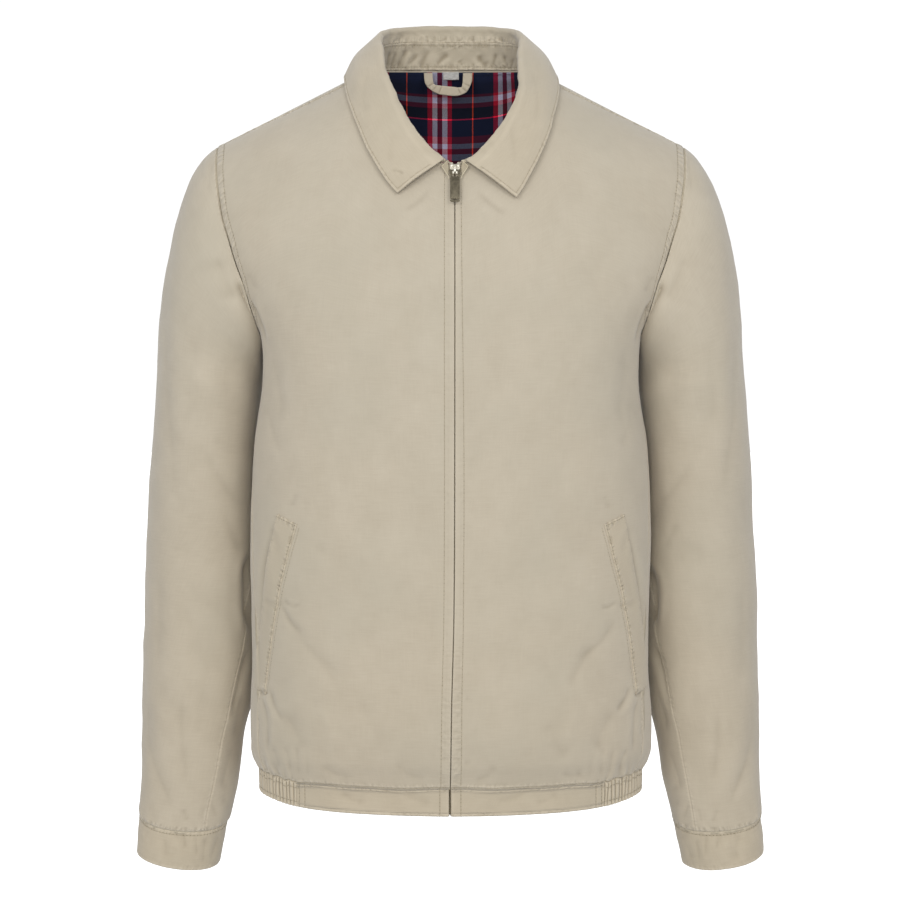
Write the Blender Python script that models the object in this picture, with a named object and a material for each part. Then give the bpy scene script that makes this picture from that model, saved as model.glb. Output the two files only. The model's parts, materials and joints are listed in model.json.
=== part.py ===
"""Harrington jacket: a zip-front cotton blouson with a shirt collar, standing filled out and open at neck, hem and cuffs.

Metres, +Z up, the front faces -Y, the wearer's right is -X. The origin is in the neck opening, level with the
shoulders beside the collar. Every cloth piece is a thin wall: a grid of points worked out from the jacket's sizes,
given its thickness by a Solidify modifier.
"""

import math

import bmesh
import bpy
import numpy as np
from mathutils import Matrix, Vector

for old in list(bpy.data.objects):
    bpy.data.objects.remove(old, do_unlink=True)

# ---------------------------------------------------------------- sizes
CLOTH = 0.0016  # shell fabric with its interlining and seam allowances
LINING = 0.0010
BAND_CLOTH = 0.0022  # hem band and cuffs: two layers
SEAM_GAP = 0.0004  # clear distance between two pieces at a seam
UNDERARM_Z = -0.245
FRONT_DEPTH, BACK_DEPTH = 0.125, 0.115  # at the underarm
FRONT_ARCH = 2.0  # roundness of the front above the underarm, towards the shoulder line
RIDGE_Y = 0.015  # the shoulder line lies a little behind the middle
NECK_SIDE_X, SHOULDER_X = 0.0765, 0.2200
SHOULDER_SLOPE, RIDGE_X, RIDGE_Z = 0.51, 0.1073, -0.0037
ZIP_GAP = 0.0016  # between the two front edges
LINING_INSET = 0.0034


class Table:
    """Rows of numbers under named columns. A column is read at a key by a smooth curve that keeps its rises and falls."""

    def __init__(self, columns, *rows):
        self.names = columns.split()
        self.values = np.array(rows, float)

    def column(self, name):
        return self.values[:, self.names.index(name)]

    def __call__(self, name, at):
        keys, values = self.values[:, 0], self.column(name)
        steps = np.diff(keys)
        rises = np.diff(values) / steps
        slopes = np.zeros_like(values)
        slopes[0], slopes[-1] = rises[0], rises[-1]
        same = rises[:-1] * rises[1:] > 0
        w1, w2 = 2 * steps[1:] + steps[:-1], steps[1:] + 2 * steps[:-1]
        with np.errstate(divide="ignore", invalid="ignore"):
            harmonic = (w1 + w2) / (w1 / rises[:-1] + w2 / rises[1:])
        slopes[1:-1] = np.where(same, harmonic, 0)
        at = np.clip(np.asarray(at, float), keys[0], keys[-1])
        i = np.clip(np.searchsorted(keys, at, side="right") - 1, 0, len(keys) - 2)
        t = (at - keys[i]) / steps[i]
        return (
            (1 + 2 * t) * (1 - t) ** 2 * values[i]
            + t * (1 - t) ** 2 * steps[i] * slopes[i]
            + t * t * (3 - 2 * t) * values[i + 1]
            + t * t * (t - 1) * steps[i] * slopes[i + 1]
        )

    def path(self, names, at):
        """Several columns read together on one natural cubic spline, as for a line in space."""
        keys = self.values[:, 0]
        values = np.stack([self.column(n) for n in names.split()], -1)
        n, steps = len(keys), np.diff(keys)
        matrix, right = np.eye(n), np.zeros_like(values)
        for i in range(1, n - 1):
            matrix[i, i - 1 : i + 2] = steps[i - 1], 2 * (steps[i - 1] + steps[i]), steps[i]
            right[i] = 6 * ((values[i + 1] - values[i]) / steps[i] - (values[i] - values[i - 1]) / steps[i - 1])
        bend = np.linalg.solve(matrix, right)
        at = np.clip(np.asarray(at, float), keys[0], keys[-1])
        i = np.clip(np.searchsorted(keys, at, side="right") - 1, 0, n - 2)
        h, t = steps[i][..., None], (at - keys[i])[..., None]
        return (
            values[i]
            + ((values[i + 1] - values[i]) / h - h * (2 * bend[i] + bend[i + 1]) / 6) * t
            + bend[i] / 2 * t**2
            + (bend[i + 1] - bend[i]) / (6 * h) * t**3
        )


# Level sections of the body: half width, and depth before and behind the middle.
BODY = Table(
    "z half_width front back",
    (-0.680, 0.1815, 0.119, 0.106),
    (-0.652, 0.1820, 0.120, 0.107),
    (-0.643, 0.1850, 0.1225, 0.110),
    (-0.628, 0.1900, 0.1275, 0.1145),
    (-0.600, 0.1910, 0.1310, 0.1160),
    (-0.545, 0.1885, 0.1295, 0.1120),
    (-0.457, 0.1891, 0.1255, 0.1050),
    (-0.396, 0.1882, 0.1240, 0.1040),
    (-0.348, 0.1857, 0.1240, 0.1060),
    (-0.322, 0.1822, 0.1243, 0.1085),
    (-0.277, 0.1765, 0.1248, 0.1130),
    (UNDERARM_Z, 0.1760, FRONT_DEPTH, BACK_DEPTH),
)
# Squareness of the body's level sections: fuller at the corners near the underarm, where the cloth runs on to the sleeve.
SQUARENESS = Table(
    "z power", (-0.680, 2.50), (-0.500, 2.45), (-0.400, 2.45), (-0.320, 2.60), (-0.245, 2.95), (-0.190, 2.75), (-0.110, 2.45), (0.0, 2.35)
)
# Above the underarm the front and back widen behind the sleeves, out to the armholes.
REACH = Table(
    "z front back",
    (UNDERARM_Z, 0.1760, 0.1760),
    (-0.228, 0.1850, 0.1870),
    (-0.205, 0.1990, 0.2030),
    (-0.180, 0.2140, 0.2190),
    (-0.150, 0.2320, 0.2370),
    (-0.100, 0.2560, 0.2590),
    (-0.055, 0.2740, 0.2740),
    (0.040, 0.2900, 0.2900),
)
SHOULDER_LINE = Table(
    "x z",
    (0.000, 0.0300),
    (0.020, 0.0288),
    (0.040, 0.0255),
    (0.060, 0.0195),
    (NECK_SIDE_X, RIDGE_Z + SHOULDER_SLOPE * (RIDGE_X - NECK_SIDE_X)),
    (RIDGE_X, RIDGE_Z),
    (0.1600, RIDGE_Z - SHOULDER_SLOPE * (0.1600 - RIDGE_X)),
    (0.3000, RIDGE_Z - SHOULDER_SLOPE * (0.3000 - RIDGE_X)),
)
# Roundness of the back above the underarm: squarer behind the neck, rounder towards the shoulder.
BACK_ARCH = Table("x power", (0.000, 3.0), (0.050, 2.95), (0.090, 2.70), (0.140, 2.40), (0.220, 2.20), (0.300, 2.20))
# The armhole seam: its distance from the middle at each part of the height from underarm to shoulder line.
ARMHOLE = Table(
    "height front back",
    (0.000, 0.1760, 0.1760),
    (0.154, 0.1847, 0.1880),
    (0.293, 0.1927, 0.1965),
    (0.369, 0.1978, 0.2003),
    (0.490, 0.2043, 0.2060),
    (0.588, 0.2100, 0.2098),
    (0.735, 0.2150, 0.2145),
    (0.838, 0.2178, 0.2172),
    (1.000, SHOULDER_X, SHOULDER_X),
)
# The forward shoulder seam runs this far below the shoulder line, on the front.
SEAM_DROP = Table(
    "x drop", (0.070, 0.0066), (0.108, 0.0056), (0.140, 0.0047), (0.170, 0.0028), (0.195, 0.0014), (0.225, 0.0008)
)
NECK_FRONT = Table(
    "t x z",
    (0.00, 0.0000, -0.0846),
    (0.20, 0.0200, -0.0783),
    (0.42, 0.0415, -0.0606),
    (0.65, 0.0600, -0.0360),
    (0.85, 0.0720, -0.0120),
    (1.00, NECK_SIDE_X, 0.0056),
)
NECK_BACK = Table(
    "x z", (0.000, 0.0170), (0.020, 0.0170), (0.040, 0.0165), (0.060, 0.0152), (0.070, 0.0138), (NECK_SIDE_X, 0.0120)
)
HEM_SEAM = Table("turn z", (0, -0.6505), (45, -0.6495), (75, -0.6470), (105, -0.6470), (140, -0.6495), (180, -0.6500))
HEM_EDGE = Table("turn z", (0, -0.6770), (40, -0.6745), (75, -0.6700), (105, -0.6700), (140, -0.6735), (180, -0.6750))
SIDE_SEAM = Table("z turn", (-0.652, 67), (-0.590, 68), (-0.450, 76), (-0.330, 85), (UNDERARM_Z, 90))
ZIP_LINE = Table("z x", (-0.690, -0.0012), (-0.640, 0.0), (-0.575, 0.0010), (-0.490, 0.0031), (-0.400, 0.0037), (-0.07, 0.0040))


def raised(value, power):
    return np.sign(value) * np.abs(value) ** power


def body_section(z, turn):
    """A point of the body below the underarm. turn is 0 at the middle of the front, 90 degrees at the side, 180 behind."""
    power = 2 / SQUARENESS("power", z)
    s, c = raised(np.sin(turn), power), raised(np.cos(turn), power)
    depth = np.where(c > 0, BODY("front", z), BODY("back", z))
    return np.stack([BODY("half_width", z) * s, -depth * c, z + 0 * s], -1)


def turn_at(x, z):
    """The turn, in radians, at which a level section of the front is at x."""
    return np.arcsin(raised(np.clip(x / BODY("half_width", z), -1, 1), SQUARENESS("power", z) / 2))


def shoulder_z(x):
    return SHOULDER_LINE("z", np.abs(x))


def upper_body(x, over):
    """A point of the body above the underarm: over is 0 in front, 90 degrees on the shoulder line, 180 behind."""
    front = np.cos(over) >= 0
    power = 2 / np.where(front, FRONT_ARCH, BACK_ARCH("power", np.abs(x)))
    height, flat = np.sin(over) ** power, np.abs(np.cos(over)) ** power
    z = UNDERARM_Z + (shoulder_z(x) - UNDERARM_Z) * height
    reach = np.where(front, REACH("front", z), REACH("back", z))
    square = SQUARENESS("power", z)
    spread = (1 - np.minimum(np.abs(x) / reach, 1) ** square) ** (1 / square)
    y = RIDGE_Y * height + np.where(front, -FRONT_DEPTH, BACK_DEPTH) * spread * flat
    return np.stack([x, y, z], -1)


def over_at(x, z, front=True):
    """The over angle at which a line up the body at x reaches height z."""
    part = np.clip((z - UNDERARM_Z) / (shoulder_z(x) - UNDERARM_Z), 0, 1)
    angle = np.arcsin(part ** ((FRONT_ARCH if front else BACK_ARCH("power", np.abs(x))) / 2))
    return angle if front else math.pi - angle


def armhole_x(over):
    front = np.cos(over) >= 0
    height = np.sin(over) ** (2 / np.where(front, FRONT_ARCH, BACK_ARCH("power", 0.2)))
    return np.where(front, ARMHOLE("front", height), ARMHOLE("back", height))


def along(points, parts):
    """Points at these parts of a line's length."""
    reach = np.concatenate([[0], np.cumsum(np.linalg.norm(np.diff(points[:, :3], axis=0), axis=1))])
    return np.stack([np.interp(np.asarray(parts) * reach[-1], reach, points[:, k]) for k in range(points.shape[1])], -1)


def front_top(start_x):
    """The front's top edge, neckline then shoulder seam, as rows of x, y, z, over."""
    t = np.linspace(0, 1, 80)
    neck = NECK_FRONT.path("x z", t)
    neck_x = neck[:, 0] + start_x * (1 - neck[:, 0] / NECK_SIDE_X)
    seam_x = np.linspace(NECK_SIDE_X, SHOULDER_X, 80)[1:]
    seam_z = shoulder_z(seam_x) - SEAM_DROP("drop", seam_x)
    x = np.concatenate([neck_x, seam_x])
    over = over_at(x, np.concatenate([neck[:, 1], seam_z]))
    return np.column_stack([upper_body(x, over), over])


def back_top():
    """Half of the back's top edge from the middle: neckline, over the shoulder line, then the forward shoulder seam."""
    neck_x = np.linspace(0, NECK_SIDE_X, 80)
    neck = over_at(neck_x, NECK_BACK("z", neck_x), front=False)
    front_end = over_at(NECK_SIDE_X, shoulder_z(NECK_SIDE_X) - SEAM_DROP("drop", NECK_SIDE_X))
    turn = np.linspace(neck[-1], front_end, 30)[1:]
    turn_x = NECK_SIDE_X + 0.0015 * np.sin(np.linspace(0, math.pi, 30)[1:])
    seam_x = np.linspace(NECK_SIDE_X, SHOULDER_X, 80)[1:]
    seam = over_at(seam_x, shoulder_z(seam_x) - SEAM_DROP("drop", seam_x))
    x, over = np.concatenate([neck_x, turn_x, seam_x]), np.concatenate([neck, turn, seam])
    return np.column_stack([upper_body(x, over), over])


SPLIT = 0.66  # part of a panel's rows below the underarm


def half_panel(us, vs, edge, back=False):
    """Points of a front, or of half the back, in the +X half. us runs from the middle to the side, vs from hem to top."""
    us, vs = np.asarray(us, float), np.asarray(vs, float)
    dense = 140
    lower_rows = np.linspace(0, 1, 60)
    lower = np.empty((len(lower_rows), len(us), 3))
    for i, part in enumerate(lower_rows):
        guess = UNDERARM_Z + (HEM_SEAM("z", 45) - UNDERARM_Z) * (1 - part)
        side = math.radians(float(SIDE_SEAM("turn", guess)))
        if back:
            turn = np.linspace(math.pi, side, dense)
        else:
            turn = np.linspace(turn_at(edge(guess), guess), side, dense)
        z = UNDERARM_Z + (HEM_SEAM("z", np.degrees(np.abs(turn))) - UNDERARM_Z) * (1 - part)
        lower[i] = along(body_section(z, turn), us)
    top = along(back_top() if back else front_top(float(edge(UNDERARM_Z))), us)
    base_x, top_x, end = lower[-1, :, 0], top[:, 0], top[:, 3]
    start = math.pi if back else 0.0
    upper_rows = np.linspace(0, 1, 90)
    upper = np.empty((len(upper_rows), len(us), 3))
    tip = float((back_top() if back else front_top(0.0))[-1, 3])
    for i, part in enumerate(upper_rows):
        over = start + (end - start) * part
        rim = start + (tip - start) * part
        x = base_x + (top_x - base_x) * part
        rim_x = BODY("half_width", UNDERARM_Z) + (SHOULDER_X - BODY("half_width", UNDERARM_Z)) * part
        x = x + (armhole_x(np.array(rim)) - rim_x) * us**3
        upper[i] = upper_body(x, over)
    grid = np.empty((len(vs), len(us), 3))
    low = vs <= SPLIT
    for j in range(len(us)):
        grid[low, j] = along(lower[:, j], vs[low] / SPLIT)
        grid[~low, j] = along(upper[:, j], (vs[~low] - SPLIT) / (1 - SPLIT))
    return grid


def front_panel(side, us, vs):
    """side is +1 for the wearer's left, -1 for the right."""

    def edge(z):
        return side * ZIP_LINE("x", z) + ZIP_GAP / 2

    grid = half_panel(us, vs, edge)
    grid[..., 0] *= side
    return grid


def back_panel(us, vs):
    """us runs from -1 at the wearer's right side seam to 1 at the left."""
    us = np.asarray(us, float)
    grid = half_panel(np.abs(us), vs, None, back=True)
    grid[..., 0] *= np.sign(us)[None, :]
    return grid


# ---------------------------------------------------------------- sleeves and cuffs
# Level rings of a sleeve below the cap: middle and half sizes, and how far the front hangs below the middle.
SLEEVE = Table(
    "z middle_x half_x middle_y half_y drop_front drop_out",
    (-0.7010, 0.2568, 0.0432, 0.020, 0.0365, 0.0098, -0.0033),
    (-0.6650, 0.2518, 0.0468, 0.028, 0.0450, 0.0060, -0.0015),
    (-0.6250, 0.2490, 0.0496, 0.036, 0.0540, 0.0040, 0.0),
    (-0.5800, 0.2438, 0.0543, 0.042, 0.0620, 0.0020, 0.0),
    (-0.5000, 0.2423, 0.0543, 0.045, 0.0675, 0.0, 0.0),
    (-0.4200, 0.2398, 0.0528, 0.043, 0.0715, 0.0, 0.0),
    (-0.3500, 0.2364, 0.0509, 0.037, 0.0760, 0.0, 0.0),
    (-0.2850, 0.2315, 0.0495, 0.028, 0.0790, 0.0, 0.0),
)
CUFF = Table(
    "z middle_x half_x middle_y half_y drop_front drop_out",
    (-0.7400, 0.2622, 0.0397, 0.018, 0.0330, 0.0074, -0.0053),
    (-0.7205, 0.2597, 0.0412, 0.019, 0.0345, 0.0086, -0.0043),
    (-0.7008, 0.2568, 0.0424, 0.020, 0.0357, 0.0098, -0.0033),
)
CAP_END = -0.285
# How a line down the sleeve leaves the armhole and arrives at the first level ring.
CAP_LEAVE = Table(
    "part x y z", (0.0, 0.140, 0.000, -0.070), (0.25, 0.075, -0.055, -0.085), (0.5, 0.012, 0.000, -0.040), (0.75, 0.070, 0.050, -0.085), (1.0, 0.140, 0.000, -0.070)
)
CAP_ARRIVE = Table("part x z", (0.0, 0.010, -0.200), (0.25, 0.004, -0.150), (0.5, 0.004, -0.040), (0.75, 0.004, -0.150), (1.0, 0.010, -0.200))
SLEEVE_SPLIT = 0.34


def around(table, parts):
    """A wrapped table column set read as a smooth periodic mix of its four directions."""
    angle = 2 * np.pi * np.asarray(parts, float)[..., None]
    top, front, under, back = table.values[:4, 1:]
    middle, out, ahead = (top + front + under + back) / 4, (top - under) / 2, (front - back) / 2
    twice = (top + under - front - back) / 4
    return middle + out * np.cos(angle) + ahead * np.sin(angle) + twice * np.cos(2 * angle)


def armhole_loop(parts):
    """Points round the armhole: 0 at the shoulder, 0.25 in front, 0.5 under the arm, 0.75 behind."""
    over = np.linspace(0, math.pi / 2, 200)
    front = upper_body(armhole_x(over), over)[::-1]
    over = np.linspace(math.pi / 2 + 1e-6, math.pi, 200)
    back = upper_body(armhole_x(over), over)[::-1]
    back[-1] = front[0]
    parts = np.asarray(parts, float) % 1.0
    return np.where(
        (parts <= 0.5)[:, None], along(front, np.clip(parts * 2, 0, 1)), along(back, np.clip(parts * 2 - 1, 0, 1))
    )


def ring(table, z, parts):
    angle = 2 * np.pi * np.asarray(parts, float)
    c, s = raised(np.cos(angle), 2 / 2.15), raised(np.sin(angle), 2 / 2.15)
    x = table("middle_x", z) + table("half_x", z) * c
    y = table("middle_y", z) - table("half_y", z) * s
    return np.stack([x, y, z - table("drop_front", z) * s - table("drop_out", z) * c], -1)


def sleeve_surface(parts, vs):
    """vs runs from 0 at the armhole to 1 at the cuff seam."""
    parts, vs = np.asarray(parts, float), np.asarray(vs, float)
    start, end = armhole_loop(parts), ring(SLEEVE, CAP_END, parts)
    leave, arrive = around(CAP_LEAVE, parts), around(CAP_ARRIVE, parts)
    arrive = np.stack([arrive[:, 0], 0 * arrive[:, 0], arrive[:, 1]], -1)
    cap = []
    for s in np.linspace(0, 1, 60):
        cap.append(
            (1 + 2 * s) * (1 - s) ** 2 * start + s * (1 - s) ** 2 * leave + s * s * (3 - 2 * s) * end + s * s * (s - 1) * arrive
        )
    cap = np.array(cap)
    tube = np.array([ring(SLEEVE, z, parts) for z in np.linspace(CAP_END, SLEEVE.values[0, 0], 80)])
    grid = np.empty((len(vs), len(parts), 3))
    low = vs <= SLEEVE_SPLIT
    for j in range(len(parts)):
        grid[low, j] = along(cap[:, j], vs[low] / SLEEVE_SPLIT)
        grid[~low, j] = along(tube[:, j], (vs[~low] - SLEEVE_SPLIT) / (1 - SLEEVE_SPLIT))
    return grid


# ---------------------------------------------------------------- collar
# Lines round half the collar, from the middle of the back to the front end: the roll, the outer edge and the seam
# between stand and fall.
ROLL = Table(
    "t x y z",
    (0.00, 0.0000, 0.0775, 0.0600),
    (0.15, 0.0335, 0.0705, 0.0590),
    (0.30, 0.0580, 0.0470, 0.0535),
    (0.42, 0.0650, 0.0170, 0.0440),
    (0.52, 0.0628, -0.0110, 0.0270),
    (0.62, 0.0590, -0.0370, 0.0055),
    (0.72, 0.0498, -0.0595, -0.0170),
    (0.82, 0.0375, -0.0785, -0.0430),
    (0.92, 0.0200, -0.0935, -0.0645),
    (1.00, 0.0050, -0.0990, -0.0750),
)
EDGE = Table(
    "t x y z",
    (0.00, 0.0000, 0.0990, 0.0090),
    (0.15, 0.0450, 0.0925, 0.0085),
    (0.30, 0.0830, 0.0640, 0.0085),
    (0.42, 0.0995, 0.0300, 0.0060),
    (0.52, 0.1010, -0.0040, 0.0010),
    (0.62, 0.0980, -0.0320, -0.0150),
    (0.72, 0.0905, -0.0590, -0.0370),
    (0.82, 0.0790, -0.0815, -0.0660),
    (0.92, 0.0660, -0.0960, -0.0905),
    (1.00, 0.0515, -0.1055, -0.1090),
)
STAND_TOP = Table(
    "t x y z",
    (0.00, 0.0000, 0.0740, 0.0440),
    (0.15, 0.0345, 0.0672, 0.0435),
    (0.30, 0.0600, 0.0445, 0.0390),
    (0.42, 0.0690, 0.0145, 0.0305),
    (0.52, 0.0690, -0.0130, 0.0165),
    (0.62, 0.0655, -0.0365, -0.0030),
    (0.72, 0.0565, -0.0580, -0.0240),
    (0.82, 0.0430, -0.0760, -0.0480),
    (0.92, 0.0240, -0.0895, -0.0680),
    (1.00, 0.0070, -0.0945, -0.0765),
)
# How far the front ends stand from those rows, outward and up. The wearer's left half lies wider open than the right.
FRONT_END_LEFT = Table(
    "t roll_x roll_y roll_z edge_x edge_z",
    (0.42, 0.0000, 0.0000, 0.0000, 0.0000, 0.0000),
    (0.52, 0.0000, 0.0000, 0.0000, 0.0010, 0.0000),
    (0.62, 0.0032, -0.0004, 0.0000, 0.0034, 0.0000),
    (0.72, 0.0113, -0.0016, 0.0000, 0.0052, 0.0000),
    (0.77, 0.0116, -0.0020, 0.0000, 0.0071, 0.0000),
    (0.82, 0.0108, -0.0020, 0.0000, 0.0073, -0.0002),
    (0.88, 0.0106, -0.0018, -0.0007, 0.0073, -0.0009),
    (0.92, 0.0109, -0.0014, -0.0018, 0.0074, -0.0023),
    (0.96, 0.0107, -0.0008, -0.0034, 0.0080, -0.0044),
    (1.00, 0.0090, 0.0000, -0.0054, 0.0086, -0.0060),
)
FRONT_END_RIGHT = Table(
    "t roll_x roll_y roll_z edge_x edge_z",
    (0.42, 0.0000, 0.0000, 0.0000, 0.0000, 0.0000),
    (0.82, 0.0000, 0.0000, -0.0003, -0.0008, 0.0000),
    (0.88, 0.0000, 0.0000, -0.0014, -0.0019, 0.0000),
    (0.92, 0.0000, 0.0000, -0.0022, -0.0019, -0.0002),
    (0.96, 0.0002, 0.0000, -0.0031, -0.0016, -0.0009),
    (1.00, 0.0006, 0.0000, -0.0048, -0.0030, -0.0019),
)
STAND_SHARE = 0.7  # of the roll's shift, taken by the seam below it
# The neckline's own part for each t: its back half by distance from the middle, its front half by the neckline table.
NECK_BACK_END = 0.47
COLLAR_CLEAR = 0.0016


def neckline(t, side=1):
    """The seam that the stand rises from, for t from the middle of the back to the front end."""
    top = back_top()
    behind = top[: 80 + 29, :3]
    ahead = front_top(side * float(ZIP_LINE("x", -0.08)) + ZIP_GAP / 2)[:80, :3][::-1]
    t = np.asarray(t, float)
    part = np.clip(t / NECK_BACK_END, 0, 1) ** 0.97
    first = along(behind, part)
    second = along(ahead, np.clip((t - NECK_BACK_END) / (1 - NECK_BACK_END), 0, 1))
    return np.where((t <= NECK_BACK_END)[:, None], first, second)


def unit(v):
    return v / np.maximum(np.linalg.norm(v, axis=-1, keepdims=True), 1e-12)


def collar_lines(t):
    """Signed t: the wearer's left half from 0 to 1, the right half from 0 to -1."""
    t = np.asarray(t, float)
    flip = np.where(t < 0, -1.0, 1.0)[:, None] * np.array([1.0, 0, 0]) + np.array([0, 1.0, 1.0])
    a = np.abs(t)
    seam = np.where((t < 0)[:, None], neckline(a, -1), neckline(a, 1))

    def moved(*names):
        columns = [np.where(t < 0, FRONT_END_RIGHT(n, a), FRONT_END_LEFT(n, a)) if n else 0 * a for n in names]
        return np.stack(columns, -1)

    roll, edge = moved("roll_x", "roll_y", "roll_z"), moved("edge_x", "", "edge_z")
    lines = [seam, STAND_TOP.path("x y z", a) + roll * STAND_SHARE, ROLL.path("x y z", a) + roll, EDGE.path("x y z", a) + edge]
    return [line * flip for line in lines]


def stand_surface(ts, ss):
    base, top, _, _ = collar_lines(ts)
    rise = unit(top - base)
    low, high = base + rise * COLLAR_CLEAR, top - rise * SEAM_GAP * 3
    return np.array([low + (high - low) * s for s in ss])


def fall_surface(ts, ss):
    """ss runs from the stand seam, up the inner side, over the roll and down to the outer edge."""
    ts = np.asarray(ts, float)
    _, seam, roll, edge = collar_lines(ts)
    step = 0.004
    ahead, behind = collar_lines(np.clip(ts + step, -1, 1))[2], collar_lines(np.clip(ts - step, -1, 1))[2]
    run = unit(ahead - behind)
    down = edge - roll
    down = unit(down - run * (down * run).sum(-1, keepdims=True))
    out = unit(np.cross(run, down))
    out = out * np.sign((out * np.array([0, 0, 1.0]) + out * unit(edge * np.array([1, 1, 0]))).sum(-1, keepdims=True) + 1e-9)
    radius = (0.0038 - 0.0020 * np.abs(ts) ** 2)[:, None]
    core = roll + down * radius
    rise = unit(roll - seam)
    start = seam + rise * SEAM_GAP / 2
    bulge = (0.0065 - 0.0035 * np.abs(ts) ** 2)[:, None]
    across = edge - (core + out * radius)
    grid = []
    lines = [
        start,
        core - out * radius + down * 0.0,
        core - (down * 0.78 + out * 0.62) * radius,
        core - (down * 0.96 - out * 0.25) * radius,
        core + out * radius,
        core + out * (radius + bulge * 0.55) + across * 0.25,
        core + out * (radius + bulge) + across * 0.55,
        edge,
    ]
    keys = np.array([0, 0.20, 0.27, 0.31, 0.38, 0.54, 0.72, 1.0])
    for j in range(len(ts)):
        guide = Table("s x y z", *[(k, *line[j]) for k, line in zip(keys, lines)])
        dense = guide.path("x y z", np.linspace(0, 1, 160))
        grid.append(along(dense, ss))
    return np.array(grid).transpose(1, 0, 2)


# ---------------------------------------------------------------- building meshes
def material(name, colour, roughness, metallic=0.0):
    made = bpy.data.materials.new(name)
    made.use_nodes = True
    shader = made.node_tree.nodes["Principled BSDF"]
    shader.inputs["Base Color"].default_value = (*colour, 1)
    shader.inputs["Roughness"].default_value = roughness
    shader.inputs["Metallic"].default_value = metallic
    return made


STONE, TARTAN, TAPE, NICKEL, GUNMETAL, TAG = (
    (0.55, 0.50, 0.39),
    (0.05, 0.05, 0.10),
    (0.50, 0.46, 0.36),
    (0.72, 0.70, 0.66),
    (0.20, 0.18, 0.15),
    (0.72, 0.70, 0.64),
)


def add_object(name, mesh, colour, roughness=0.85, metallic=0.0):
    obj = bpy.data.objects.new(name, mesh)
    bpy.context.scene.collection.objects.link(obj)
    mesh.materials.append(material(name, colour, roughness, metallic))
    mesh.shade_smooth()
    return obj


def grid_mesh(name, grid, closed=False, outward=None):
    """A mesh of quads over rows of points; closed joins each row's end to its start. outward is a point outside."""
    rows, columns = grid.shape[:2]
    bm = bmesh.new()
    verts = [[bm.verts.new(grid[i, j]) for j in range(columns)] for i in range(rows)]
    for i in range(rows - 1):
        for j in range(columns if closed else columns - 1):
            k = (j + 1) % columns
            bm.faces.new((verts[i][j], verts[i][k], verts[i + 1][k], verts[i + 1][j]))
    bm.normal_update()
    if outward is not None:
        face = min(bm.faces, key=lambda f: (f.calc_center_median() - Vector(outward)).length)
        if face.normal.dot(Vector(outward) - face.calc_center_median()) < 0:
            bmesh.ops.reverse_faces(bm, faces=bm.faces[:])
    mesh = bpy.data.meshes.new(name)
    bm.to_mesh(mesh)
    bm.free()
    return mesh


def cloth(name, grid, outward, thick=CLOTH, colour=STONE, closed=False, offset=-1.0, roughness=0.85):
    """A wall whose given surface faces outward and whose thickness lies behind it."""
    obj = add_object(name, grid_mesh(name, grid, closed, outward), colour, roughness)
    wall = obj.modifiers.new("Thickness", "SOLIDIFY")
    wall.thickness, wall.offset, wall.use_even_offset = thick, offset, False
    wall.use_rim = True
    return obj


def moved_out(grid, by):
    """The grid moved along its own normals; the sign that leaves the body's middle is out."""
    across, up = np.gradient(grid, axis=1), np.gradient(grid, axis=0)
    normal = unit(np.cross(across, up))
    centre = np.array([0, 0, -0.4])
    away = np.sign((normal * (grid - centre)).sum(-1).mean())
    return grid + normal * np.reshape(by, (*np.shape(by), 1) if np.ndim(by) else 1) * (away or 1.0)


def spread(count, start=0.0, end=1.0):
    return np.linspace(start, end, count)


# ---------------------------------------------------------------- body
INSET_U, INSET_V = SEAM_GAP / 2 / 0.24, SEAM_GAP / 2 / 0.70
COLUMNS, LOWER_ROWS, UPPER_ROWS = 10, 9, 11
rows = np.concatenate([spread(LOWER_ROWS, INSET_V * 2, SPLIT), spread(UPPER_ROWS + 1, SPLIT, 0.9987)[1:]])
for side, hand in ((-1, "right"), (1, "left")):
    grid = front_panel(side, spread(COLUMNS, 0, 1 - INSET_U * 1.5), rows)
    cloth(f"front_{hand}", grid, (side * 0.10, -1.0, -0.3))
back_us = spread(2 * COLUMNS - 1, -1 + INSET_U * 1.5, 1 - INSET_U * 1.5)
cloth("back", back_panel(back_us, rows), (0, 1.0, -0.3))
lining_rows = np.append(rows[:-1], 0.984)
lining_grid = back_panel(back_us[1:-1], lining_rows)
for row, clear in ((-1, 0.0022), (-2, 0.0012)):  # it eases away from the back below the collar
    lining_grid[row] += np.array([0, -clear, -clear / 2])
lining = cloth("lining_back", lining_grid, (0, 1.0, -0.3), LINING, TARTAN)
lining.modifiers["Thickness"].offset = -1 - 2 * LINING_INSET / LINING


# ---------------------------------------------------------------- hem band
ELASTIC_FROM, ELASTIC_TO = 50.0, 128.0  # turns of the level section, in degrees


def band_point(turn, part, slack=0.0):
    """part 0 at the seam, 1 at the edge; turn in degrees from the middle of the front."""
    z = HEM_SEAM("z", turn) - SEAM_GAP + (HEM_EDGE("z", turn) - HEM_SEAM("z", turn) + SEAM_GAP) * part
    point = body_section(np.minimum(z, -0.6525), np.radians(turn))
    point[..., 2] = z
    return point


def band(name, side, start, end, count, outward, start_x=None):
    turns = spread(count, start, end)
    grid = np.array([band_point(turns, part) for part in spread(3)])
    if start_x is not None:
        grid[:, 0, 0] = start_x
    grid[..., 0] *= side
    return cloth(name, grid, outward, BAND_CLOTH)


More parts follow.
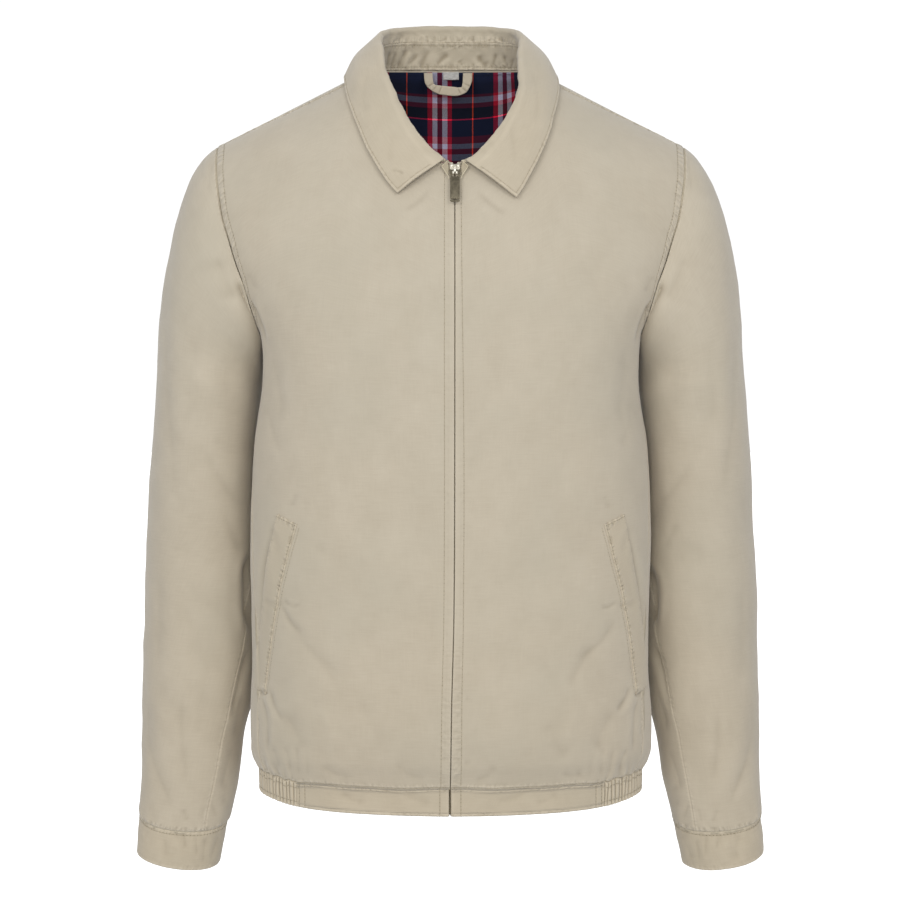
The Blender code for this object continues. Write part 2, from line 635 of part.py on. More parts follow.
STEP = 0.12  # degrees of turn left free at each join of the band
for side, hand in ((-1, "right"), (1, "left")):
    start_x = side * float(ZIP_LINE("x", -0.665)) + ZIP_GAP / 2
    turn_0 = math.degrees(float(turn_at(max(start_x, 1e-4), -0.665)))
    band(f"hem_front_{hand}", side, turn_0, ELASTIC_FROM - STEP, 10, (side * 0.1, -1, -0.66), start_x)
    band(f"hem_elastic_{hand}", side, ELASTIC_FROM + STEP, ELASTIC_TO - STEP, 12, (side, 0, -0.66))
turns = spread(17, ELASTIC_TO + STEP, 360 - ELASTIC_TO - STEP)
grid = np.array([band_point(np.where(turns > 180, 360 - turns, turns), part) for part in spread(3)])
grid[..., 0] *= np.where(turns > 180, -1, 1)
cloth("hem_back", grid, (0, 1, -0.66), BAND_CLOTH)

# ---------------------------------------------------------------- sleeves and cuffs
AROUND, DOWN = 20, 18
parts = np.arange(AROUND) / AROUND
for side, hand in ((-1, "right"), (1, "left")):
    grid = sleeve_surface(parts, spread(DOWN, 0.0016, 1.0))
    grid[0] += np.array([0.0008, 0, 0])
    grid[..., 0] *= side
    cloth(f"sleeve_{hand}", grid, (side * 1.0, 0.03, -0.4), closed=True)
    heights = CUFF.column("z")
    cuff = np.array([ring(CUFF, z, parts) for z in spread(3, heights[-1] - SEAM_GAP - 0.0003, heights[0])])
    cuff[..., 0] *= side
    cloth(f"cuff_{hand}", cuff, (side * 1.0, 0.03, -0.72), BAND_CLOTH, closed=True)

# ---------------------------------------------------------------- collar
ts = spread(27, -1, 1)
cloth("collar_stand", stand_surface(ts, spread(3)), (0, -0.5, 0.03), CLOTH, offset=-1.0)
cloth("collar_fall", fall_surface(ts, np.array([0, 0.16, 0.23, 0.28, 0.33, 0.40, 0.55, 0.78, 1.0])), (0, 1.0, 0.03), 0.0018)


# ---------------------------------------------------------------- pocket welts
# Each slanted welt lies on its front: its inner stitched edge and its free outer edge, as parts of the front's width.
WELT = Table(
    "z inner_x width",
    (-0.573, 0.1718, 0.0270),
    (-0.530, 0.1660, 0.0262),
    (-0.480, 0.1575, 0.0255),
    (-0.430, 0.1450, 0.0250),
    (-0.412, 0.1400, 0.0250),
)
WELT_TILT = 0.0085  # the ends slope: the outer end of each is higher
WELT_LIFT = 0.0006


def on_body(z, x, arc):
    """The turn at which the front is at x, then a length of arc further round."""
    turns = np.linspace(float(turn_at(x, z)), math.radians(110), 300)
    line = body_section(np.full_like(turns, z), turns)
    reach = np.concatenate([[0], np.cumsum(np.linalg.norm(np.diff(line, axis=0), axis=1))])
    return np.interp(arc, reach, turns)


def welt_surface(us, vs, lift):
    grid = np.empty((len(vs), len(us), 3))
    low, high = WELT.values[0, 0], WELT.values[-1, 0]
    for i, v in enumerate(vs):
        z = low + (high - low) * v
        for j, u in enumerate(us):
            level = z + WELT_TILT * u * (1 if v > 0.5 else 0.6)
            turn = on_body(level, float(WELT("inner_x", z)), u * float(WELT("width", z)))
            grid[i, j] = body_section(np.array(level), np.array(turn))
    return moved_out(grid, lift)


for side, hand in ((-1, "right"), (1, "left")):
    grid = welt_surface(spread(4), spread(9), WELT_LIFT + CLOTH)
    grid[..., 0] *= side
    cloth(f"pocket_welt_{hand}", grid, (side * 0.6, -1, -0.5))

# ---------------------------------------------------------------- zip
TAPE_WIDTH, TAPE_THICK = 0.0125, 0.0010
CHAIN_WIDTH, CHAIN_THICK = 0.0044, 0.0020
ZIP_TOP, ZIP_BOTTOM = -0.0905, -0.6765


def front_line(z, x):
    """The outer surface of the fronts at a height and distance from the middle."""
    z = np.asarray(z, float)
    high = z > UNDERARM_Z
    low = body_section(np.minimum(z, UNDERARM_Z), turn_at(x, np.minimum(z, UNDERARM_Z)))[..., 1]
    above = upper_body(x, over_at(x, np.maximum(z, UNDERARM_Z)))[..., 1]
    return np.where(high, above, low)


def strip(name, heights, x_from, x_to, behind, thick, colour, roughness=0.7, metallic=0.0, count=2):
    """A band that follows the inside of the fronts: x_from and x_to are measured from the zip's middle line."""
    middle = ZIP_LINE("x", heights)
    grid = np.empty((len(heights), count, 3))
    for j, part in enumerate(spread(count)):
        x = middle + x_from + (x_to - x_from) * part
        grid[:, j] = np.stack([x, front_line(heights, np.abs(x)) + behind, heights], -1)
    return cloth(name, grid, (0, -1, -0.3), thick, colour, roughness=roughness)


BEHIND = BAND_CLOTH + 0.0008
edge_heights = front_panel(1, np.array([0.0]), rows)[:, 0, 2]
zip_heights = np.concatenate([spread(3, ZIP_BOTTOM, edge_heights[0] - 0.002), edge_heights[edge_heights < ZIP_TOP - 0.005], [ZIP_TOP]])
for side, hand in ((-1, "right"), (1, "left")):
    strip(f"zip_tape_{hand}", zip_heights, side * (CHAIN_WIDTH / 2 + 0.0004), side * TAPE_WIDTH, BEHIND + 0.0008, TAPE_THICK, TAPE)
strip("zip_chain", zip_heights, -CHAIN_WIDTH / 2, CHAIN_WIDTH / 2, BEHIND, CHAIN_THICK, NICKEL, 0.4)


def plate(name, outline, depth, location, colour, roughness, metallic, bevel=0.0, holes=()):
    """A flat plate: an outline in X and Z, extruded along Y, with windows cut by closed outlines."""
    bm = bmesh.new()
    loops = [outline, *holes]
    front = []
    for loop in loops:
        verts = [bm.verts.new((x, -depth / 2, z)) for x, z in loop]
        front.append([bm.edges.new((verts[i], verts[(i + 1) % len(verts)])) for i in range(len(verts))])
    bmesh.ops.triangle_fill(bm, use_beauty=True, use_dissolve=False, edges=[e for edges in front for e in edges])
    extruded = bmesh.ops.extrude_face_region(bm, geom=bm.faces[:])
    bmesh.ops.translate(bm, vec=(0, depth, 0), verts=[v for v in extruded["geom"] if isinstance(v, bmesh.types.BMVert)])
    bmesh.ops.recalc_face_normals(bm, faces=bm.faces[:])
    mesh = bpy.data.meshes.new(name)
    bm.to_mesh(mesh)
    bm.free()
    obj = add_object(name, mesh, colour, roughness, metallic)
    obj.location = location
    mesh.set_sharp_from_angle(angle=math.radians(40))
    if bevel:
        edges = obj.modifiers.new("Edges", "BEVEL")
        edges.width, edges.segments, edges.angle_limit = bevel, 1, math.radians(50)
    return obj


def rounded(width, top, bottom, corner, steps=3):
    """A rounded rectangle from z=top down to z=bottom."""
    points = []
    for cx, cz, start in (
        (width / 2 - corner, top - corner, 0),
        (-width / 2 + corner, top - corner, 90),
        (-width / 2 + corner, bottom + corner, 180),
        (width / 2 - corner, bottom + corner, 270),
    ):
        for k in range(steps + 1):
            angle = math.radians(start + 90 * k / steps)
            points.append((cx + corner * math.cos(angle), cz + corner * math.sin(angle)))
    return points


SLIDER_Z, SLIDER_WIDTH, SLIDER_HEIGHT = -0.0887, 0.0098, 0.0105
SLIDER_X = float(ZIP_LINE("x", -0.09))
SLIDER_Y = float(front_line(np.array(SLIDER_Z), np.array(abs(SLIDER_X)))) - 0.0034
SLIDER_THICK = 0.0026
SLIDER_TILT, TAB_TILT = math.radians(20), math.radians(18)  # both lie along the slope of the chest
BAIL_WIRE, BAIL_OUT = 0.0010, 0.0034
TAB_LENGTH, TAB_WIDTH = 0.0305, 0.0092


def slider():
    """The slider's face plate, wider at the top, with the bail over its lower half."""
    w, h = SLIDER_WIDTH / 2, SLIDER_HEIGHT / 2
    face = [(-w, h), (-w * 0.92, h * 0.1), (-w * 0.62, -h), (w * 0.62, -h), (w * 0.92, h * 0.1), (w, h), (w * 0.35, h * 0.82), (-w * 0.35, h * 0.82)]
    obj = plate("zip_slider", face, SLIDER_THICK, (SLIDER_X, SLIDER_Y, SLIDER_Z), NICKEL, 0.35, 0.9, 0.0003)
    obj.rotation_euler = (-SLIDER_TILT, 0, 0)
    bm = bmesh.new()
    half, wire = 0.0007, BAIL_WIRE / 2
    profile = [(0.0, h * 0.55), (-BAIL_OUT, h * 0.35), (-BAIL_OUT, -h * 0.75), (0.0, -h * 0.95)]
    inner = [(0.0, h * 0.55 - 2 * wire), (-BAIL_OUT + 2 * wire, h * 0.35 - wire), (-BAIL_OUT + 2 * wire, -h * 0.75 + wire), (0.0, -h * 0.95 + 2 * wire)]
    loops = []
    for x in (-half, half):
        loops.append([bm.verts.new((x, y - SLIDER_THICK / 2 + 0.0004 * (y == 0), z)) for y, z in profile + inner[::-1]])
    n = len(loops[0])
    for i in range(n):
        bm.faces.new((loops[0][i], loops[0][(i + 1) % n], loops[1][(i + 1) % n], loops[1][i]))
    quads = [(0, 1, 6, 7), (1, 2, 5, 6), (2, 3, 4, 5)]
    for q in quads:
        bm.faces.new([loops[0][k] for k in q][::-1])
        bm.faces.new([loops[1][k] for k in q])
    bmesh.ops.recalc_face_normals(bm, faces=bm.faces[:])
    mesh = bpy.data.meshes.new("bail_shape")
    bm.to_mesh(mesh)
    bm.free()
    bail = bpy.data.objects.new("bail_shape", mesh)
    bpy.context.scene.collection.objects.link(bail)
    bail.location, bail.rotation_euler = obj.location, obj.rotation_euler
    bail.hide_render = True
    bail.display_type = "WIRE"
    join = obj.modifiers.new("Bail", "BOOLEAN")
    join.operation, join.object = "UNION", bail
    return obj


slider()

# The pull tab hangs from the bail: a plate with a window whose top bar passes inside the bail.
PIVOT = Vector((0, -SLIDER_THICK / 2 - (BAIL_OUT - BAIL_WIRE) / 2, -SLIDER_HEIGHT / 2 * 0.75 + 0.0016))
PIVOT = Matrix.Rotation(-SLIDER_TILT, 3, "X") @ PIVOT + Vector((SLIDER_X, SLIDER_Y, SLIDER_Z))
BAR = 0.0009
pull = plate(
    "zip_pull",
    rounded(TAB_WIDTH, BAR / 2, -TAB_LENGTH, 0.0012, 2),
    BAR,
    PIVOT,
    GUNMETAL,
    0.4,
    0.9,
    holes=[[(-0.0024, -BAR / 2), (-0.0024, -0.0062), (0.0024, -0.0062), (0.0024, -BAR / 2)]],
)
pull.rotation_euler = (-TAB_TILT, 0, 0)

# Folded ends of the tape, tucked beside the slider under the collar.
for side, hand in ((-1, "right"), (1, "left")):
    tip_x = SLIDER_X + side * 0.0070
    corner = [(0.0, 0.0075), (side * 0.0050, 0.0022), (-side * 0.0008, -0.0072), (-side * 0.0014, 0.0015)]
    end = plate(f"zip_tape_end_{hand}", corner if side > 0 else corner[::-1], 0.0010, (tip_x, SLIDER_Y + 0.0004, SLIDER_Z), TAPE, 0.8, 0.0)
    end.rotation_euler = (-SLIDER_TILT, 0, 0)

# ---------------------------------------------------------------- hanger loop and label
LOOP = Table(
    "part x y z",
    (0.00, -0.0222, 0.0660, 0.0140),
    (0.18, -0.0215, 0.0655, 0.0030),
    (0.34, -0.0120, 0.0635, -0.0040),
    (0.50, 0.0010, 0.0625, -0.0055),
    (0.66, 0.0125, 0.0635, -0.0045),
    (0.82, 0.0178, 0.0655, 0.0030),
    (1.00, 0.0170, 0.0660, 0.0140),
)
LOOP_WIDTH = 0.0072


def loop_surface(parts, sides):
    middle = LOOP.path("x y z", parts)
    run = unit(np.gradient(middle, axis=0))
    side = unit(np.cross(run, np.array([0, -1.0, 0])))
    return np.array([middle + side * LOOP_WIDTH / 2 * s for s in sides])


cloth("hang_loop", loop_surface(spread(13), (-1, 1)), (0, -1, 0.0), 0.0014)
LABEL_WIDTH, LABEL_HEIGHT = 0.0150, 0.0075
label_x = spread(4, -LABEL_WIDTH / 2, LABEL_WIDTH / 2) + 0.0005
label = np.array([[(x, 0.0668 - 9.0 * x * x, z) for x in label_x] for z in (0.0148, 0.0148 - LABEL_HEIGHT)])
cloth("neck_label", label, (0, -1, 0.01), 0.0009, TAG)
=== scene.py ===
"""Looks of a harrington jacket: fine cloth shells, stitches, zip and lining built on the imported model's form.

Metres, +Z up, the front faces -Y, the wearer's right is -X. Crease tables are written in the camera's own 900 x 900
frame for what the front shows, and in millimetres seen from behind for the back.
"""

import json
import math

import bmesh
import bpy
import numpy as np
from mathutils import Matrix, Vector

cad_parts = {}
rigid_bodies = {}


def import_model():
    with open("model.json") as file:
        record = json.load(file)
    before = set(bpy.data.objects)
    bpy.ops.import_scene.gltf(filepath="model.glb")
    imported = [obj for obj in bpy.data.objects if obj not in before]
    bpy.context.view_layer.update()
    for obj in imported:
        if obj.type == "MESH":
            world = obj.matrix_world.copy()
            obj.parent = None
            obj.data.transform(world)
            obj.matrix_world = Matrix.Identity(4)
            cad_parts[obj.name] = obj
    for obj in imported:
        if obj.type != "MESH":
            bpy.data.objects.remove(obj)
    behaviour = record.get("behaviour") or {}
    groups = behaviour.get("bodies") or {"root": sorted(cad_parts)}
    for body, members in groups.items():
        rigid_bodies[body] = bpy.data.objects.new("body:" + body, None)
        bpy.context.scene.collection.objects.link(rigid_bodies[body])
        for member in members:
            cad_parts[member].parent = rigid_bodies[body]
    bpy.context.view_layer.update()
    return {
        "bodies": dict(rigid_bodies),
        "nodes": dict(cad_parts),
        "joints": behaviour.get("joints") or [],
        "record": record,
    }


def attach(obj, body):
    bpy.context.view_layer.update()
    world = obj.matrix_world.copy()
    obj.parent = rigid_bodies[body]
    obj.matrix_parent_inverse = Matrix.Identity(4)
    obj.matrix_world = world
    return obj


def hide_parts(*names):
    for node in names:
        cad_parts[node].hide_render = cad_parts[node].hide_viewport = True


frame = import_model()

# ---------------------------------------------------------------- sizes
CLOTH = 0.0016  # shell fabric with its interlining and seam allowances
LINING = 0.0010
BAND_CLOTH = 0.0022  # hem band and cuffs: two layers
SEAM_GAP = 0.0004  # clear distance between two pieces at a seam
UNDERARM_Z = -0.245
FRONT_DEPTH, BACK_DEPTH = 0.125, 0.115  # at the underarm
FRONT_ARCH = 2.0  # roundness of the front above the underarm, towards the shoulder line
RIDGE_Y = 0.015  # the shoulder line lies a little behind the middle
NECK_SIDE_X, SHOULDER_X = 0.0765, 0.2200
SHOULDER_SLOPE, RIDGE_X, RIDGE_Z = 0.51, 0.1073, -0.0037
ZIP_GAP = 0.0016  # between the two front edges
LINING_INSET = 0.0034


class Table:
    """Rows of numbers under named columns. A column is read at a key by a smooth curve that keeps its rises and falls."""

    def __init__(self, columns, *rows):
        self.names = columns.split()
        self.values = np.array(rows, float)

    def column(self, name):
        return self.values[:, self.names.index(name)]

    def __call__(self, name, at):
        keys, values = self.values[:, 0], self.column(name)
        steps = np.diff(keys)
        rises = np.diff(values) / steps
        slopes = np.zeros_like(values)
        slopes[0], slopes[-1] = rises[0], rises[-1]
        same = rises[:-1] * rises[1:] > 0
        w1, w2 = 2 * steps[1:] + steps[:-1], steps[1:] + 2 * steps[:-1]
        with np.errstate(divide="ignore", invalid="ignore"):
            harmonic = (w1 + w2) / (w1 / rises[:-1] + w2 / rises[1:])
        slopes[1:-1] = np.where(same, harmonic, 0)
        at = np.clip(np.asarray(at, float), keys[0], keys[-1])
        i = np.clip(np.searchsorted(keys, at, side="right") - 1, 0, len(keys) - 2)
        t = (at - keys[i]) / steps[i]
        return (
            (1 + 2 * t) * (1 - t) ** 2 * values[i]
            + t * (1 - t) ** 2 * steps[i] * slopes[i]
            + t * t * (3 - 2 * t) * values[i + 1]
            + t * t * (t - 1) * steps[i] * slopes[i + 1]
        )

    def path(self, names, at):
        """Several columns read together on one natural cubic spline, as for a line in space."""
        keys = self.values[:, 0]
        values = np.stack([self.column(n) for n in names.split()], -1)
        n, steps = len(keys), np.diff(keys)
        matrix, right = np.eye(n), np.zeros_like(values)
        for i in range(1, n - 1):
            matrix[i, i - 1 : i + 2] = steps[i - 1], 2 * (steps[i - 1] + steps[i]), steps[i]
            right[i] = 6 * ((values[i + 1] - values[i]) / steps[i] - (values[i] - values[i - 1]) / steps[i - 1])
        bend = np.linalg.solve(matrix, right)
        at = np.clip(np.asarray(at, float), keys[0], keys[-1])
        i = np.clip(np.searchsorted(keys, at, side="right") - 1, 0, n - 2)
        h, t = steps[i][..., None], (at - keys[i])[..., None]
        return (
            values[i]
            + ((values[i + 1] - values[i]) / h - h * (2 * bend[i] + bend[i + 1]) / 6) * t
            + bend[i] / 2 * t**2
            + (bend[i + 1] - bend[i]) / (6 * h) * t**3
        )


# Level sections of the body: half width, and depth before and behind the middle.
BODY = Table(
    "z half_width front back",
    (-0.680, 0.1815, 0.119, 0.106),
    (-0.652, 0.1820, 0.120, 0.107),
    (-0.643, 0.1850, 0.1225, 0.110),
    (-0.628, 0.1900, 0.1275, 0.1145),
    (-0.600, 0.1910, 0.1310, 0.1160),
    (-0.545, 0.1885, 0.1295, 0.1120),
    (-0.457, 0.1891, 0.1255, 0.1050),
    (-0.396, 0.1882, 0.1240, 0.1040),
    (-0.348, 0.1857, 0.1240, 0.1060),
    (-0.322, 0.1822, 0.1243, 0.1085),
    (-0.277, 0.1765, 0.1248, 0.1130),
    (UNDERARM_Z, 0.1760, FRONT_DEPTH, BACK_DEPTH),
)
# Squareness of the body's level sections: fuller at the corners near the underarm, where the cloth runs on to the sleeve.
SQUARENESS = Table(
    "z power", (-0.680, 2.50), (-0.500, 2.45), (-0.400, 2.45), (-0.320, 2.60), (-0.245, 2.95), (-0.190, 2.75), (-0.110, 2.45), (0.0, 2.35)
)
# Above the underarm the front and back widen behind the sleeves, out to the armholes.
REACH = Table(
    "z front back",
    (UNDERARM_Z, 0.1760, 0.1760),
    (-0.228, 0.1850, 0.1870),
    (-0.205, 0.1990, 0.2030),
    (-0.180, 0.2140, 0.2190),
    (-0.150, 0.2320, 0.2370),
    (-0.100, 0.2560, 0.2590),
    (-0.055, 0.2740, 0.2740),
    (0.040, 0.2900, 0.2900),
)
SHOULDER_LINE = Table(
    "x z",
    (0.000, 0.0300),
    (0.020, 0.0288),
    (0.040, 0.0255),
    (0.060, 0.0195),
    (NECK_SIDE_X, RIDGE_Z + SHOULDER_SLOPE * (RIDGE_X - NECK_SIDE_X)),
    (RIDGE_X, RIDGE_Z),
    (0.1600, RIDGE_Z - SHOULDER_SLOPE * (0.1600 - RIDGE_X)),
    (0.3000, RIDGE_Z - SHOULDER_SLOPE * (0.3000 - RIDGE_X)),
)
# Roundness of the back above the underarm: squarer behind the neck, rounder towards the shoulder.
BACK_ARCH = Table("x power", (0.000, 3.0), (0.050, 2.95), (0.090, 2.70), (0.140, 2.40), (0.220, 2.20), (0.300, 2.20))
# The armhole seam: its distance from the middle at each part of the height from underarm to shoulder line.
ARMHOLE = Table(
    "height front back",
    (0.000, 0.1760, 0.1760),
    (0.154, 0.1847, 0.1880),
    (0.293, 0.1927, 0.1965),
    (0.369, 0.1978, 0.2003),
    (0.490, 0.2043, 0.2060),
    (0.588, 0.2100, 0.2098),
    (0.735, 0.2150, 0.2145),
    (0.838, 0.2178, 0.2172),
    (1.000, SHOULDER_X, SHOULDER_X),
)
# The forward shoulder seam runs this far below the shoulder line, on the front.
SEAM_DROP = Table(
    "x drop", (0.070, 0.0066), (0.108, 0.0056), (0.140, 0.0047), (0.170, 0.0028), (0.195, 0.0014), (0.225, 0.0008)
)
NECK_FRONT = Table(
    "t x z",
    (0.00, 0.0000, -0.0846),
    (0.20, 0.0200, -0.0783),
    (0.42, 0.0415, -0.0606),
    (0.65, 0.0600, -0.0360),
    (0.85, 0.0720, -0.0120),
    (1.00, NECK_SIDE_X, 0.0056),
)
NECK_BACK = Table(
    "x z", (0.000, 0.0170), (0.020, 0.0170), (0.040, 0.0165), (0.060, 0.0152), (0.070, 0.0138), (NECK_SIDE_X, 0.0120)
)
HEM_SEAM = Table("turn z", (0, -0.6505), (45, -0.6495), (75, -0.6470), (105, -0.6470), (140, -0.6495), (180, -0.6500))
HEM_EDGE = Table("turn z", (0, -0.6770), (40, -0.6745), (75, -0.6700), (105, -0.6700), (140, -0.6735), (180, -0.6750))
SIDE_SEAM = Table("z turn", (-0.652, 67), (-0.590, 68), (-0.450, 76), (-0.330, 85), (UNDERARM_Z, 90))
ZIP_LINE = Table("z x", (-0.690, -0.0012), (-0.640, 0.0), (-0.575, 0.0010), (-0.490, 0.0031), (-0.400, 0.0037), (-0.07, 0.0040))


def raised(value, power):
    return np.sign(value) * np.abs(value) ** power


def body_section(z, turn):
    """A point of the body below the underarm. turn is 0 at the middle of the front, 90 degrees at the side, 180 behind."""
    power = 2 / SQUARENESS("power", z)
    s, c = raised(np.sin(turn), power), raised(np.cos(turn), power)
    depth = np.where(c > 0, BODY("front", z), BODY("back", z))
    return np.stack([BODY("half_width", z) * s, -depth * c, z + 0 * s], -1)


def turn_at(x, z):
    """The turn, in radians, at which a level section of the front is at x."""
    return np.arcsin(raised(np.clip(x / BODY("half_width", z), -1, 1), SQUARENESS("power", z) / 2))


def shoulder_z(x):
    return SHOULDER_LINE("z", np.abs(x))


def upper_body(x, over):
    """A point of the body above the underarm: over is 0 in front, 90 degrees on the shoulder line, 180 behind."""
    front = np.cos(over) >= 0
    power = 2 / np.where(front, FRONT_ARCH, BACK_ARCH("power", np.abs(x)))
    height, flat = np.sin(over) ** power, np.abs(np.cos(over)) ** power
    z = UNDERARM_Z + (shoulder_z(x) - UNDERARM_Z) * height
    reach = np.where(front, REACH("front", z), REACH("back", z))
    square = SQUARENESS("power", z)
    spread = (1 - np.minimum(np.abs(x) / reach, 1) ** square) ** (1 / square)
    y = RIDGE_Y * height + np.where(front, -FRONT_DEPTH, BACK_DEPTH) * spread * flat
    return np.stack([x, y, z], -1)


def over_at(x, z, front=True):
    """The over angle at which a line up the body at x reaches height z."""
    part = np.clip((z - UNDERARM_Z) / (shoulder_z(x) - UNDERARM_Z), 0, 1)
    angle = np.arcsin(part ** ((FRONT_ARCH if front else BACK_ARCH("power", np.abs(x))) / 2))
    return angle if front else math.pi - angle


def armhole_x(over):
    front = np.cos(over) >= 0
    height = np.sin(over) ** (2 / np.where(front, FRONT_ARCH, BACK_ARCH("power", 0.2)))
    return np.where(front, ARMHOLE("front", height), ARMHOLE("back", height))


def along(points, parts):
    """Points at these parts of a line's length."""
    reach = np.concatenate([[0], np.cumsum(np.linalg.norm(np.diff(points[:, :3], axis=0), axis=1))])
    return np.stack([np.interp(np.asarray(parts) * reach[-1], reach, points[:, k]) for k in range(points.shape[1])], -1)


def front_top(start_x):
    """The front's top edge, neckline then shoulder seam, as rows of x, y, z, over."""
    t = np.linspace(0, 1, 80)
    neck = NECK_FRONT.path("x z", t)
    neck_x = neck[:, 0] + start_x * (1 - neck[:, 0] / NECK_SIDE_X)
    seam_x = np.linspace(NECK_SIDE_X, SHOULDER_X, 80)[1:]
    seam_z = shoulder_z(seam_x) - SEAM_DROP("drop", seam_x)
    x = np.concatenate([neck_x, seam_x])
    over = over_at(x, np.concatenate([neck[:, 1], seam_z]))
    return np.column_stack([upper_body(x, over), over])


def back_top():
    """Half of the back's top edge from the middle: neckline, over the shoulder line, then the forward shoulder seam."""
    neck_x = np.linspace(0, NECK_SIDE_X, 80)
    neck = over_at(neck_x, NECK_BACK("z", neck_x), front=False)
    front_end = over_at(NECK_SIDE_X, shoulder_z(NECK_SIDE_X) - SEAM_DROP("drop", NECK_SIDE_X))
    turn = np.linspace(neck[-1], front_end, 30)[1:]
    turn_x = NECK_SIDE_X + 0.0015 * np.sin(np.linspace(0, math.pi, 30)[1:])
    seam_x = np.linspace(NECK_SIDE_X, SHOULDER_X, 80)[1:]
    seam = over_at(seam_x, shoulder_z(seam_x) - SEAM_DROP("drop", seam_x))
    x, over = np.concatenate([neck_x, turn_x, seam_x]), np.concatenate([neck, turn, seam])
    return np.column_stack([upper_body(x, over), over])


SPLIT = 0.66  # part of a panel's rows below the underarm


def half_panel(us, vs, edge, back=False):
    """Points of a front, or of half the back, in the +X half. us runs from the middle to the side, vs from hem to top."""
    us, vs = np.asarray(us, float), np.asarray(vs, float)
    dense = 360
    lower_rows = np.linspace(0, 1, 160)
    lower = np.empty((len(lower_rows), len(us), 3))
    for i, part in enumerate(lower_rows):
        guess = UNDERARM_Z + (HEM_SEAM("z", 45) - UNDERARM_Z) * (1 - part)
        side = math.radians(float(SIDE_SEAM("turn", guess)))
        if back:
            turn = np.linspace(math.pi, side, dense)
        else:
            turn = np.linspace(turn_at(edge(guess), guess), side, dense)
        z = UNDERARM_Z + (HEM_SEAM("z", np.degrees(np.abs(turn))) - UNDERARM_Z) * (1 - part)
        lower[i] = along(body_section(z, turn), us)
    top = along(back_top() if back else front_top(float(edge(UNDERARM_Z))), us)
    base_x, top_x, end = lower[-1, :, 0], top[:, 0], top[:, 3]
    start = math.pi if back else 0.0
    upper_rows = np.linspace(0, 1, 300)
    upper = np.empty((len(upper_rows), len(us), 3))
    tip = float((back_top() if back else front_top(0.0))[-1, 3])
    for i, part in enumerate(upper_rows):
        over = start + (end - start) * part
        rim = start + (tip - start) * part
        x = base_x + (top_x - base_x) * part
        rim_x = BODY("half_width", UNDERARM_Z) + (SHOULDER_X - BODY("half_width", UNDERARM_Z)) * part
        x = x + (armhole_x(np.array(rim)) - rim_x) * us**3
        upper[i] = upper_body(x, over)
    grid = np.empty((len(vs), len(us), 3))
    low = vs <= SPLIT
    for j in range(len(us)):
        grid[low, j] = along(lower[:, j], vs[low] / SPLIT)
        grid[~low, j] = along(upper[:, j], (vs[~low] - SPLIT) / (1 - SPLIT))
    return grid


def front_panel(side, us, vs):
    """side is +1 for the wearer's left, -1 for the right."""

    def edge(z):
        return side * ZIP_LINE("x", z) + ZIP_GAP / 2

    grid = half_panel(us, vs, edge)
    grid[..., 0] *= side
    return grid


def back_panel(us, vs):
    """us runs from -1 at the wearer's right side seam to 1 at the left."""
    us = np.asarray(us, float)
    grid = half_panel(np.abs(us), vs, None, back=True)
    grid[..., 0] *= np.sign(us)[None, :]
    return grid


# ---------------------------------------------------------------- sleeves and cuffs
# Level rings of a sleeve below the cap: middle and half sizes, and how far the front hangs below the middle.
SLEEVE = Table(
    "z middle_x half_x middle_y half_y drop_front drop_out",
    (-0.7010, 0.2568, 0.0432, 0.020, 0.0365, 0.0098, -0.0033),
    (-0.6650, 0.2518, 0.0468, 0.028, 0.0450, 0.0060, -0.0015),
    (-0.6250, 0.2490, 0.0496, 0.036, 0.0540, 0.0040, 0.0),
    (-0.5800, 0.2438, 0.0543, 0.042, 0.0620, 0.0020, 0.0),
    (-0.5000, 0.2423, 0.0543, 0.045, 0.0675, 0.0, 0.0),
    (-0.4200, 0.2398, 0.0528, 0.043, 0.0715, 0.0, 0.0),
    (-0.3500, 0.2364, 0.0509, 0.037, 0.0760, 0.0, 0.0),
    (-0.2850, 0.2315, 0.0495, 0.028, 0.0790, 0.0, 0.0),
)
CUFF = Table(
    "z middle_x half_x middle_y half_y drop_front drop_out",
    (-0.7400, 0.2622, 0.0397, 0.018, 0.0330, 0.0074, -0.0053),
    (-0.7205, 0.2597, 0.0412, 0.019, 0.0345, 0.0086, -0.0043),
    (-0.7008, 0.2568, 0.0424, 0.020, 0.0357, 0.0098, -0.0033),
)
CAP_END = -0.285
# How a line down the sleeve leaves the armhole and arrives at the first level ring.
CAP_LEAVE = Table(
    "part x y z", (0.0, 0.140, 0.000, -0.070), (0.25, 0.075, -0.055, -0.085), (0.5, 0.012, 0.000, -0.040), (0.75, 0.070, 0.050, -0.085), (1.0, 0.140, 0.000, -0.070)
)
CAP_ARRIVE = Table("part x z", (0.0, 0.010, -0.200), (0.25, 0.004, -0.150), (0.5, 0.004, -0.040), (0.75, 0.004, -0.150), (1.0, 0.010, -0.200))
SLEEVE_SPLIT = 0.34


def around(table, parts):
    """A wrapped table column set read as a smooth periodic mix of its four directions."""
    angle = 2 * np.pi * np.asarray(parts, float)[..., None]
    top, front, under, back = table.values[:4, 1:]
    middle, out, ahead = (top + front + under + back) / 4, (top - under) / 2, (front - back) / 2
    twice = (top + under - front - back) / 4
    return middle + out * np.cos(angle) + ahead * np.sin(angle) + twice * np.cos(2 * angle)


def armhole_loop(parts):
    """Points round the armhole: 0 at the shoulder, 0.25 in front, 0.5 under the arm, 0.75 behind."""
    over = np.linspace(0, math.pi / 2, 400)
    front = upper_body(armhole_x(over), over)[::-1]
    over = np.linspace(math.pi / 2 + 1e-6, math.pi, 400)
    back = upper_body(armhole_x(over), over)[::-1]
    back[-1] = front[0]
    parts = np.asarray(parts, float) % 1.0
    return np.where(
        (parts <= 0.5)[:, None], along(front, np.clip(parts * 2, 0, 1)), along(back, np.clip(parts * 2 - 1, 0, 1))
    )


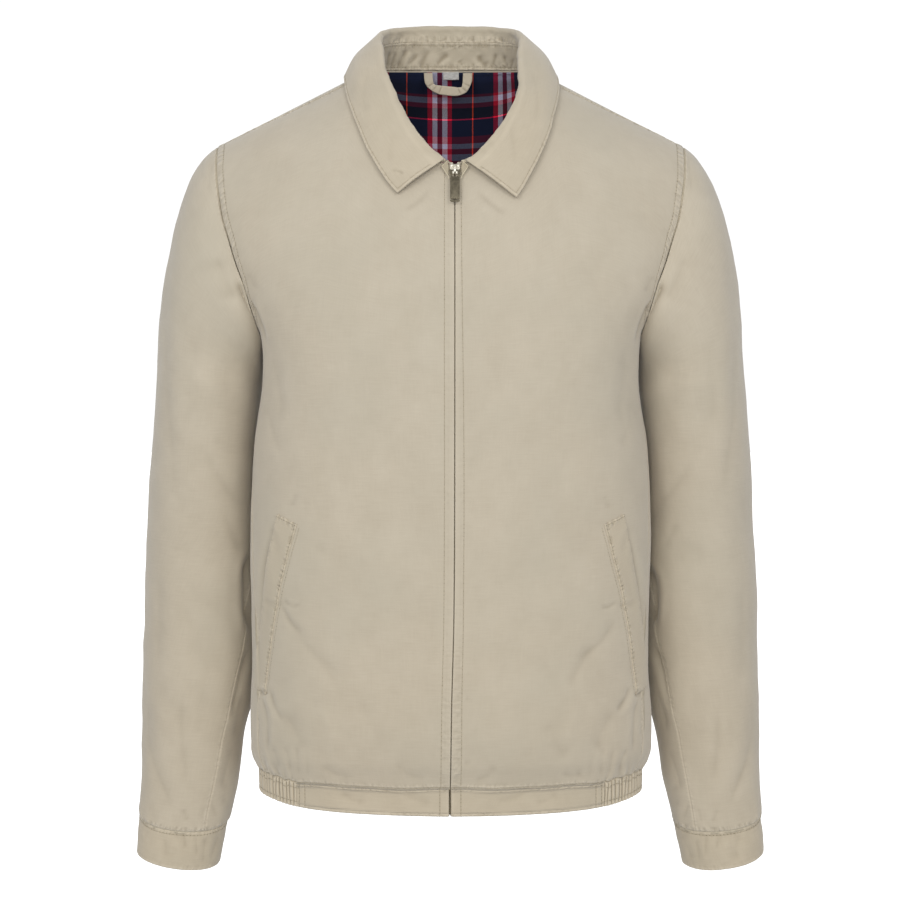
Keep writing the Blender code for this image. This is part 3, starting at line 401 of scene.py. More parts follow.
def ring(table, z, parts):
    angle = 2 * np.pi * np.asarray(parts, float)
    c, s = raised(np.cos(angle), 2 / 2.15), raised(np.sin(angle), 2 / 2.15)
    x = table("middle_x", z) + table("half_x", z) * c
    y = table("middle_y", z) - table("half_y", z) * s
    return np.stack([x, y, z - table("drop_front", z) * s - table("drop_out", z) * c], -1)


def sleeve_surface(parts, vs):
    """vs runs from 0 at the armhole to 1 at the cuff seam."""
    parts, vs = np.asarray(parts, float), np.asarray(vs, float)
    start, end = armhole_loop(parts), ring(SLEEVE, CAP_END, parts)
    leave, arrive = around(CAP_LEAVE, parts), around(CAP_ARRIVE, parts)
    arrive = np.stack([arrive[:, 0], 0 * arrive[:, 0], arrive[:, 1]], -1)
    cap = []
    for s in np.linspace(0, 1, 240):
        cap.append(
            (1 + 2 * s) * (1 - s) ** 2 * start + s * (1 - s) ** 2 * leave + s * s * (3 - 2 * s) * end + s * s * (s - 1) * arrive
        )
    cap = np.array(cap)
    tube = np.array([ring(SLEEVE, z, parts) for z in np.linspace(CAP_END, SLEEVE.values[0, 0], 240)])
    grid = np.empty((len(vs), len(parts), 3))
    low = vs <= SLEEVE_SPLIT
    for j in range(len(parts)):
        grid[low, j] = along(cap[:, j], vs[low] / SLEEVE_SPLIT)
        grid[~low, j] = along(tube[:, j], (vs[~low] - SLEEVE_SPLIT) / (1 - SLEEVE_SPLIT))
    return grid


# ---------------------------------------------------------------- collar
# Lines round half the collar, from the middle of the back to the front end: the roll, the outer edge and the seam
# between stand and fall.
ROLL = Table(
    "t x y z",
    (0.00, 0.0000, 0.0775, 0.0600),
    (0.15, 0.0335, 0.0705, 0.0590),
    (0.30, 0.0580, 0.0470, 0.0535),
    (0.42, 0.0650, 0.0170, 0.0440),
    (0.52, 0.0628, -0.0110, 0.0270),
    (0.62, 0.0590, -0.0370, 0.0055),
    (0.72, 0.0498, -0.0595, -0.0170),
    (0.82, 0.0375, -0.0785, -0.0430),
    (0.92, 0.0200, -0.0935, -0.0645),
    (1.00, 0.0050, -0.0990, -0.0750),
)
EDGE = Table(
    "t x y z",
    (0.00, 0.0000, 0.0990, 0.0090),
    (0.15, 0.0450, 0.0925, 0.0085),
    (0.30, 0.0830, 0.0640, 0.0085),
    (0.42, 0.0995, 0.0300, 0.0060),
    (0.52, 0.1010, -0.0040, 0.0010),
    (0.62, 0.0980, -0.0320, -0.0150),
    (0.72, 0.0905, -0.0590, -0.0370),
    (0.82, 0.0790, -0.0815, -0.0660),
    (0.92, 0.0660, -0.0960, -0.0905),
    (1.00, 0.0515, -0.1055, -0.1090),
)
STAND_TOP = Table(
    "t x y z",
    (0.00, 0.0000, 0.0740, 0.0440),
    (0.15, 0.0345, 0.0672, 0.0435),
    (0.30, 0.0600, 0.0445, 0.0390),
    (0.42, 0.0690, 0.0145, 0.0305),
    (0.52, 0.0690, -0.0130, 0.0165),
    (0.62, 0.0655, -0.0365, -0.0030),
    (0.72, 0.0565, -0.0580, -0.0240),
    (0.82, 0.0430, -0.0760, -0.0480),
    (0.92, 0.0240, -0.0895, -0.0680),
    (1.00, 0.0070, -0.0945, -0.0765),
)
# How far the front ends stand from those rows, outward and up. The wearer's left half lies wider open than the right.
FRONT_END_LEFT = Table(
    "t roll_x roll_y roll_z edge_x edge_z",
    (0.42, 0.0000, 0.0000, 0.0000, 0.0000, 0.0000),
    (0.52, 0.0000, 0.0000, 0.0000, 0.0010, 0.0000),
    (0.62, 0.0032, -0.0004, 0.0000, 0.0034, 0.0000),
    (0.72, 0.0113, -0.0016, 0.0000, 0.0052, 0.0000),
    (0.77, 0.0116, -0.0020, 0.0000, 0.0071, 0.0000),
    (0.82, 0.0108, -0.0020, 0.0000, 0.0073, -0.0002),
    (0.88, 0.0106, -0.0018, -0.0007, 0.0073, -0.0009),
    (0.92, 0.0109, -0.0014, -0.0018, 0.0074, -0.0023),
    (0.96, 0.0107, -0.0008, -0.0034, 0.0080, -0.0044),
    (1.00, 0.0090, 0.0000, -0.0054, 0.0086, -0.0060),
)
FRONT_END_RIGHT = Table(
    "t roll_x roll_y roll_z edge_x edge_z",
    (0.42, 0.0000, 0.0000, 0.0000, 0.0000, 0.0000),
    (0.82, 0.0000, 0.0000, -0.0003, -0.0008, 0.0000),
    (0.88, 0.0000, 0.0000, -0.0014, -0.0019, 0.0000),
    (0.92, 0.0000, 0.0000, -0.0022, -0.0019, -0.0002),
    (0.96, 0.0002, 0.0000, -0.0031, -0.0016, -0.0009),
    (1.00, 0.0006, 0.0000, -0.0048, -0.0030, -0.0019),
)
STAND_SHARE = 0.7  # of the roll's shift, taken by the seam below it
# The neckline's own part for each t: its back half by distance from the middle, its front half by the neckline table.
NECK_BACK_END = 0.47
COLLAR_CLEAR = 0.0016


def neckline(t, side=1):
    """The seam that the stand rises from, for t from the middle of the back to the front end."""
    top = back_top()
    behind = top[: 80 + 29, :3]
    ahead = front_top(side * float(ZIP_LINE("x", -0.08)) + ZIP_GAP / 2)[:80, :3][::-1]
    t = np.asarray(t, float)
    part = np.clip(t / NECK_BACK_END, 0, 1) ** 0.97
    first = along(behind, part)
    second = along(ahead, np.clip((t - NECK_BACK_END) / (1 - NECK_BACK_END), 0, 1))
    return np.where((t <= NECK_BACK_END)[:, None], first, second)


def unit(v):
    return v / np.maximum(np.linalg.norm(v, axis=-1, keepdims=True), 1e-12)


def collar_lines(t):
    """Signed t: the wearer's left half from 0 to 1, the right half from 0 to -1."""
    t = np.asarray(t, float)
    flip = np.where(t < 0, -1.0, 1.0)[:, None] * np.array([1.0, 0, 0]) + np.array([0, 1.0, 1.0])
    a = np.abs(t)
    seam = np.where((t < 0)[:, None], neckline(a, -1), neckline(a, 1))

    def moved(*names):
        columns = [np.where(t < 0, FRONT_END_RIGHT(n, a), FRONT_END_LEFT(n, a)) if n else 0 * a for n in names]
        return np.stack(columns, -1)

    roll, edge = moved("roll_x", "roll_y", "roll_z"), moved("edge_x", "", "edge_z")
    lines = [seam, STAND_TOP.path("x y z", a) + roll * STAND_SHARE, ROLL.path("x y z", a) + roll, EDGE.path("x y z", a) + edge]
    return [line * flip for line in lines]


def stand_surface(ts, ss):
    base, top, _, _ = collar_lines(ts)
    rise = unit(top - base)
    low, high = base + rise * COLLAR_CLEAR, top - rise * SEAM_GAP * 3
    return np.array([low + (high - low) * s for s in ss])


def fall_surface(ts, ss):
    """ss runs from the stand seam, up the inner side, over the roll and down to the outer edge."""
    ts = np.asarray(ts, float)
    _, seam, roll, edge = collar_lines(ts)
    step = 0.004
    ahead, behind = collar_lines(np.clip(ts + step, -1, 1))[2], collar_lines(np.clip(ts - step, -1, 1))[2]
    run = unit(ahead - behind)
    down = edge - roll
    down = unit(down - run * (down * run).sum(-1, keepdims=True))
    out = unit(np.cross(run, down))
    out = out * np.sign((out * np.array([0, 0, 1.0]) + out * unit(edge * np.array([1, 1, 0]))).sum(-1, keepdims=True) + 1e-9)
    radius = (0.0038 - 0.0020 * np.abs(ts) ** 2)[:, None]
    core = roll + down * radius
    rise = unit(roll - seam)
    start = seam + rise * SEAM_GAP / 2
    bulge = (0.0065 - 0.0035 * np.abs(ts) ** 2)[:, None]
    across = edge - (core + out * radius)
    grid = []
    lines = [
        start,
        core - out * radius + down * 0.0,
        core - (down * 0.78 + out * 0.62) * radius,
        core - (down * 0.96 - out * 0.25) * radius,
        core + out * radius,
        core + out * (radius + bulge * 0.55) + across * 0.25,
        core + out * (radius + bulge) + across * 0.55,
        edge,
    ]
    keys = np.array([0, 0.20, 0.27, 0.31, 0.38, 0.54, 0.72, 1.0])
    for j in range(len(ts)):
        guide = Table("s x y z", *[(k, *line[j]) for k, line in zip(keys, lines)])
        dense = guide.path("x y z", np.linspace(0, 1, 160))
        grid.append(along(dense, ss))
    return np.array(grid).transpose(1, 0, 2)


def moved_out(grid, by):
    """The grid moved along its own normals; the sign that leaves the body's middle is out."""
    across, up = np.gradient(grid, axis=1), np.gradient(grid, axis=0)
    normal = unit(np.cross(across, up))
    centre = np.array([0, 0, -0.4])
    away = np.sign((normal * (grid - centre)).sum(-1).mean())
    return grid + normal * np.reshape(by, (*np.shape(by), 1) if np.ndim(by) else 1) * (away or 1.0)


def band_point(turn, part, slack=0.0):
    """part 0 at the seam, 1 at the edge; turn in degrees from the middle of the front."""
    z = HEM_SEAM("z", turn) - SEAM_GAP + (HEM_EDGE("z", turn) - HEM_SEAM("z", turn) + SEAM_GAP) * part
    point = body_section(np.minimum(z, -0.6525), np.radians(turn))
    point[..., 2] = z
    return point


WELT = Table(
    "z inner_x width",
    (-0.573, 0.1718, 0.0270),
    (-0.530, 0.1660, 0.0262),
    (-0.480, 0.1575, 0.0255),
    (-0.430, 0.1450, 0.0250),
    (-0.412, 0.1400, 0.0250),
)
WELT_TILT = 0.0085  # the ends slope: the outer end of each is higher
WELT_LIFT = 0.0006


def on_body(z, x, arc):
    """The turn at which the front is at x, then a length of arc further round."""
    turns = np.linspace(float(turn_at(x, z)), math.radians(110), 300)
    line = body_section(np.full_like(turns, z), turns)
    reach = np.concatenate([[0], np.cumsum(np.linalg.norm(np.diff(line, axis=0), axis=1))])
    return np.interp(arc, reach, turns)


def welt_surface(us, vs, lift):
    grid = np.empty((len(vs), len(us), 3))
    low, high = WELT.values[0, 0], WELT.values[-1, 0]
    for i, v in enumerate(vs):
        z = low + (high - low) * v
        for j, u in enumerate(us):
            level = z + WELT_TILT * u * (1 if v > 0.5 else 0.6)
            turn = on_body(level, float(WELT("inner_x", z)), u * float(WELT("width", z)))
            grid[i, j] = body_section(np.array(level), np.array(turn))
    return moved_out(grid, lift)


def front_line(z, x):
    """The outer surface of the fronts at a height and distance from the middle."""
    z = np.asarray(z, float)
    high = z > UNDERARM_Z
    low = body_section(np.minimum(z, UNDERARM_Z), turn_at(x, np.minimum(z, UNDERARM_Z)))[..., 1]
    above = upper_body(x, over_at(x, np.maximum(z, UNDERARM_Z)))[..., 1]
    return np.where(high, above, low)


LOOP = Table(
    "part x y z",
    (0.00, -0.0222, 0.0660, 0.0140),
    (0.18, -0.0215, 0.0655, 0.0030),
    (0.34, -0.0120, 0.0635, -0.0040),
    (0.50, 0.0010, 0.0625, -0.0055),
    (0.66, 0.0125, 0.0635, -0.0045),
    (0.82, 0.0178, 0.0655, 0.0030),
    (1.00, 0.0170, 0.0660, 0.0140),
)
LOOP_WIDTH = 0.0072


def loop_surface(parts, sides):
    middle = LOOP.path("x y z", parts)
    run = unit(np.gradient(middle, axis=0))
    side = unit(np.cross(run, np.array([0, -1.0, 0])))
    return np.array([middle + side * LOOP_WIDTH / 2 * s for s in sides])



# ---------------------------------------------------------------- camera
LENS, SENSOR, FRAME = 101.2, 36.0, 900
CAMERA = np.array([-0.0005, -2.4, -0.2340])
PITCH = math.radians(2.734)
AHEAD = np.array([0, math.cos(PITCH), -math.sin(PITCH)])
UP = np.array([0, math.sin(PITCH), math.cos(PITCH)])


def seen(points):
    """Where points fall in the camera's 900 x 900 frame."""
    ray = np.asarray(points, float) - CAMERA
    scale = LENS / SENSOR * FRAME / (ray @ AHEAD)
    return np.stack([FRAME / 2 + ray[..., 0] * scale, FRAME / 2 - (ray @ UP) * scale], -1)


def unseen(places, depth):
    """Points in space from places in the frame, for known y."""
    places, depth = np.asarray(places, float), np.asarray(depth, float)
    scale = LENS / SENSOR * FRAME
    rise, aside = (FRAME / 2 - places[..., 1]) / scale, (places[..., 0] - FRAME / 2) / scale
    dy = depth - CAMERA[1]
    dz = dy * (rise * AHEAD[1] - UP[1]) / (UP[2] - rise * AHEAD[2])
    far = dy * AHEAD[1] + dz * AHEAD[2]
    return np.stack([aside * far + CAMERA[0], dy + CAMERA[1], dz + CAMERA[2]], -1)


CREASE_GAIN = 1.35
MM_A_FRAME_STEP = 0.948  # millimetres to one step of the frame, at the jacket's middle plane

view_camera = bpy.data.cameras.new("camera")
view_camera.lens, view_camera.sensor_width = LENS, SENSOR
view_camera.clip_start, view_camera.clip_end = 0.05, 40
camera_object = bpy.data.objects.new("camera", view_camera)
camera_object.location = CAMERA
camera_object.rotation_euler = (math.pi / 2 - PITCH, 0, 0)
bpy.context.scene.collection.objects.link(camera_object)
bpy.context.scene.camera = camera_object


# ---------------------------------------------------------------- grids
def graded(count, start=0.0, end=0.0, reach=0.05, low=0.0, high=1.0, middle=None):
    """count parts from low to high, closer together at the ends by start and end, and near middle = (part, how much, reach)."""
    x = np.linspace(low, high, 4001)
    density = 1 + start * np.exp(-(x - low) / reach) + end * np.exp(-(high - x) / reach)
    if middle:
        density += middle[1] * np.exp(-(((x - middle[0]) / middle[2]) ** 2))
    reached = np.concatenate([[0], np.cumsum((density[1:] + density[:-1]) / 2)])
    return np.interp(np.linspace(0, reached[-1], count), reached, x)


def soft(x, low, high):
    """0 below low, 1 above high, smooth between."""
    t = np.clip((np.asarray(x, float) - low) / (high - low), 0, 1)
    return t * t * (3 - 2 * t)


def relaxed(grid, times, closed=False):
    """The grid with its small facets rounded away; its borders stay."""
    grid = grid.copy()
    for _ in range(times):
        grid[1:-1] = (grid[:-2] + 2 * grid[1:-1] + grid[2:]) / 4
        if closed:
            grid = (np.roll(grid, 1, 1) + 2 * grid + np.roll(grid, -1, 1)) / 4
        else:
            grid[:, 1:-1] = (grid[:, :-2] + 2 * grid[:, 1:-1] + grid[:, 2:]) / 4
    return grid


def relaxed_near(grid, rows_weight, times):
    """Rounded along the columns only, by a weight for each row."""
    grid = grid.copy()
    weight = rows_weight[1:-1, None, None]
    for _ in range(times):
        grid[1:-1] += weight * ((grid[:-2] + grid[2:]) / 2 - grid[1:-1]) * 0.5
    return grid


def normals_of(grid, outward, closed=False):
    if closed:
        wide = np.concatenate([grid[:, -1:], grid, grid[:, :1]], 1)
        across = (wide[:, 2:] - wide[:, :-2]) / 2
    else:
        across = np.gradient(grid, axis=1)
    normal = unit(np.cross(across, np.gradient(grid, axis=0)))
    i, j = grid.shape[0] // 2, grid.shape[1] // 2
    gap = np.linalg.norm(grid - np.asarray(outward, float), axis=-1)
    i, j = np.unravel_index(np.argmin(gap), gap.shape)
    return normal if normal[i, j] @ (np.asarray(outward, float) - grid[i, j]) > 0 else -normal


def run_along(grid, axis, closed=False):
    """Distance run along an axis of the grid, from its start."""
    steps = np.linalg.norm(np.diff(grid, axis=axis), axis=-1)
    if axis == 0:
        return np.concatenate([np.zeros((1, grid.shape[1])), np.cumsum(steps, 0)], 0)
    return np.concatenate([np.zeros((grid.shape[0], 1)), np.cumsum(steps, 1)], 1)


def waves(points, size, seed, count=14):
    """Smooth uneven swelling with a typical width of size, about -1 to 1."""
    rng = np.random.default_rng(seed)
    total = np.zeros(points.shape[:-1])
    for _ in range(count):
        direction = rng.normal(size=3)
        direction *= 2 * math.pi / (size * rng.uniform(0.75, 1.6)) / np.linalg.norm(direction)
        total += np.sin(points @ direction + rng.uniform(0, 2 * math.pi))
    return total / math.sqrt(count) / 1.2


class Panel:
    """A piece of cloth: the surface it lies on, and how far each point stands off it."""

    def __init__(self, grid, outward, closed=False):
        self.base, self.closed, self.outward = grid, closed, outward
        self.normal = normals_of(grid, outward, closed)
        self.move = np.zeros(grid.shape[:2])  # broad shape, which both faces of the cloth follow
        self.fine = np.zeros(grid.shape[:2])  # seams and puckers of the outer face
        # paler for rubbed edges and painted highlight, darker for painted shade and painted shadow
        self.wear = np.zeros(grid.shape[:2])
        self.upright = np.zeros(grid.shape[:2])  # sewn seams that run up and down, and those that run level
        self.level = np.zeros(grid.shape[:2])
        self.frame = seen(grid)
        self.flat = grid[..., [0, 2]] * 1000
        self.shows = soft(-self.normal[..., 1], 0.0, 0.35)
        self.across = run_along(grid, 1)
        self.from_end = self.across[:, -1:] - self.across
        self.up = run_along(grid, 0)
        self.from_top = self.up[-1:] - self.up

    def crease(self, depth, width, bias, *points, back=False, ends=0.28, where=None):
        """A soft trough (depth below 0) or ridge along a given line, with a lesser one of the other sign beside it.
        depth and width in millimetres; bias from -1 to 1 says on which side, and how strongly."""
        points = np.array(points, float)
        keys = np.concatenate([[0], np.cumsum(np.linalg.norm(np.diff(points, axis=0), axis=1))])
        guide = Table("s x y", *np.column_stack([keys / keys[-1], points]))
        line = guide.path("x y", np.linspace(0, 1, 36)) if len(points) > 2 else points[0] + (points[1] - points[0]) * np.linspace(0, 1, 36)[:, None]
        place = self.flat if back else self.frame
        unit_mm = 1.0 if back else MM_A_FRAME_STEP
        best, at, sign = np.full(place.shape[:2], 1e9), np.zeros(place.shape[:2]), np.ones(place.shape[:2])
        margin = width * 4 / unit_mm
        near = (
            (place[..., 0] > line[:, 0].min() - margin)
            & (place[..., 0] < line[:, 0].max() + margin)
            & (place[..., 1] > line[:, 1].min() - margin)
            & (place[..., 1] < line[:, 1].max() + margin)
        )
        spots = place[near]
        if not len(spots):
            return self
        b, a, s = best[near], at[near], sign[near]
        for k in range(len(line) - 1):
            step = line[k + 1] - line[k]
            t = np.clip(((spots - line[k]) @ step) / (step @ step), 0, 1)
            away = spots - line[k] - t[:, None] * step
            gap = np.hypot(away[:, 0], away[:, 1])
            closer = gap < b
            b[closer] = gap[closer]
            a[closer] = (k + t[closer]) / (len(line) - 1)
            s[closer] = np.sign(away[closer, 0] * step[1] - away[closer, 1] * step[0] + 1e-12)
        d = b * unit_mm / width
        tip = soft(a, 0, ends) * soft(1 - a, 0, ends)
        uneven = 1 + 0.18 * np.sin(9.0 * a + points[0, 0])
        shape = np.exp(-(d**1.45))
        if bias:
            shape = shape - 0.5 * abs(bias) * np.exp(-(((d * s * np.sign(bias) - 1.7) / 1.05) ** 2)) * (d < 4.5)
        amount = depth * CREASE_GAIN / 1000 * shape * tip * uneven
        if back:
            amount = amount * soft(self.normal[near][:, 1], 0.0, 0.35)
        else:
            amount = amount * self.shows[near]
        if where is not None:
            amount = amount * where[near]
        self.move[near] += amount
        return self

    def creases(self, rows, back=False, where=None):
        for depth, width, bias, *points in rows:
            self.crease(depth, width, bias, *points, back=back, where=where)
        return self

    def ripple(self, amount, size, seed, where=1.0):
        self.move += amount / 1000 * waves(self.base, size / 1000, seed) * where
        return self

    def puckers(self, run, away, pitch, depth, reach, seed, where=1.0, one_sided=True, skew=0.4):
        """Short ridges across a seam, uneven in place, height and length. run and away are metres along and off the seam."""
        rng = np.random.default_rng(seed)
        pitch, depth, reach = pitch / 1000, depth / 1000, reach / 1000
        start, end = float(np.min(run)), float(np.max(run))
        made = np.zeros(np.broadcast(run, away).shape)
        spot = start
        while spot < end:
            width = pitch * rng.uniform(0.24, 0.36)
            lean = rng.normal(0, skew)
            height, long = depth * rng.uniform(0.45, 1.25), reach * rng.uniform(0.6, 1.3)
            made += height * np.exp(-(((run - spot - lean * away) / width) ** 2)) * np.exp(-((away / long) ** 2))
            spot += pitch * rng.uniform(0.65, 1.4)
        if not one_sided:
            made -= made.mean()
        self.fine += made * where
        return self

    def crossed(self, run, away, low, high, pitch, depth, slant, seed, where=1.0, spread=0.25):
        """Short ridges that run slantwise from low to high off an edge, in millimetres, and die out at both."""
        rng = np.random.default_rng(seed)
        pitch = pitch / 1000
        start, end = float(np.min(run)), float(np.max(run))
        made = np.zeros(np.broadcast(run, away).shape)
        spot = start
        while spot < end:
            width, lean = pitch * rng.uniform(0.20, 0.34), slant + rng.normal(0, spread)
            first, last = rng.uniform(-0.15, 0.25), rng.uniform(0.75, 1.15)
            part = (away * 1000 - low) / (high - low)
            window = soft(part, first - 0.25, first + 0.15) * (1 - soft(part, last - 0.25, last + 0.15))
            made += rng.uniform(0.4, 1.25) * depth / 1000 * np.exp(-(((run - spot - lean * away) / width) ** 2)) * window
            spot += pitch * rng.uniform(0.6, 1.5)
        self.fine += made * where
        return self

    def sewn(self, away, low, high, share=1.0, where=1.0, level=False, fade=0.9):
        """Cloth gathered up by stitching, from low to high millimetres off an edge: the mask for the material's pucker
        bump and its painted highlight and painted shade.
        """
        d = away * 1000
        mask = soft(d, low - fade, low + fade) * (1 - soft(d, high - fade, high + fade)) * share * where
        if level:
            self.level = np.maximum(self.level, mask)
        else:
            self.upright = np.maximum(self.upright, mask)
        return self

    def groove(self, away, at, width, depth, where=1.0):
        self.fine -= depth / 1000 * np.exp(-(((away * 1000 - at) / width) ** 2)) * where
        return self

    def rolled(self, away, width, drop, where=1.0):
        """The edge turns under over its last width, down by drop."""
        t = np.clip(1 - away * 1000 / width, 0, 1)
        self.fine -= drop / 1000 * (1 - np.sqrt(np.maximum(1 - t**2, 0))) * where
        self.wear += 0.6 * np.exp(-(((away * 1000 - width * 0.9) / (width * 0.7)) ** 2)) * where
        return self

    def raised_band(self, away, width, height, where=1.0):
        self.fine += height / 1000 * (1 - soft(away * 1000, width - 0.8, width + 0.8)) * where
        return self

    def pinned(self, away, reach=3.2, least=0.0):
        """Next to a seam the cloth is held: its broad shape starts only some way off."""
        self.move *= least + (1 - least) * soft(away * 1000, 0.0, reach)
        return self

    def shaded(self, gain=1.0, where=1.0):
        """Painted highlight on ridges and painted shade in hollows: tone from how far each point stands over its
        neighbours.
        """
        d = (self.move + self.fine) * 1000
        face = self.surface()
        tone = np.zeros(d.shape)
        for step, share in ((1, 0.8), (2, 1.0), (4, 1.0), (8, 0.7)):
            for axis in (0, 1):
                if axis == 1 and self.closed:
                    before, after = np.roll(d, step, 1), np.roll(d, -step, 1)
                    span = np.linalg.norm(np.roll(face, step, 1) - np.roll(face, -step, 1), axis=-1) * 500
                else:
                    count = d.shape[axis]
                    low, high = np.clip(np.arange(count) - step, 0, count - 1), np.clip(np.arange(count) + step, 0, count - 1)
                    reach = np.minimum(np.arange(count) - low, high - np.arange(count))
                    low, high = np.arange(count) - reach, np.arange(count) + reach
                    before, after = np.take(d, low, axis), np.take(d, high, axis)
                    span = np.linalg.norm(np.take(face, low, axis) - np.take(face, high, axis), axis=-1) * 500
                tone += share * (d - (before + after) / 2) / np.maximum(span, 0.35)
        self.wear += gain * np.clip(tone * 0.55, -0.85, 0.55) * where
        return self

    def surface(self):
        return self.base + self.normal * (self.move + self.fine)[..., None]

    def line(self, away, value, by_row=True, face=None):
        """The line at a distance off an edge, on the surface: rows of point and normal."""
        face = self.surface() if face is None else face
        normal = normals_of(face, self.outward, self.closed)
        count = face.shape[0] if by_row else face.shape[1]
        value = np.broadcast_to(np.asarray(value, float), (count,))
        out = []
        for k in range(count):
            d = away[k] if by_row else away[:, k]
            p = face[k] if by_row else face[:, k]
            n = normal[k] if by_row else normal[:, k]
            order = np.argsort(d)
            out.append([np.interp(value[k], d[order], v[order, c]) for v in (p, n) for c in range(3)])
        return np.array(out)


def wall(name, panel, thick, material, body="jacket", inner_follows=1.0, smooth_inner=True):
    """The cloth as one closed wall: a fine outer face, a coarser inner face and a rim."""
    outer = panel.surface()
    rows, columns = outer.shape[:2]
    inner_full = panel.base + panel.normal * (panel.move * inner_follows + np.minimum(panel.fine, 0) * 0.5 - thick)[..., None]
    border_out = outer - panel.normal * thick
    inner_full[0], inner_full[-1] = border_out[0], border_out[-1]
    if not panel.closed:
        inner_full[:, 0], inner_full[:, -1] = border_out[:, 0], border_out[:, -1]
    inner = inner_full[::2, ::2]
    r2, c2 = inner.shape[:2]
    verts = np.concatenate([outer.reshape(-1, 3), inner.reshape(-1, 3)])
    o = np.arange(rows * columns).reshape(rows, columns)
    n = (np.arange(r2 * c2) + rows * columns).reshape(r2, c2)
    if panel.closed:
        o, n = np.concatenate([o, o[:, :1]], 1), np.concatenate([n, n[:, :1]], 1)
        wide = np.concatenate([outer, outer[:, :1]], 1)
    else:
        wide = outer
    u, v = run_along(wide, 1), run_along(wide, 0)
    u, v = u - u[:, u.shape[1] // 2 : u.shape[1] // 2 + 1], np.repeat(v.mean(1, keepdims=True), v.shape[1], 1)
    uv_outer = np.stack([u, v], -1)
    uv_inner = uv_outer[::2, ::2]
    key = {}
    quads = np.stack([o[:-1, :-1], o[:-1, 1:], o[1:, 1:], o[1:, :-1]], -1).reshape(-1, 4)
    quads_uv = np.stack([uv_outer[:-1, :-1], uv_outer[:-1, 1:], uv_outer[1:, 1:], uv_outer[1:, :-1]], -2).reshape(-1, 4, 2)
    back = np.stack([n[:-1, :-1], n[1:, :-1], n[1:, 1:], n[:-1, 1:]], -1).reshape(-1, 4)
    back_uv = np.stack([uv_inner[:-1, :-1], uv_inner[1:, :-1], uv_inner[1:, 1:], uv_inner[:-1, 1:]], -2).reshape(-1, 4, 2)

    def rim(border, border_uv, inside, inside_uv, forward):
        faces, uvs = [], []
        a, b, c = border[:-2:2], border[1:-1:2], border[2::2]
        ua, ub, uc = border_uv[:-2:2], border_uv[1:-1:2], border_uv[2::2]
        if forward:
            faces = np.stack([a, b, c, inside[1:], inside[:-1]], -1)
            uvs = np.stack([ua, ub, uc, inside_uv[1:], inside_uv[:-1]], -2)
        else:
            faces = np.stack([c, b, a, inside[:-1], inside[1:]], -1)
            uvs = np.stack([uc, ub, ua, inside_uv[:-1], inside_uv[1:]], -2)
        return faces, uvs

    rims = [rim(o[0], uv_outer[0], n[0], uv_inner[0], False), rim(o[-1], uv_outer[-1], n[-1], uv_inner[-1], True)]
    if not panel.closed:
        rims += [
            rim(o[:, 0], uv_outer[:, 0], n[:, 0], uv_inner[:, 0], True),
            rim(o[:, -1], uv_outer[:, -1], n[:, -1], uv_inner[:, -1], False),
        ]
    face_sets = [(quads, quads_uv), (back, back_uv)] + rims
    # the faces run the way the panel's normals point
    first = outer[rows // 2, columns // 2]
    a = outer[rows // 2, columns // 2 + 1] - first
    b = outer[rows // 2 + 1, columns // 2] - first
    if np.cross(a, b) @ panel.normal[rows // 2, columns // 2] < 0:
        face_sets = [(f[:, ::-1], w[:, ::-1]) for f, w in face_sets]
    faces = [list(map(int, f)) for group, _ in face_sets for f in group]
    uvs = np.concatenate([w.reshape(-1, 2) for _, w in face_sets])
    mesh = bpy.data.meshes.new(name)
    mesh.from_pydata(verts.tolist(), [], faces)
    layer = mesh.uv_layers.new(name="UVMap")
    layer.data.foreach_set("uv", uvs.astype(np.float32).ravel())
    # the per-point tone read by the cloth material: rubbed edges, painted highlight and painted shade
    wear = mesh.attributes.new("wear", "FLOAT", "POINT")
    tone_shift = np.concatenate([panel.wear.ravel(), panel.wear[::2, ::2].ravel()])
    wear.data.foreach_set("value", np.clip(tone_shift, -1, 1).astype(np.float32))
    for label, mask in (("seam_upright", panel.upright), ("seam_level", panel.level)):
        layer = mesh.attributes.new(label, "FLOAT", "POINT")
        layer.data.foreach_set("value", np.concatenate([mask.ravel(), mask[::2, ::2].ravel() * 0.3]).astype(np.float32))
    mesh.shade_smooth()
    return placed(name, mesh, material, body)


def placed(name, mesh, material, body="jacket"):
    piece = bpy.data.objects.new(name, mesh)
    bpy.context.scene.collection.objects.link(piece)
    mesh.materials.clear()
    mesh.materials.append(material)
    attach(piece, body)
    return piece


# ---------------------------------------------------------------- stitches
STITCH_ROWS, HOLE_ROWS = {}, {}


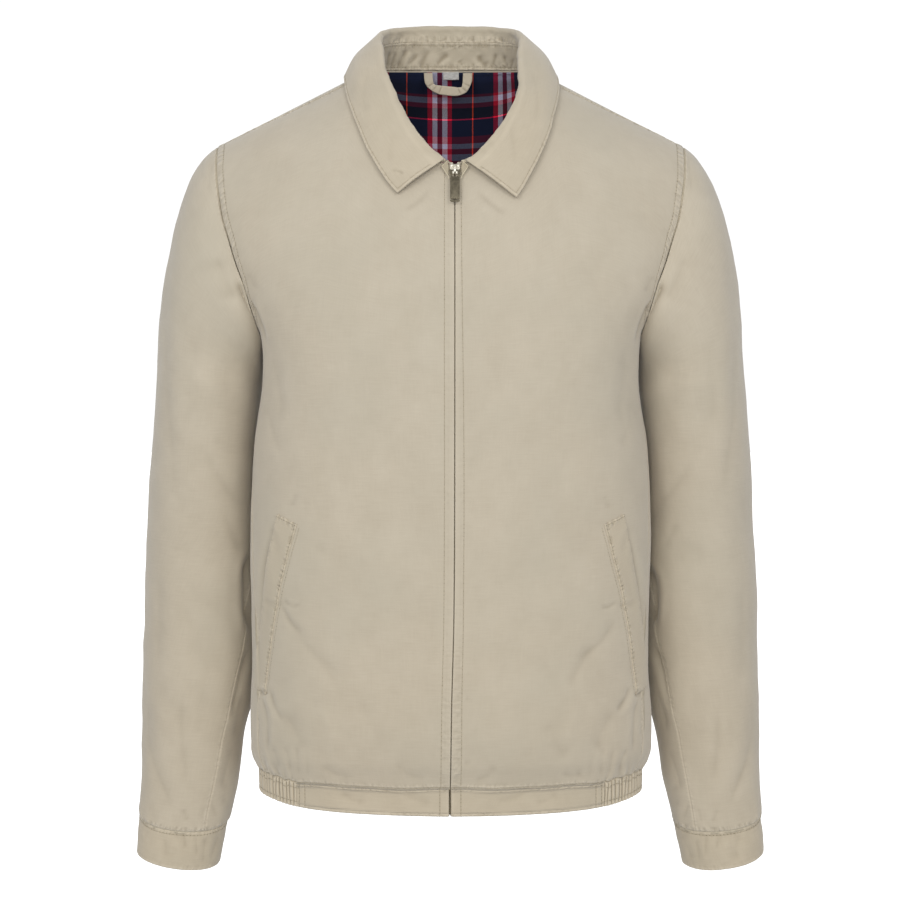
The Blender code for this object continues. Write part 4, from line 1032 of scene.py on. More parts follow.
def stitches(group, line, pitch=3.3, length=2.5, width=0.55, height=0.34, lift=0.10, seed=1, start=0.0, end=1.0, hole=0.5):
    """A row of stitches along rows of point and normal. Sizes in millimetres."""
    reach = np.concatenate([[0], np.cumsum(np.linalg.norm(np.diff(line[:, :3], axis=0), axis=1))])
    low, high = reach[-1] * start, reach[-1] * end
    count = max(int((high - low) * 1000 / pitch), 1)
    rng = np.random.default_rng(seed)
    middles = low + (np.arange(count) + 0.5) * (high - low) / count + rng.normal(0, 0.00006, count)
    half = length / 2000 * rng.uniform(0.94, 1.06, count)

    def read(at):
        return np.stack([np.interp(at, reach, line[:, k]) for k in range(6)], -1)

    head, tail, mid = read(middles - half), read(middles + half), read(middles)
    run = unit(tail[:, :3] - head[:, :3])
    normal = unit(mid[:, 3:])
    side = unit(np.cross(run, normal))
    centre = (head[:, :3] + tail[:, :3]) / 2 * 0.35 + mid[:, :3] * 0.65 + normal * lift / 1000
    long = np.linalg.norm(tail[:, :3] - head[:, :3], axis=1) / 2
    STITCH_ROWS.setdefault(group, []).append((centre, run, normal, side, long, width / 2000, height / 2000))
    # painted shadow of the needle's holes: flat dark marks between the stitches
    ends = low + np.arange(count + 1) * (high - low) / count
    spot = read(ends)
    ahead = read(np.minimum(ends + 0.0002, reach[-1]))[:, :3] - read(np.maximum(ends - 0.0002, 0))[:, :3]
    out = unit(spot[:, 3:])
    ahead = unit(ahead)
    size = hole / 1000 * rng.uniform(0.85, 1.15, count + 1)
    HOLE_ROWS.setdefault(group, []).append(
        (spot[:, :3] + out * 0.00006, ahead, out, unit(np.cross(ahead, out)), size * (pitch - length + 0.35), size * 0.62, 0.00005)
    )


def stitch_mesh(name, rows, material, body="jacket"):
    sides, rings = 5, ((-0.72, 0.80, -0.25), (0.0, 1.0, 0.10), (0.72, 0.80, -0.25))
    if name.startswith("needle_holes"):
        rings = ((-0.5, 0.95, 0.0), (0.5, 0.95, 0.0))
    angle = np.arange(sides) * 2 * np.pi / sides
    verts, faces, total = [], [], 0
    for centre, run, normal, side, long, w, h in rows:
        count = len(centre)
        w = np.broadcast_to(w, count)[:, None]
        parts = [centre - run * long[:, None] - normal * h * 1.3]
        for t, size, lift in rings:
            for a in angle:
                parts.append(
                    centre + run * (long * t)[:, None] + side * (w * size * math.cos(a)) + normal * (h * size * math.sin(a) + h * lift)
                )
        parts.append(centre + run * long[:, None] - normal * h * 1.3)
        block = np.stack(parts, 1)
        each = block.shape[1]
        verts.append(block.reshape(-1, 3))
        base = []
        for k in range(sides):
            m = (k + 1) % sides
            base.append((0, 1 + m, 1 + k))
            for ring in range(len(rings) - 1):
                p, q = 1 + ring * sides, 1 + (ring + 1) * sides
                base.append((p + k, p + m, q + m))
                base.append((p + k, q + m, q + k))
            last = 1 + (len(rings) - 1) * sides
            base.append((each - 1, last + k, last + m))
        base = np.array(base)
        faces.append((base[None] + (np.arange(count) * each)[:, None, None] + total).reshape(-1, 3))
        total += count * each
    verts, faces = np.concatenate(verts), np.concatenate(faces)
    a, b, c = verts[faces[0]]
    centre0, normal0 = rows[0][0][0], rows[0][2][0]
    if np.cross(b - a, c - a) @ ((a + b + c) / 3 - centre0) < 0:
        faces = faces[:, ::-1]
    mesh = bpy.data.meshes.new(name)
    mesh.from_pydata(verts.tolist(), [], faces.tolist())
    mesh.shade_smooth()
    return placed(name, mesh, material, body)


# ---------------------------------------------------------------- materials
class Nodes:
    def __init__(self, name):
        self.material = bpy.data.materials.new(name)
        self.material.use_nodes = True
        self.tree = self.material.node_tree
        self.shader = self.tree.nodes["Principled BSDF"]

    def new(self, kind, **settings):
        node = self.tree.nodes.new(kind)
        for key, value in settings.items():
            setattr(node, key, value)
        return node

    def link(self, source, target):
        self.tree.links.new(source, target)

    def value(self, target, value):
        if isinstance(value, (int, float)):
            target.default_value = value
        else:
            self.link(value, target)

    def math(self, operation, a, b=None, c=None):
        node = self.new("ShaderNodeMath", operation=operation)
        for socket, value in zip(node.inputs, (a, b, c)):
            if value is not None:
                self.value(socket, value)
        return node.outputs[0]

    def mix(self, factor, a, b, blend="MIX"):
        node = self.new("ShaderNodeMix", data_type="RGBA", blend_type=blend)
        self.value(node.inputs["Factor"], factor)
        for socket, value in ((node.inputs[6], a), (node.inputs[7], b)):
            if isinstance(value, tuple):
                socket.default_value = (*value, 1)
            else:
                self.link(value, socket)
        return node.outputs[2]

    def noise(self, vector, scale, detail=3.0, roughness=0.55):
        node = self.new("ShaderNodeTexNoise")
        node.inputs["Scale"].default_value = scale
        node.inputs["Detail"].default_value = detail
        node.inputs["Roughness"].default_value = roughness
        self.link(vector, node.inputs["Vector"])
        return node.outputs["Fac"]

    def scaled(self, vector, scale, turn=0.0):
        node = self.new("ShaderNodeMapping")
        node.inputs["Scale"].default_value = scale
        node.inputs["Rotation"].default_value = (0, 0, turn)
        self.link(vector, node.inputs["Vector"])
        return node.outputs["Vector"]

    def uv(self):
        return self.new("ShaderNodeUVMap", uv_map="UVMap").outputs["UV"]

    def place(self):
        return self.new("ShaderNodeTexCoord").outputs["Object"]

    def attribute(self, name):
        return self.new("ShaderNodeAttribute", attribute_name=name).outputs["Fac"]

    def ramp(self, factor, stops, interpolation="LINEAR"):
        node = self.new("ShaderNodeValToRGB")
        node.color_ramp.interpolation = interpolation
        elements = node.color_ramp.elements
        while len(elements) > len(stops):
            elements.remove(elements[-1])
        while len(elements) < len(stops):
            elements.new(1.0)
        for element, (at, colour) in zip(elements, stops):
            element.position, element.color = at, (*colour, 1)
        self.link(factor, node.inputs["Fac"])
        return node.outputs["Color"]

    def bump(self, height, strength, distance, normal=None):
        node = self.new("ShaderNodeBump")
        node.inputs["Strength"].default_value = strength
        node.inputs["Distance"].default_value = distance
        self.link(height, node.inputs["Height"])
        if normal is not None:
            self.link(normal, node.inputs["Normal"])
        return node.outputs["Normal"]

    def finish(self, colour=None, roughness=None, normal=None, metallic=0.0, sheen=0.0, sheen_roughness=0.5, specular=None):
        shader = self.shader
        if colour is not None:
            if isinstance(colour, tuple):
                shader.inputs["Base Color"].default_value = (*colour, 1)
            else:
                self.link(colour, shader.inputs["Base Color"])
        if roughness is not None:
            self.value(shader.inputs["Roughness"], roughness)
        if normal is not None:
            self.link(normal, shader.inputs["Normal"])
        shader.inputs["Metallic"].default_value = metallic
        if sheen:
            shader.inputs["Sheen Weight"].default_value = sheen
            shader.inputs["Sheen Roughness"].default_value = sheen_roughness
        if specular is not None:
            shader.inputs["Specular IOR Level"].default_value = specular
        return self.material


def linear(r, g, b):
    """Linear colour from a display one, 0 to 255."""
    return tuple(((c / 255) / 12.92) if c <= 10 else (((c / 255) + 0.055) / 1.055) ** 2.4 for c in (r, g, b))


def twill(name, light, dark, cool, fine=1.0, wear_light=0.16):
    """Fine cotton twill: diagonal ribs, slubs along both yarns, a soft uneven wash, lighter rubbed edges, painted
    highlight and shade from the tone attribute, and painted shade towards the hem.
    """
    n = Nodes(name)
    uv, place = n.uv(), n.place()
    split = n.new("ShaderNodeSeparateXYZ")
    n.link(uv, split.inputs[0])
    u, v = split.outputs[0], split.outputs[1]
    diagonal = n.math("ADD", n.math("MULTIPLY", u, 2 * math.pi / 0.00085), n.math("MULTIPLY", v, 2 * math.pi / 0.00120))
    wobble = n.math("MULTIPLY", n.noise(n.scaled(uv, (900, 900, 1)), 1.0, 2.0), 2.2)
    rib = n.math("SINE", n.math("ADD", diagonal, wobble))
    weft = n.noise(n.scaled(uv, (55, 900, 1)), 1.0, 3.0, 0.6)
    warp = n.noise(n.scaled(uv, (900, 45, 1)), 1.0, 3.0, 0.6)
    fuzz = n.noise(n.scaled(uv, (2400, 2400, 1)), 1.0, 2.0)
    wash = n.noise(n.scaled(place, (9, 9, 7)), 1.0, 3.0, 0.5)
    cloud = n.noise(n.scaled(place, (26, 26, 20)), 1.0, 3.0, 0.6)
    yarn = n.math("ADD", n.math("MULTIPLY", weft, 0.62), n.math("MULTIPLY", warp, 0.38))
    tone = n.math("ADD", n.math("MULTIPLY", yarn, 0.62), n.math("MULTIPLY", cloud, 0.38))
    base = n.mix(n.math("MULTIPLY", n.math("SUBTRACT", tone, 0.32), 2.6), dark, light)
    base = n.mix(n.math("MULTIPLY", n.math("SUBTRACT", wash, 0.42), 1.6), base, cool)
    # painted shade: a little warmer and deeper towards the hem and the cuffs
    height_of = n.new("ShaderNodeSeparateXYZ")
    n.link(place, height_of.inputs[0])
    low = n.math("MINIMUM", n.math("MAXIMUM", n.math("MULTIPLY", n.math("ADD", height_of.outputs[2], 0.25), -1 / 0.35), 0.0), 1.0)
    base = n.mix(low, base, n.mix(1.0, base, (0.985, 0.970, 0.950), "MULTIPLY"))
    rib_tone = n.math("ADD", 0.955, n.math("MULTIPLY", rib, 0.035 * fine))
    shade = n.new("ShaderNodeCombineColor")
    for socket in shade.inputs:
        n.link(rib_tone, socket)
    base = n.mix(1.0, base, shade.outputs[0], "MULTIPLY")
    # the tone attribute: paler for rubbed edges and painted highlight on ridges, darker for painted shade in hollows
    # and painted shadow along edges
    tone_shift = n.math("MULTIPLY", n.attribute("wear"), n.math("ADD", 0.55, n.math("MULTIPLY", cloud, 0.9)))
    base = n.mix(n.math("MULTIPLY", n.math("MAXIMUM", tone_shift, 0.0), wear_light * 2), base, tuple(min(1, c * 1.16) for c in light))
    base = n.mix(n.math("MULTIPLY", n.math("MAXIMUM", n.math("MULTIPLY", tone_shift, -1.0), 0.0), 0.62), base, tuple(c * k for c, k in zip(dark, (0.50, 0.47, 0.42))))
    # short puckers across the sewn seams: painted highlight on their tops and painted shade between, from the same
    # noise as their bump
    across_seam = n.math("MULTIPLY", n.attribute("seam_upright"), n.math("SUBTRACT", n.noise(n.scaled(uv, (85, 360, 1), 0.12), 1.0, 1.5, 0.4), 0.5))
    along_seam = n.math("MULTIPLY", n.attribute("seam_level"), n.math("SUBTRACT", n.noise(n.scaled(uv, (340, 80, 1), 0.10), 1.0, 1.5, 0.4), 0.5))
    pucker_bump_and_shade = n.math("ADD", across_seam, along_seam)
    base = n.mix(n.math("MULTIPLY", n.math("MAXIMUM", pucker_bump_and_shade, 0.0), 1.5), base, tuple(min(1, c * 1.20) for c in light))
    base = n.mix(n.math("MULTIPLY", n.math("MAXIMUM", n.math("MULTIPLY", pucker_bump_and_shade, -1.0), 0.0), 2.4), base, tuple(c * k for c, k in zip(dark, (0.62, 0.59, 0.54))))
    height = n.math("ADD", n.math("MULTIPLY", rib, 0.30 * fine), n.math("ADD", n.math("MULTIPLY", yarn, 1.3), n.math("MULTIPLY", fuzz, 0.5)))
    fine_bump = n.bump(height, 0.35, 0.00012)
    rumple = n.noise(n.scaled(place, (150, 150, 120)), 1.0, 4.0, 0.6)
    normal = n.bump(rumple, 0.20, 0.0006, fine_bump)
    normal = n.bump(pucker_bump_and_shade, 0.8, 0.0032, normal)
    rough = n.math("ADD", 0.80, n.math("MULTIPLY", fuzz, 0.14))
    return n.finish(base, rough, normal, sheen=0.40, sheen_roughness=0.55, specular=0.25)

# ---------------------------------------------------------------- colours
STONE_LIGHT, STONE_DARK, STONE_COOL = linear(206, 196, 177), linear(192, 181, 161), linear(190, 183, 165)
shell = twill("stone twill", STONE_LIGHT, STONE_DARK, STONE_COOL)
shell_band = twill("stone twill, band", *(tuple(c * k for c, k in zip(tone, (1.0, 0.985, 0.955))) for tone in (STONE_LIGHT, STONE_DARK, STONE_COOL)), wear_light=0.20)


def thread_material():
    n = Nodes("stone thread")
    place = n.place()
    strands = n.noise(n.scaled(place, (2600, 2600, 2600)), 1.0, 2.0)
    colour = n.mix(strands, linear(164, 152, 126), linear(194, 183, 158))
    return n.finish(colour, 0.75, n.bump(strands, 0.4, 0.0001), sheen=0.15, specular=0.3)


thread = thread_material()

# painted shadow in the needle holes: flat dark marks laid on the cloth
hole_shadow = Nodes("needle holes")
hole_tone = hole_shadow.noise(hole_shadow.scaled(hole_shadow.place(), (900, 900, 900)), 1.0, 2.0)
hole_shadow = hole_shadow.finish(hole_shadow.mix(hole_tone, linear(106, 95, 72), linear(142, 130, 106)), 1.0, hole_shadow.bump(hole_tone, 0.3, 0.0001), specular=0.05)

# ---------------------------------------------------------------- panels

def odd(count):
    return int(count) // 2 * 2 + 1


def front_edge_stitch(side, z):
    """How far the zip's topstitching is from the front edge, in mm."""
    table = STITCH_LEFT if side > 0 else STITCH_RIGHT
    return table("d", z)


STITCH_RIGHT = Table("z d", (-0.68, 8.2), (-0.62, 8.5), (-0.40, 8.9), (-0.08, 9.2))
STITCH_LEFT = Table("z d", (-0.68, 9.3), (-0.60, 9.0), (-0.50, 8.2), (-0.36, 8.0), (-0.20, 6.2), (-0.08, 5.2))

# Creases of the fronts, in the camera's frame: depth, width, bias, then the line. The image's left is the wearer's right.
FRONT_RIGHT_CREASES = (
    (-0.4, 3.2, 0.6, (247, 272), (252, 282), (256, 292)),
    (-2.2, 2.4, 0.5, (249, 296), (256, 315), (262, 330), (266, 346)),
    (-0.9, 7.0, 0.3, (279, 345), (277, 376), (280, 402), (275, 432)),
    (-0.7, 6.0, -0.4, (268, 398), (272, 430), (284, 458)),
    (0.8, 5.0, 0.0, (262, 352), (262, 372), (261, 395)),
    (-0.5, 15.0, 0.2, (300, 375), (338, 465), (362, 562)),
    (-0.4, 13.0, 0.0, (330, 250), (300, 300), (288, 352)),
    (-0.35, 12.0, 0.3, (395, 250), (408, 330), (402, 430)),
    (-0.4, 3.6, 0.3, (296, 492), (291, 508)),
    (-0.5, 3.4, 0.6, (268, 522), (275, 539), (280, 556)),
    (-0.9, 2.6, 0.6, (262, 596), (272, 604), (284, 603)),
    (-1.5, 3.2, -0.5, (275, 516), (268, 544), (262, 590), (258, 640), (255, 684)),
    (-1.6, 2.6, 0.4, (255, 687), (262, 692), (269, 694)),
    (-0.7, 2.2, 0.5, (282, 598), (292, 606), (301, 604)),
    (-0.5, 9.0, 0.3, (306, 540), (330, 556), (352, 566)),
    (-0.9, 3.2, 0.5, (280, 598), (284, 611), (292, 625), (305, 634)),
    (-0.6, 8.0, 0.4, (288, 612), (299, 636), (322, 660), (350, 682)),
    (-0.6, 9.0, 0.3, (300, 640), (322, 664), (338, 690), (346, 716)),
    (-1.0, 3.0, -0.6, (269, 686), (273, 703), (283, 722)),
    (-0.9, 2.8, 0.7, (258, 689), (263, 703), (266, 716), (267, 735), (268, 757)),
    (-0.8, 2.4, -0.5, (254, 706), (257, 722), (258, 740)),
    (-1.3, 9.5, 0.3, (281, 708), (292, 727), (300, 744), (299, 757)),
    (0.9, 9.0, 0.0, (318, 700), (330, 728), (334, 752)),
    (-0.7, 12.0, 0.3, (352, 690), (372, 726), (384, 764)),
    (-0.6, 2.6, 0.4, (271, 744), (276, 756), (280, 772)),
    (-0.5, 2.6, -0.4, (284, 744), (288, 758), (290, 776)),
    (-0.45, 2.8, 0.3, (294, 742), (297, 756), (298, 778)),
    (-0.3, 3.0, 0.3, (304, 750), (307, 764), (308, 780)),
    (-0.6, 5.0, 0.4, (318, 762), (335, 774), (356, 778)),
    (-0.5, 6.0, 0.3, (392, 760), (410, 775), (430, 778)),
    (-0.4, 18.0, 0.0, (338, 612), (380, 650), (418, 706)),
    (-0.3, 9.0, 0.5, (426, 190), (415, 240), (424, 300)),
    (-0.7, 4.0, 0.4, (432, 184), (420, 200), (402, 212)),
)
FRONT_LEFT_CREASES = (
    (-0.4, 3.2, -0.6, (654, 274), (649, 284), (645, 294)),
    (-2.2, 2.4, -0.5, (652, 296), (645, 315), (639, 330), (635, 346)),
    (-1.0, 7.5, -0.3, (622, 342), (625, 372), (621, 404), (627, 436)),
    (-0.6, 6.0, 0.4, (635, 392), (630, 424), (619, 452)),
    (0.8, 5.0, 0.0, (640, 350), (639, 372), (641, 398)),
    (-0.45, 15.0, -0.2, (602, 368), (566, 452), (545, 548)),
    (-0.4, 12.0, 0.0, (570, 246), (600, 296), (614, 346)),
    (-0.3, 12.0, -0.3, (512, 262), (498, 340), (505, 436)),
    (-0.4, 3.6, -0.3, (604, 494), (609, 510)),
    (-0.5, 3.4, -0.6, (632, 524), (625, 541), (620, 556)),
    (-0.9, 2.6, -0.6, (638, 598), (628, 605), (616, 604)),
    (-1.5, 3.2, 0.5, (627, 518), (632, 548), (639, 592), (644, 640), (648, 684)),
    (-1.6, 2.6, -0.4, (647, 688), (640, 693), (633, 695)),
    (-0.7, 2.2, -0.5, (618, 600), (608, 607), (599, 606)),
    (-0.8, 5.0, -0.5, (616, 616), (607, 634), (592, 650), (574, 663)),
    (-0.8, 8.0, -0.3, (600, 640), (580, 666), (566, 692)),
    (-1.2, 3.2, 0.7, (630, 684), (625, 700), (615, 714)),
    (-0.9, 2.8, -0.7, (642, 692), (637, 706), (635, 722), (634, 742), (633, 759)),
    (-0.9, 2.6, 0.6, (647, 702), (645, 722), (643, 741)),
    (-1.2, 9.5, -0.3, (616, 706), (606, 724), (599, 741), (602, 758)),
    (0.9, 9.0, 0.0, (582, 700), (570, 728), (566, 752)),
    (-0.8, 11.0, -0.3, (548, 716), (556, 742), (570, 764)),
    (-0.6, 2.6, -0.4, (628, 746), (623, 758), (619, 774)),
    (-0.5, 2.6, 0.4, (614, 746), (611, 760), (610, 777)),
    (-0.45, 2.8, -0.3, (604, 744), (602, 758), (601, 780)),
    (-0.3, 3.0, -0.3, (594, 752), (591, 766), (590, 782)),
    (-0.6, 5.0, -0.4, (560, 774), (573, 776), (586, 772)),
    (-0.5, 6.0, -0.3, (498, 764), (486, 777), (470, 782)),
    (-0.4, 18.0, 0.0, (560, 606), (520, 640), (488, 700)),
    (-0.25, 3.0, 0.4, (464, 698), (474, 701)),
    (-0.25, 3.0, -0.4, (463, 764), (472, 762)),
    (-0.3, 9.0, -0.5, (478, 196), (488, 246), (480, 304)),
    (-0.7, 4.0, -0.4, (476, 188), (490, 203), (508, 216)),
)
# The back, in millimetres from the middle and from the shoulders, seen from in front.
BACK_CREASES = (
    (-1.0, 8.0, 0.4, (150, -215), (128, -262), (118, -330)),
    (-0.9, 9.0, -0.4, (-150, -210), (-122, -268), (-116, -345)),
    (-0.6, 14.0, 0.2, (60, -120), (72, -230), (58, -350)),
    (-0.6, 14.0, -0.2, (-52, -140), (-66, -260), (-48, -380)),
    (-0.7, 10.0, 0.3, (20, -30), (8, -95), (14, -170)),
    (-1.6, 6.0, 0.6, (168, -560), (140, -590), (108, -606), (84, -632)),
    (-1.4, 6.0, -0.6, (-165, -548), (-138, -584), (-112, -602), (-92, -628)),
    (-1.9, 9.0, 0.3, (122, -585), (112, -612), (116, -640)),
    (-1.8, 9.0, -0.3, (-126, -590), (-116, -616), (-118, -642)),
    (-1.0, 12.0, 0.2, (58, -560), (50, -600), (56, -640)),
    (-0.9, 12.0, -0.2, (-30, -570), (-24, -606), (-30, -642)),
    (0.9, 9.0, 0.0, (86, -575), (82, -610), (86, -638)),
    (0.8, 9.0, 0.0, (-72, -580), (-66, -612), (-70, -638)),
    (-0.8, 8.0, 0.5, (172, -380), (160, -440), (164, -520)),
    (-0.8, 8.0, -0.5, (-172, -360), (-158, -430), (-166, -515)),
    (-0.7, 5.0, 0.5, (196, -120), (180, -150), (168, -190)),
    (-0.7, 5.0, -0.5, (-196, -126), (-182, -158), (-170, -198)),
    (-0.5, 10.0, 0.0, (70, -20), (96, -52), (140, -78)),
    (-0.5, 10.0, 0.0, (-70, -24), (-100, -56), (-146, -84)),
)


def gather_folds(panel, run, away, seed, pitch=9.0, depth=1.5, reach=26.0, where=1.0):
    """Folds that rise from a gathered seam: narrow at the seam, wider and softer above it."""
    rng = np.random.default_rng(seed)
    spot, end = float(run.min()), float(run.max())
    made = np.zeros(run.shape)
    while spot < end:
        width = pitch / 1000 * rng.uniform(0.24, 0.34) * (1 + away / 0.030)
        long, lean = reach / 1000 * rng.uniform(0.5, 1.5), rng.normal(0, 0.25)
        made += rng.uniform(0.5, 1.2) * np.exp(-(((run - spot - lean * away) / width) ** 2)) * np.exp(-((away / long) ** 1.6))
        spot += pitch / 1000 * rng.uniform(0.7, 1.35)
    panel.move += depth / 1000 * (made - 0.45 * np.exp(-away / (reach / 1000))) * where


def armhole_finish(panel, away, seed, where, band=6.6):
    """The seam allowance pressed on to the body: a raised puckered band with topstitching at its edge."""
    panel.raised_band(away, band, 0.16, where)
    panel.groove(away, band + 0.3, 0.75, 0.30, where)
    panel.crossed(panel.up, away, 0.3, band, 7.5, 0.30, 0.15, seed, where)
    panel.rolled(away, 0.9, 0.25, where)
    panel.sewn(away, 0.6, band + 1.0, 0.8, where)


def hem_wave(grid):
    """How far the band's seam runs up and down: short waves over the elastic, long shallow ones elsewhere."""
    turn = np.degrees(np.arctan2(np.abs(grid[..., 0]) / 0.185, -grid[..., 1] / 0.125))
    run = turn / 180 * 0.487 * np.where(grid[..., 0] < 0, 1.0, 1.07)
    short = np.sin(run * 2 * math.pi / 0.0165 + 0.6) + 0.5 * np.sin(run * 2 * math.pi / 0.0092 + 1.9)
    long = np.sin(run * 2 * math.pi / 0.082 + 1.1) + 0.6 * np.sin(run * 2 * math.pi / 0.047)
    return 0.00075 * short * elastic_share(turn) + 0.00045 * long


ELASTIC_FROM, ELASTIC_TO = 45.9, 128.0


def elastic_band_share(turn_degrees):
    return soft(turn_degrees, ELASTIC_FROM, ELASTIC_FROM + 2.5) * (1 - soft(turn_degrees, ELASTIC_TO - 2.5, ELASTIC_TO))


def elastic_share(turn_degrees):
    """1 where the band below is elasticated."""
    return soft(turn_degrees, ELASTIC_FROM - 3, ELASTIC_FROM + 4) * (1 - soft(turn_degrees, ELASTIC_TO - 4, ELASTIC_TO + 3))


front_rows = graded(odd(381), start=2.2, end=1.6, reach=0.035, low=0.0003, high=0.9987, middle=(0.80, 0.7, 0.16))
front_columns = graded(odd(121), start=3.2, end=2.6, reach=0.045, low=0.0, high=0.9990)
STITCH_LINES = {}
fronts = {}
for side, hand, rows in ((-1, "right", FRONT_RIGHT_CREASES), (1, "left", FRONT_LEFT_CREASES)):
    grid = front_panel(side, front_columns, front_rows)
    chest = np.exp(-(((front_rows - SPLIT) / 0.035) ** 2))
    grid = relaxed_near(relaxed(grid, 3), chest, 260)
    grid[..., 2] += hem_wave(grid) * np.exp(-(((grid[..., 2] - grid[:1, :, 2]) / 0.009) ** 2))
    pull_in = np.exp(-((np.abs(grid[..., 0] - grid[:, :1, 0]) / 0.012) ** 2))
    grid[..., 0] -= side * 0.00046 * pull_in
    p = Panel(grid, (side * 0.10, -1.0, -0.3))
    z = p.base[..., 2]
    at_armhole = soft(front_rows, SPLIT - 0.02, SPLIT + 0.05)[:, None]
    arm, top, hem, edge = p.from_end, p.from_top, p.up, p.across
    under_collar = soft(np.hypot(p.frame[..., 0] - 450.5, (p.frame[..., 1] - 110) * 1.15), 70, 125)
    p.creases(rows, where=0.15 + 0.85 * under_collar)
    calm = soft(edge, 0.002, 0.020) * (0.25 + 0.75 * under_collar)
    p.ripple(0.55, 95, 11 + side, calm).ripple(0.20, 34, 21 + side, calm).ripple(0.07, 13, 31 + side, calm)
    # blousing over the elastic: folds at the side, only a few towards the middle
    turn = np.degrees(np.arctan2(np.abs(p.base[..., 0]) / 0.185, -p.base[..., 1] / 0.125))
    side_share = elastic_share(turn) * 1.0
    gather_folds(p, edge, hem, 41 + side, 8.5, 1.5, 15.0, side_share)
    gather_folds(p, edge, hem, 51 + side, 24.0, 0.7, 24.0, 0.35 + 0.65 * side_share)
    p.pinned(hem).pinned(arm).pinned(top, 5.0).pinned(edge, 4.0, 0.3)
    # armhole
    lower_stop = soft(front_rows, SPLIT + 0.055, SPLIT + 0.075)[:, None]
    armhole_finish(p, arm, 61 + side, lower_stop)
    p.rolled(arm, 0.9, 0.4, 1 - lower_stop)
    p.sewn(arm, 0.0, 3.0, 0.5, 1 - lower_stop)
    p.sewn(edge, 1.0, 8.5, 0.5 if side > 0 else 0.3, 0.15 + 0.85 * soft(-z, 0.45, 0.62))
    p.sewn(hem, -1.0, 3.0, 0.55, level=True)
    p.sewn(top, -1.0, 4.0, 0.8, level=True)
    # zip edge: a stitched fold with small puckers, more of them low on the wearer's left
    at = front_edge_stitch(side, z)
    p.groove(edge, at, 0.70, 0.26)
    p.raised_band(edge, 4.5, 0.25)
    low_part = 0.35 + 0.65 * soft(-z, 0.50, 0.60) * (1.0 if side > 0 else 0.55)
    p.puckers(hem, np.abs(edge - at / 1000 / 2), 8.5, 0.20, 4.6, 71 + side, low_part, skew=0.9)
    p.crossed(hem, edge, 1.0, float(at.mean()), 9.0, 0.42, 0.75, 77 + side, low_part)
    p.puckers(hem, np.abs(edge - at / 1000), 6.0, 0.18, 4.0, 81 + side, 0.8)
    p.rolled(edge, 0.6, 0.8)
    # shoulder seam and neckline
    p.puckers(edge, top, 9.0, 0.26, 6.0, 91 + side)
    p.rolled(top, 0.9, 0.4)
    p.puckers(edge, hem, 7.0, 0.45, 4.0, 95 + side, 0.4 + 0.6 * side_share)
    p.rolled(hem, 0.9, 0.5)
    # painted highlight on ridges and painted shade in hollows, weaker near the collar
    p.shaded(1.0, np.broadcast_to(0.3 + 0.7 * under_collar, p.move.shape))
    fronts[side] = p
    piece = wall(f"front_{hand}_cloth", p, 0.0014, shell)
    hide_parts(f"front_{hand}")
    face = p.surface()
    stitches("body", p.line(edge, [float(v) / 1000 for v in at[:, 0]], face=face), seed=101 + side, pitch=3.55, length=2.35, hole=0.36)
    rows_from = int(np.searchsorted(front_rows, SPLIT + 0.062))
    stitches("body", p.line(arm, 0.0069, face=face)[rows_from:], seed=111 + side)

half_columns = graded(85, start=0.0, end=2.6, reach=0.045, low=0.0, high=0.9990)
back_columns = np.concatenate([-half_columns[:0:-1], half_columns])
back_rows = graded(odd(241), start=2.2, end=1.8, reach=0.035, low=0.0003, high=0.9987, middle=(0.84, 0.6, 0.14))
grid = back_panel(back_columns, back_rows)
chest = np.exp(-(((back_rows - SPLIT) / 0.035) ** 2))
grid = relaxed_near(relaxed(grid, 3), chest, 220)
grid[..., 2] += hem_wave(grid) * np.exp(-(((grid[..., 2] - grid[:1, :, 2]) / 0.009) ** 2))
p = Panel(grid, (0, 1.0, -0.3))
p.shows = np.ones(p.shows.shape)
p.creases(BACK_CREASES, back=True)
neck_calm = soft(p.from_top, 0.004, 0.045)
p.ripple(0.7, 110, 13, neck_calm).ripple(0.25, 36, 23, neck_calm).ripple(0.07, 13, 33, neck_calm)
turn = 180 - np.degrees(np.arctan2(np.abs(p.base[..., 0]) / 0.185, p.base[..., 1] / 0.113))
share = elastic_share(turn)
gather_folds(p, p.across, p.up, 43, 8.5, 1.5, 16.0, share)
gather_folds(p, p.across, p.up, 53, 26.0, 0.8, 24.0, 0.4 + 0.6 * share)
arm = np.minimum(p.across, p.from_end)
p.pinned(p.up).pinned(arm).pinned(p.from_top, 5.0)
is_arm = soft(back_rows, SPLIT + 0.01, SPLIT + 0.05)[:, None]
armhole_finish(p, arm, 63, is_arm)
p.rolled(arm, 0.9, 0.4, 1 - is_arm)
p.puckers(p.across, p.from_top, 8.0, 0.26, 7.0, 93)
p.groove(p.from_top, 4.2, 0.7, 0.4)
p.raised_band(p.from_top, 4.0, 0.35)
p.rolled(p.from_top, 0.9, 0.4)
p.rolled(p.up, 0.9, 0.5)
p.sewn(p.from_top, -1.0, 5.0, 0.9, level=True).sewn(p.up, -1.0, 3.5, 0.9, level=True)
# painted highlight on ridges and painted shade in hollows
p.shaded()
p.move = np.maximum(p.move, -0.0019 - p.fine)  # no hollow reaches the lining behind
back_cloth = wall("back_cloth", p, 0.0014, shell)
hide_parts("back")
face = p.surface()
from_row = int(np.searchsorted(back_rows, SPLIT + 0.03))
for flip in (False, True):
    stitches("body", p.line(p.from_end if flip else p.across, 0.0069, face=face)[from_row:-3], seed=121 + flip)
stitches("body", p.line(p.from_top, 0.0042, by_row=False, face=face), seed=131)
BACK_PANEL = p

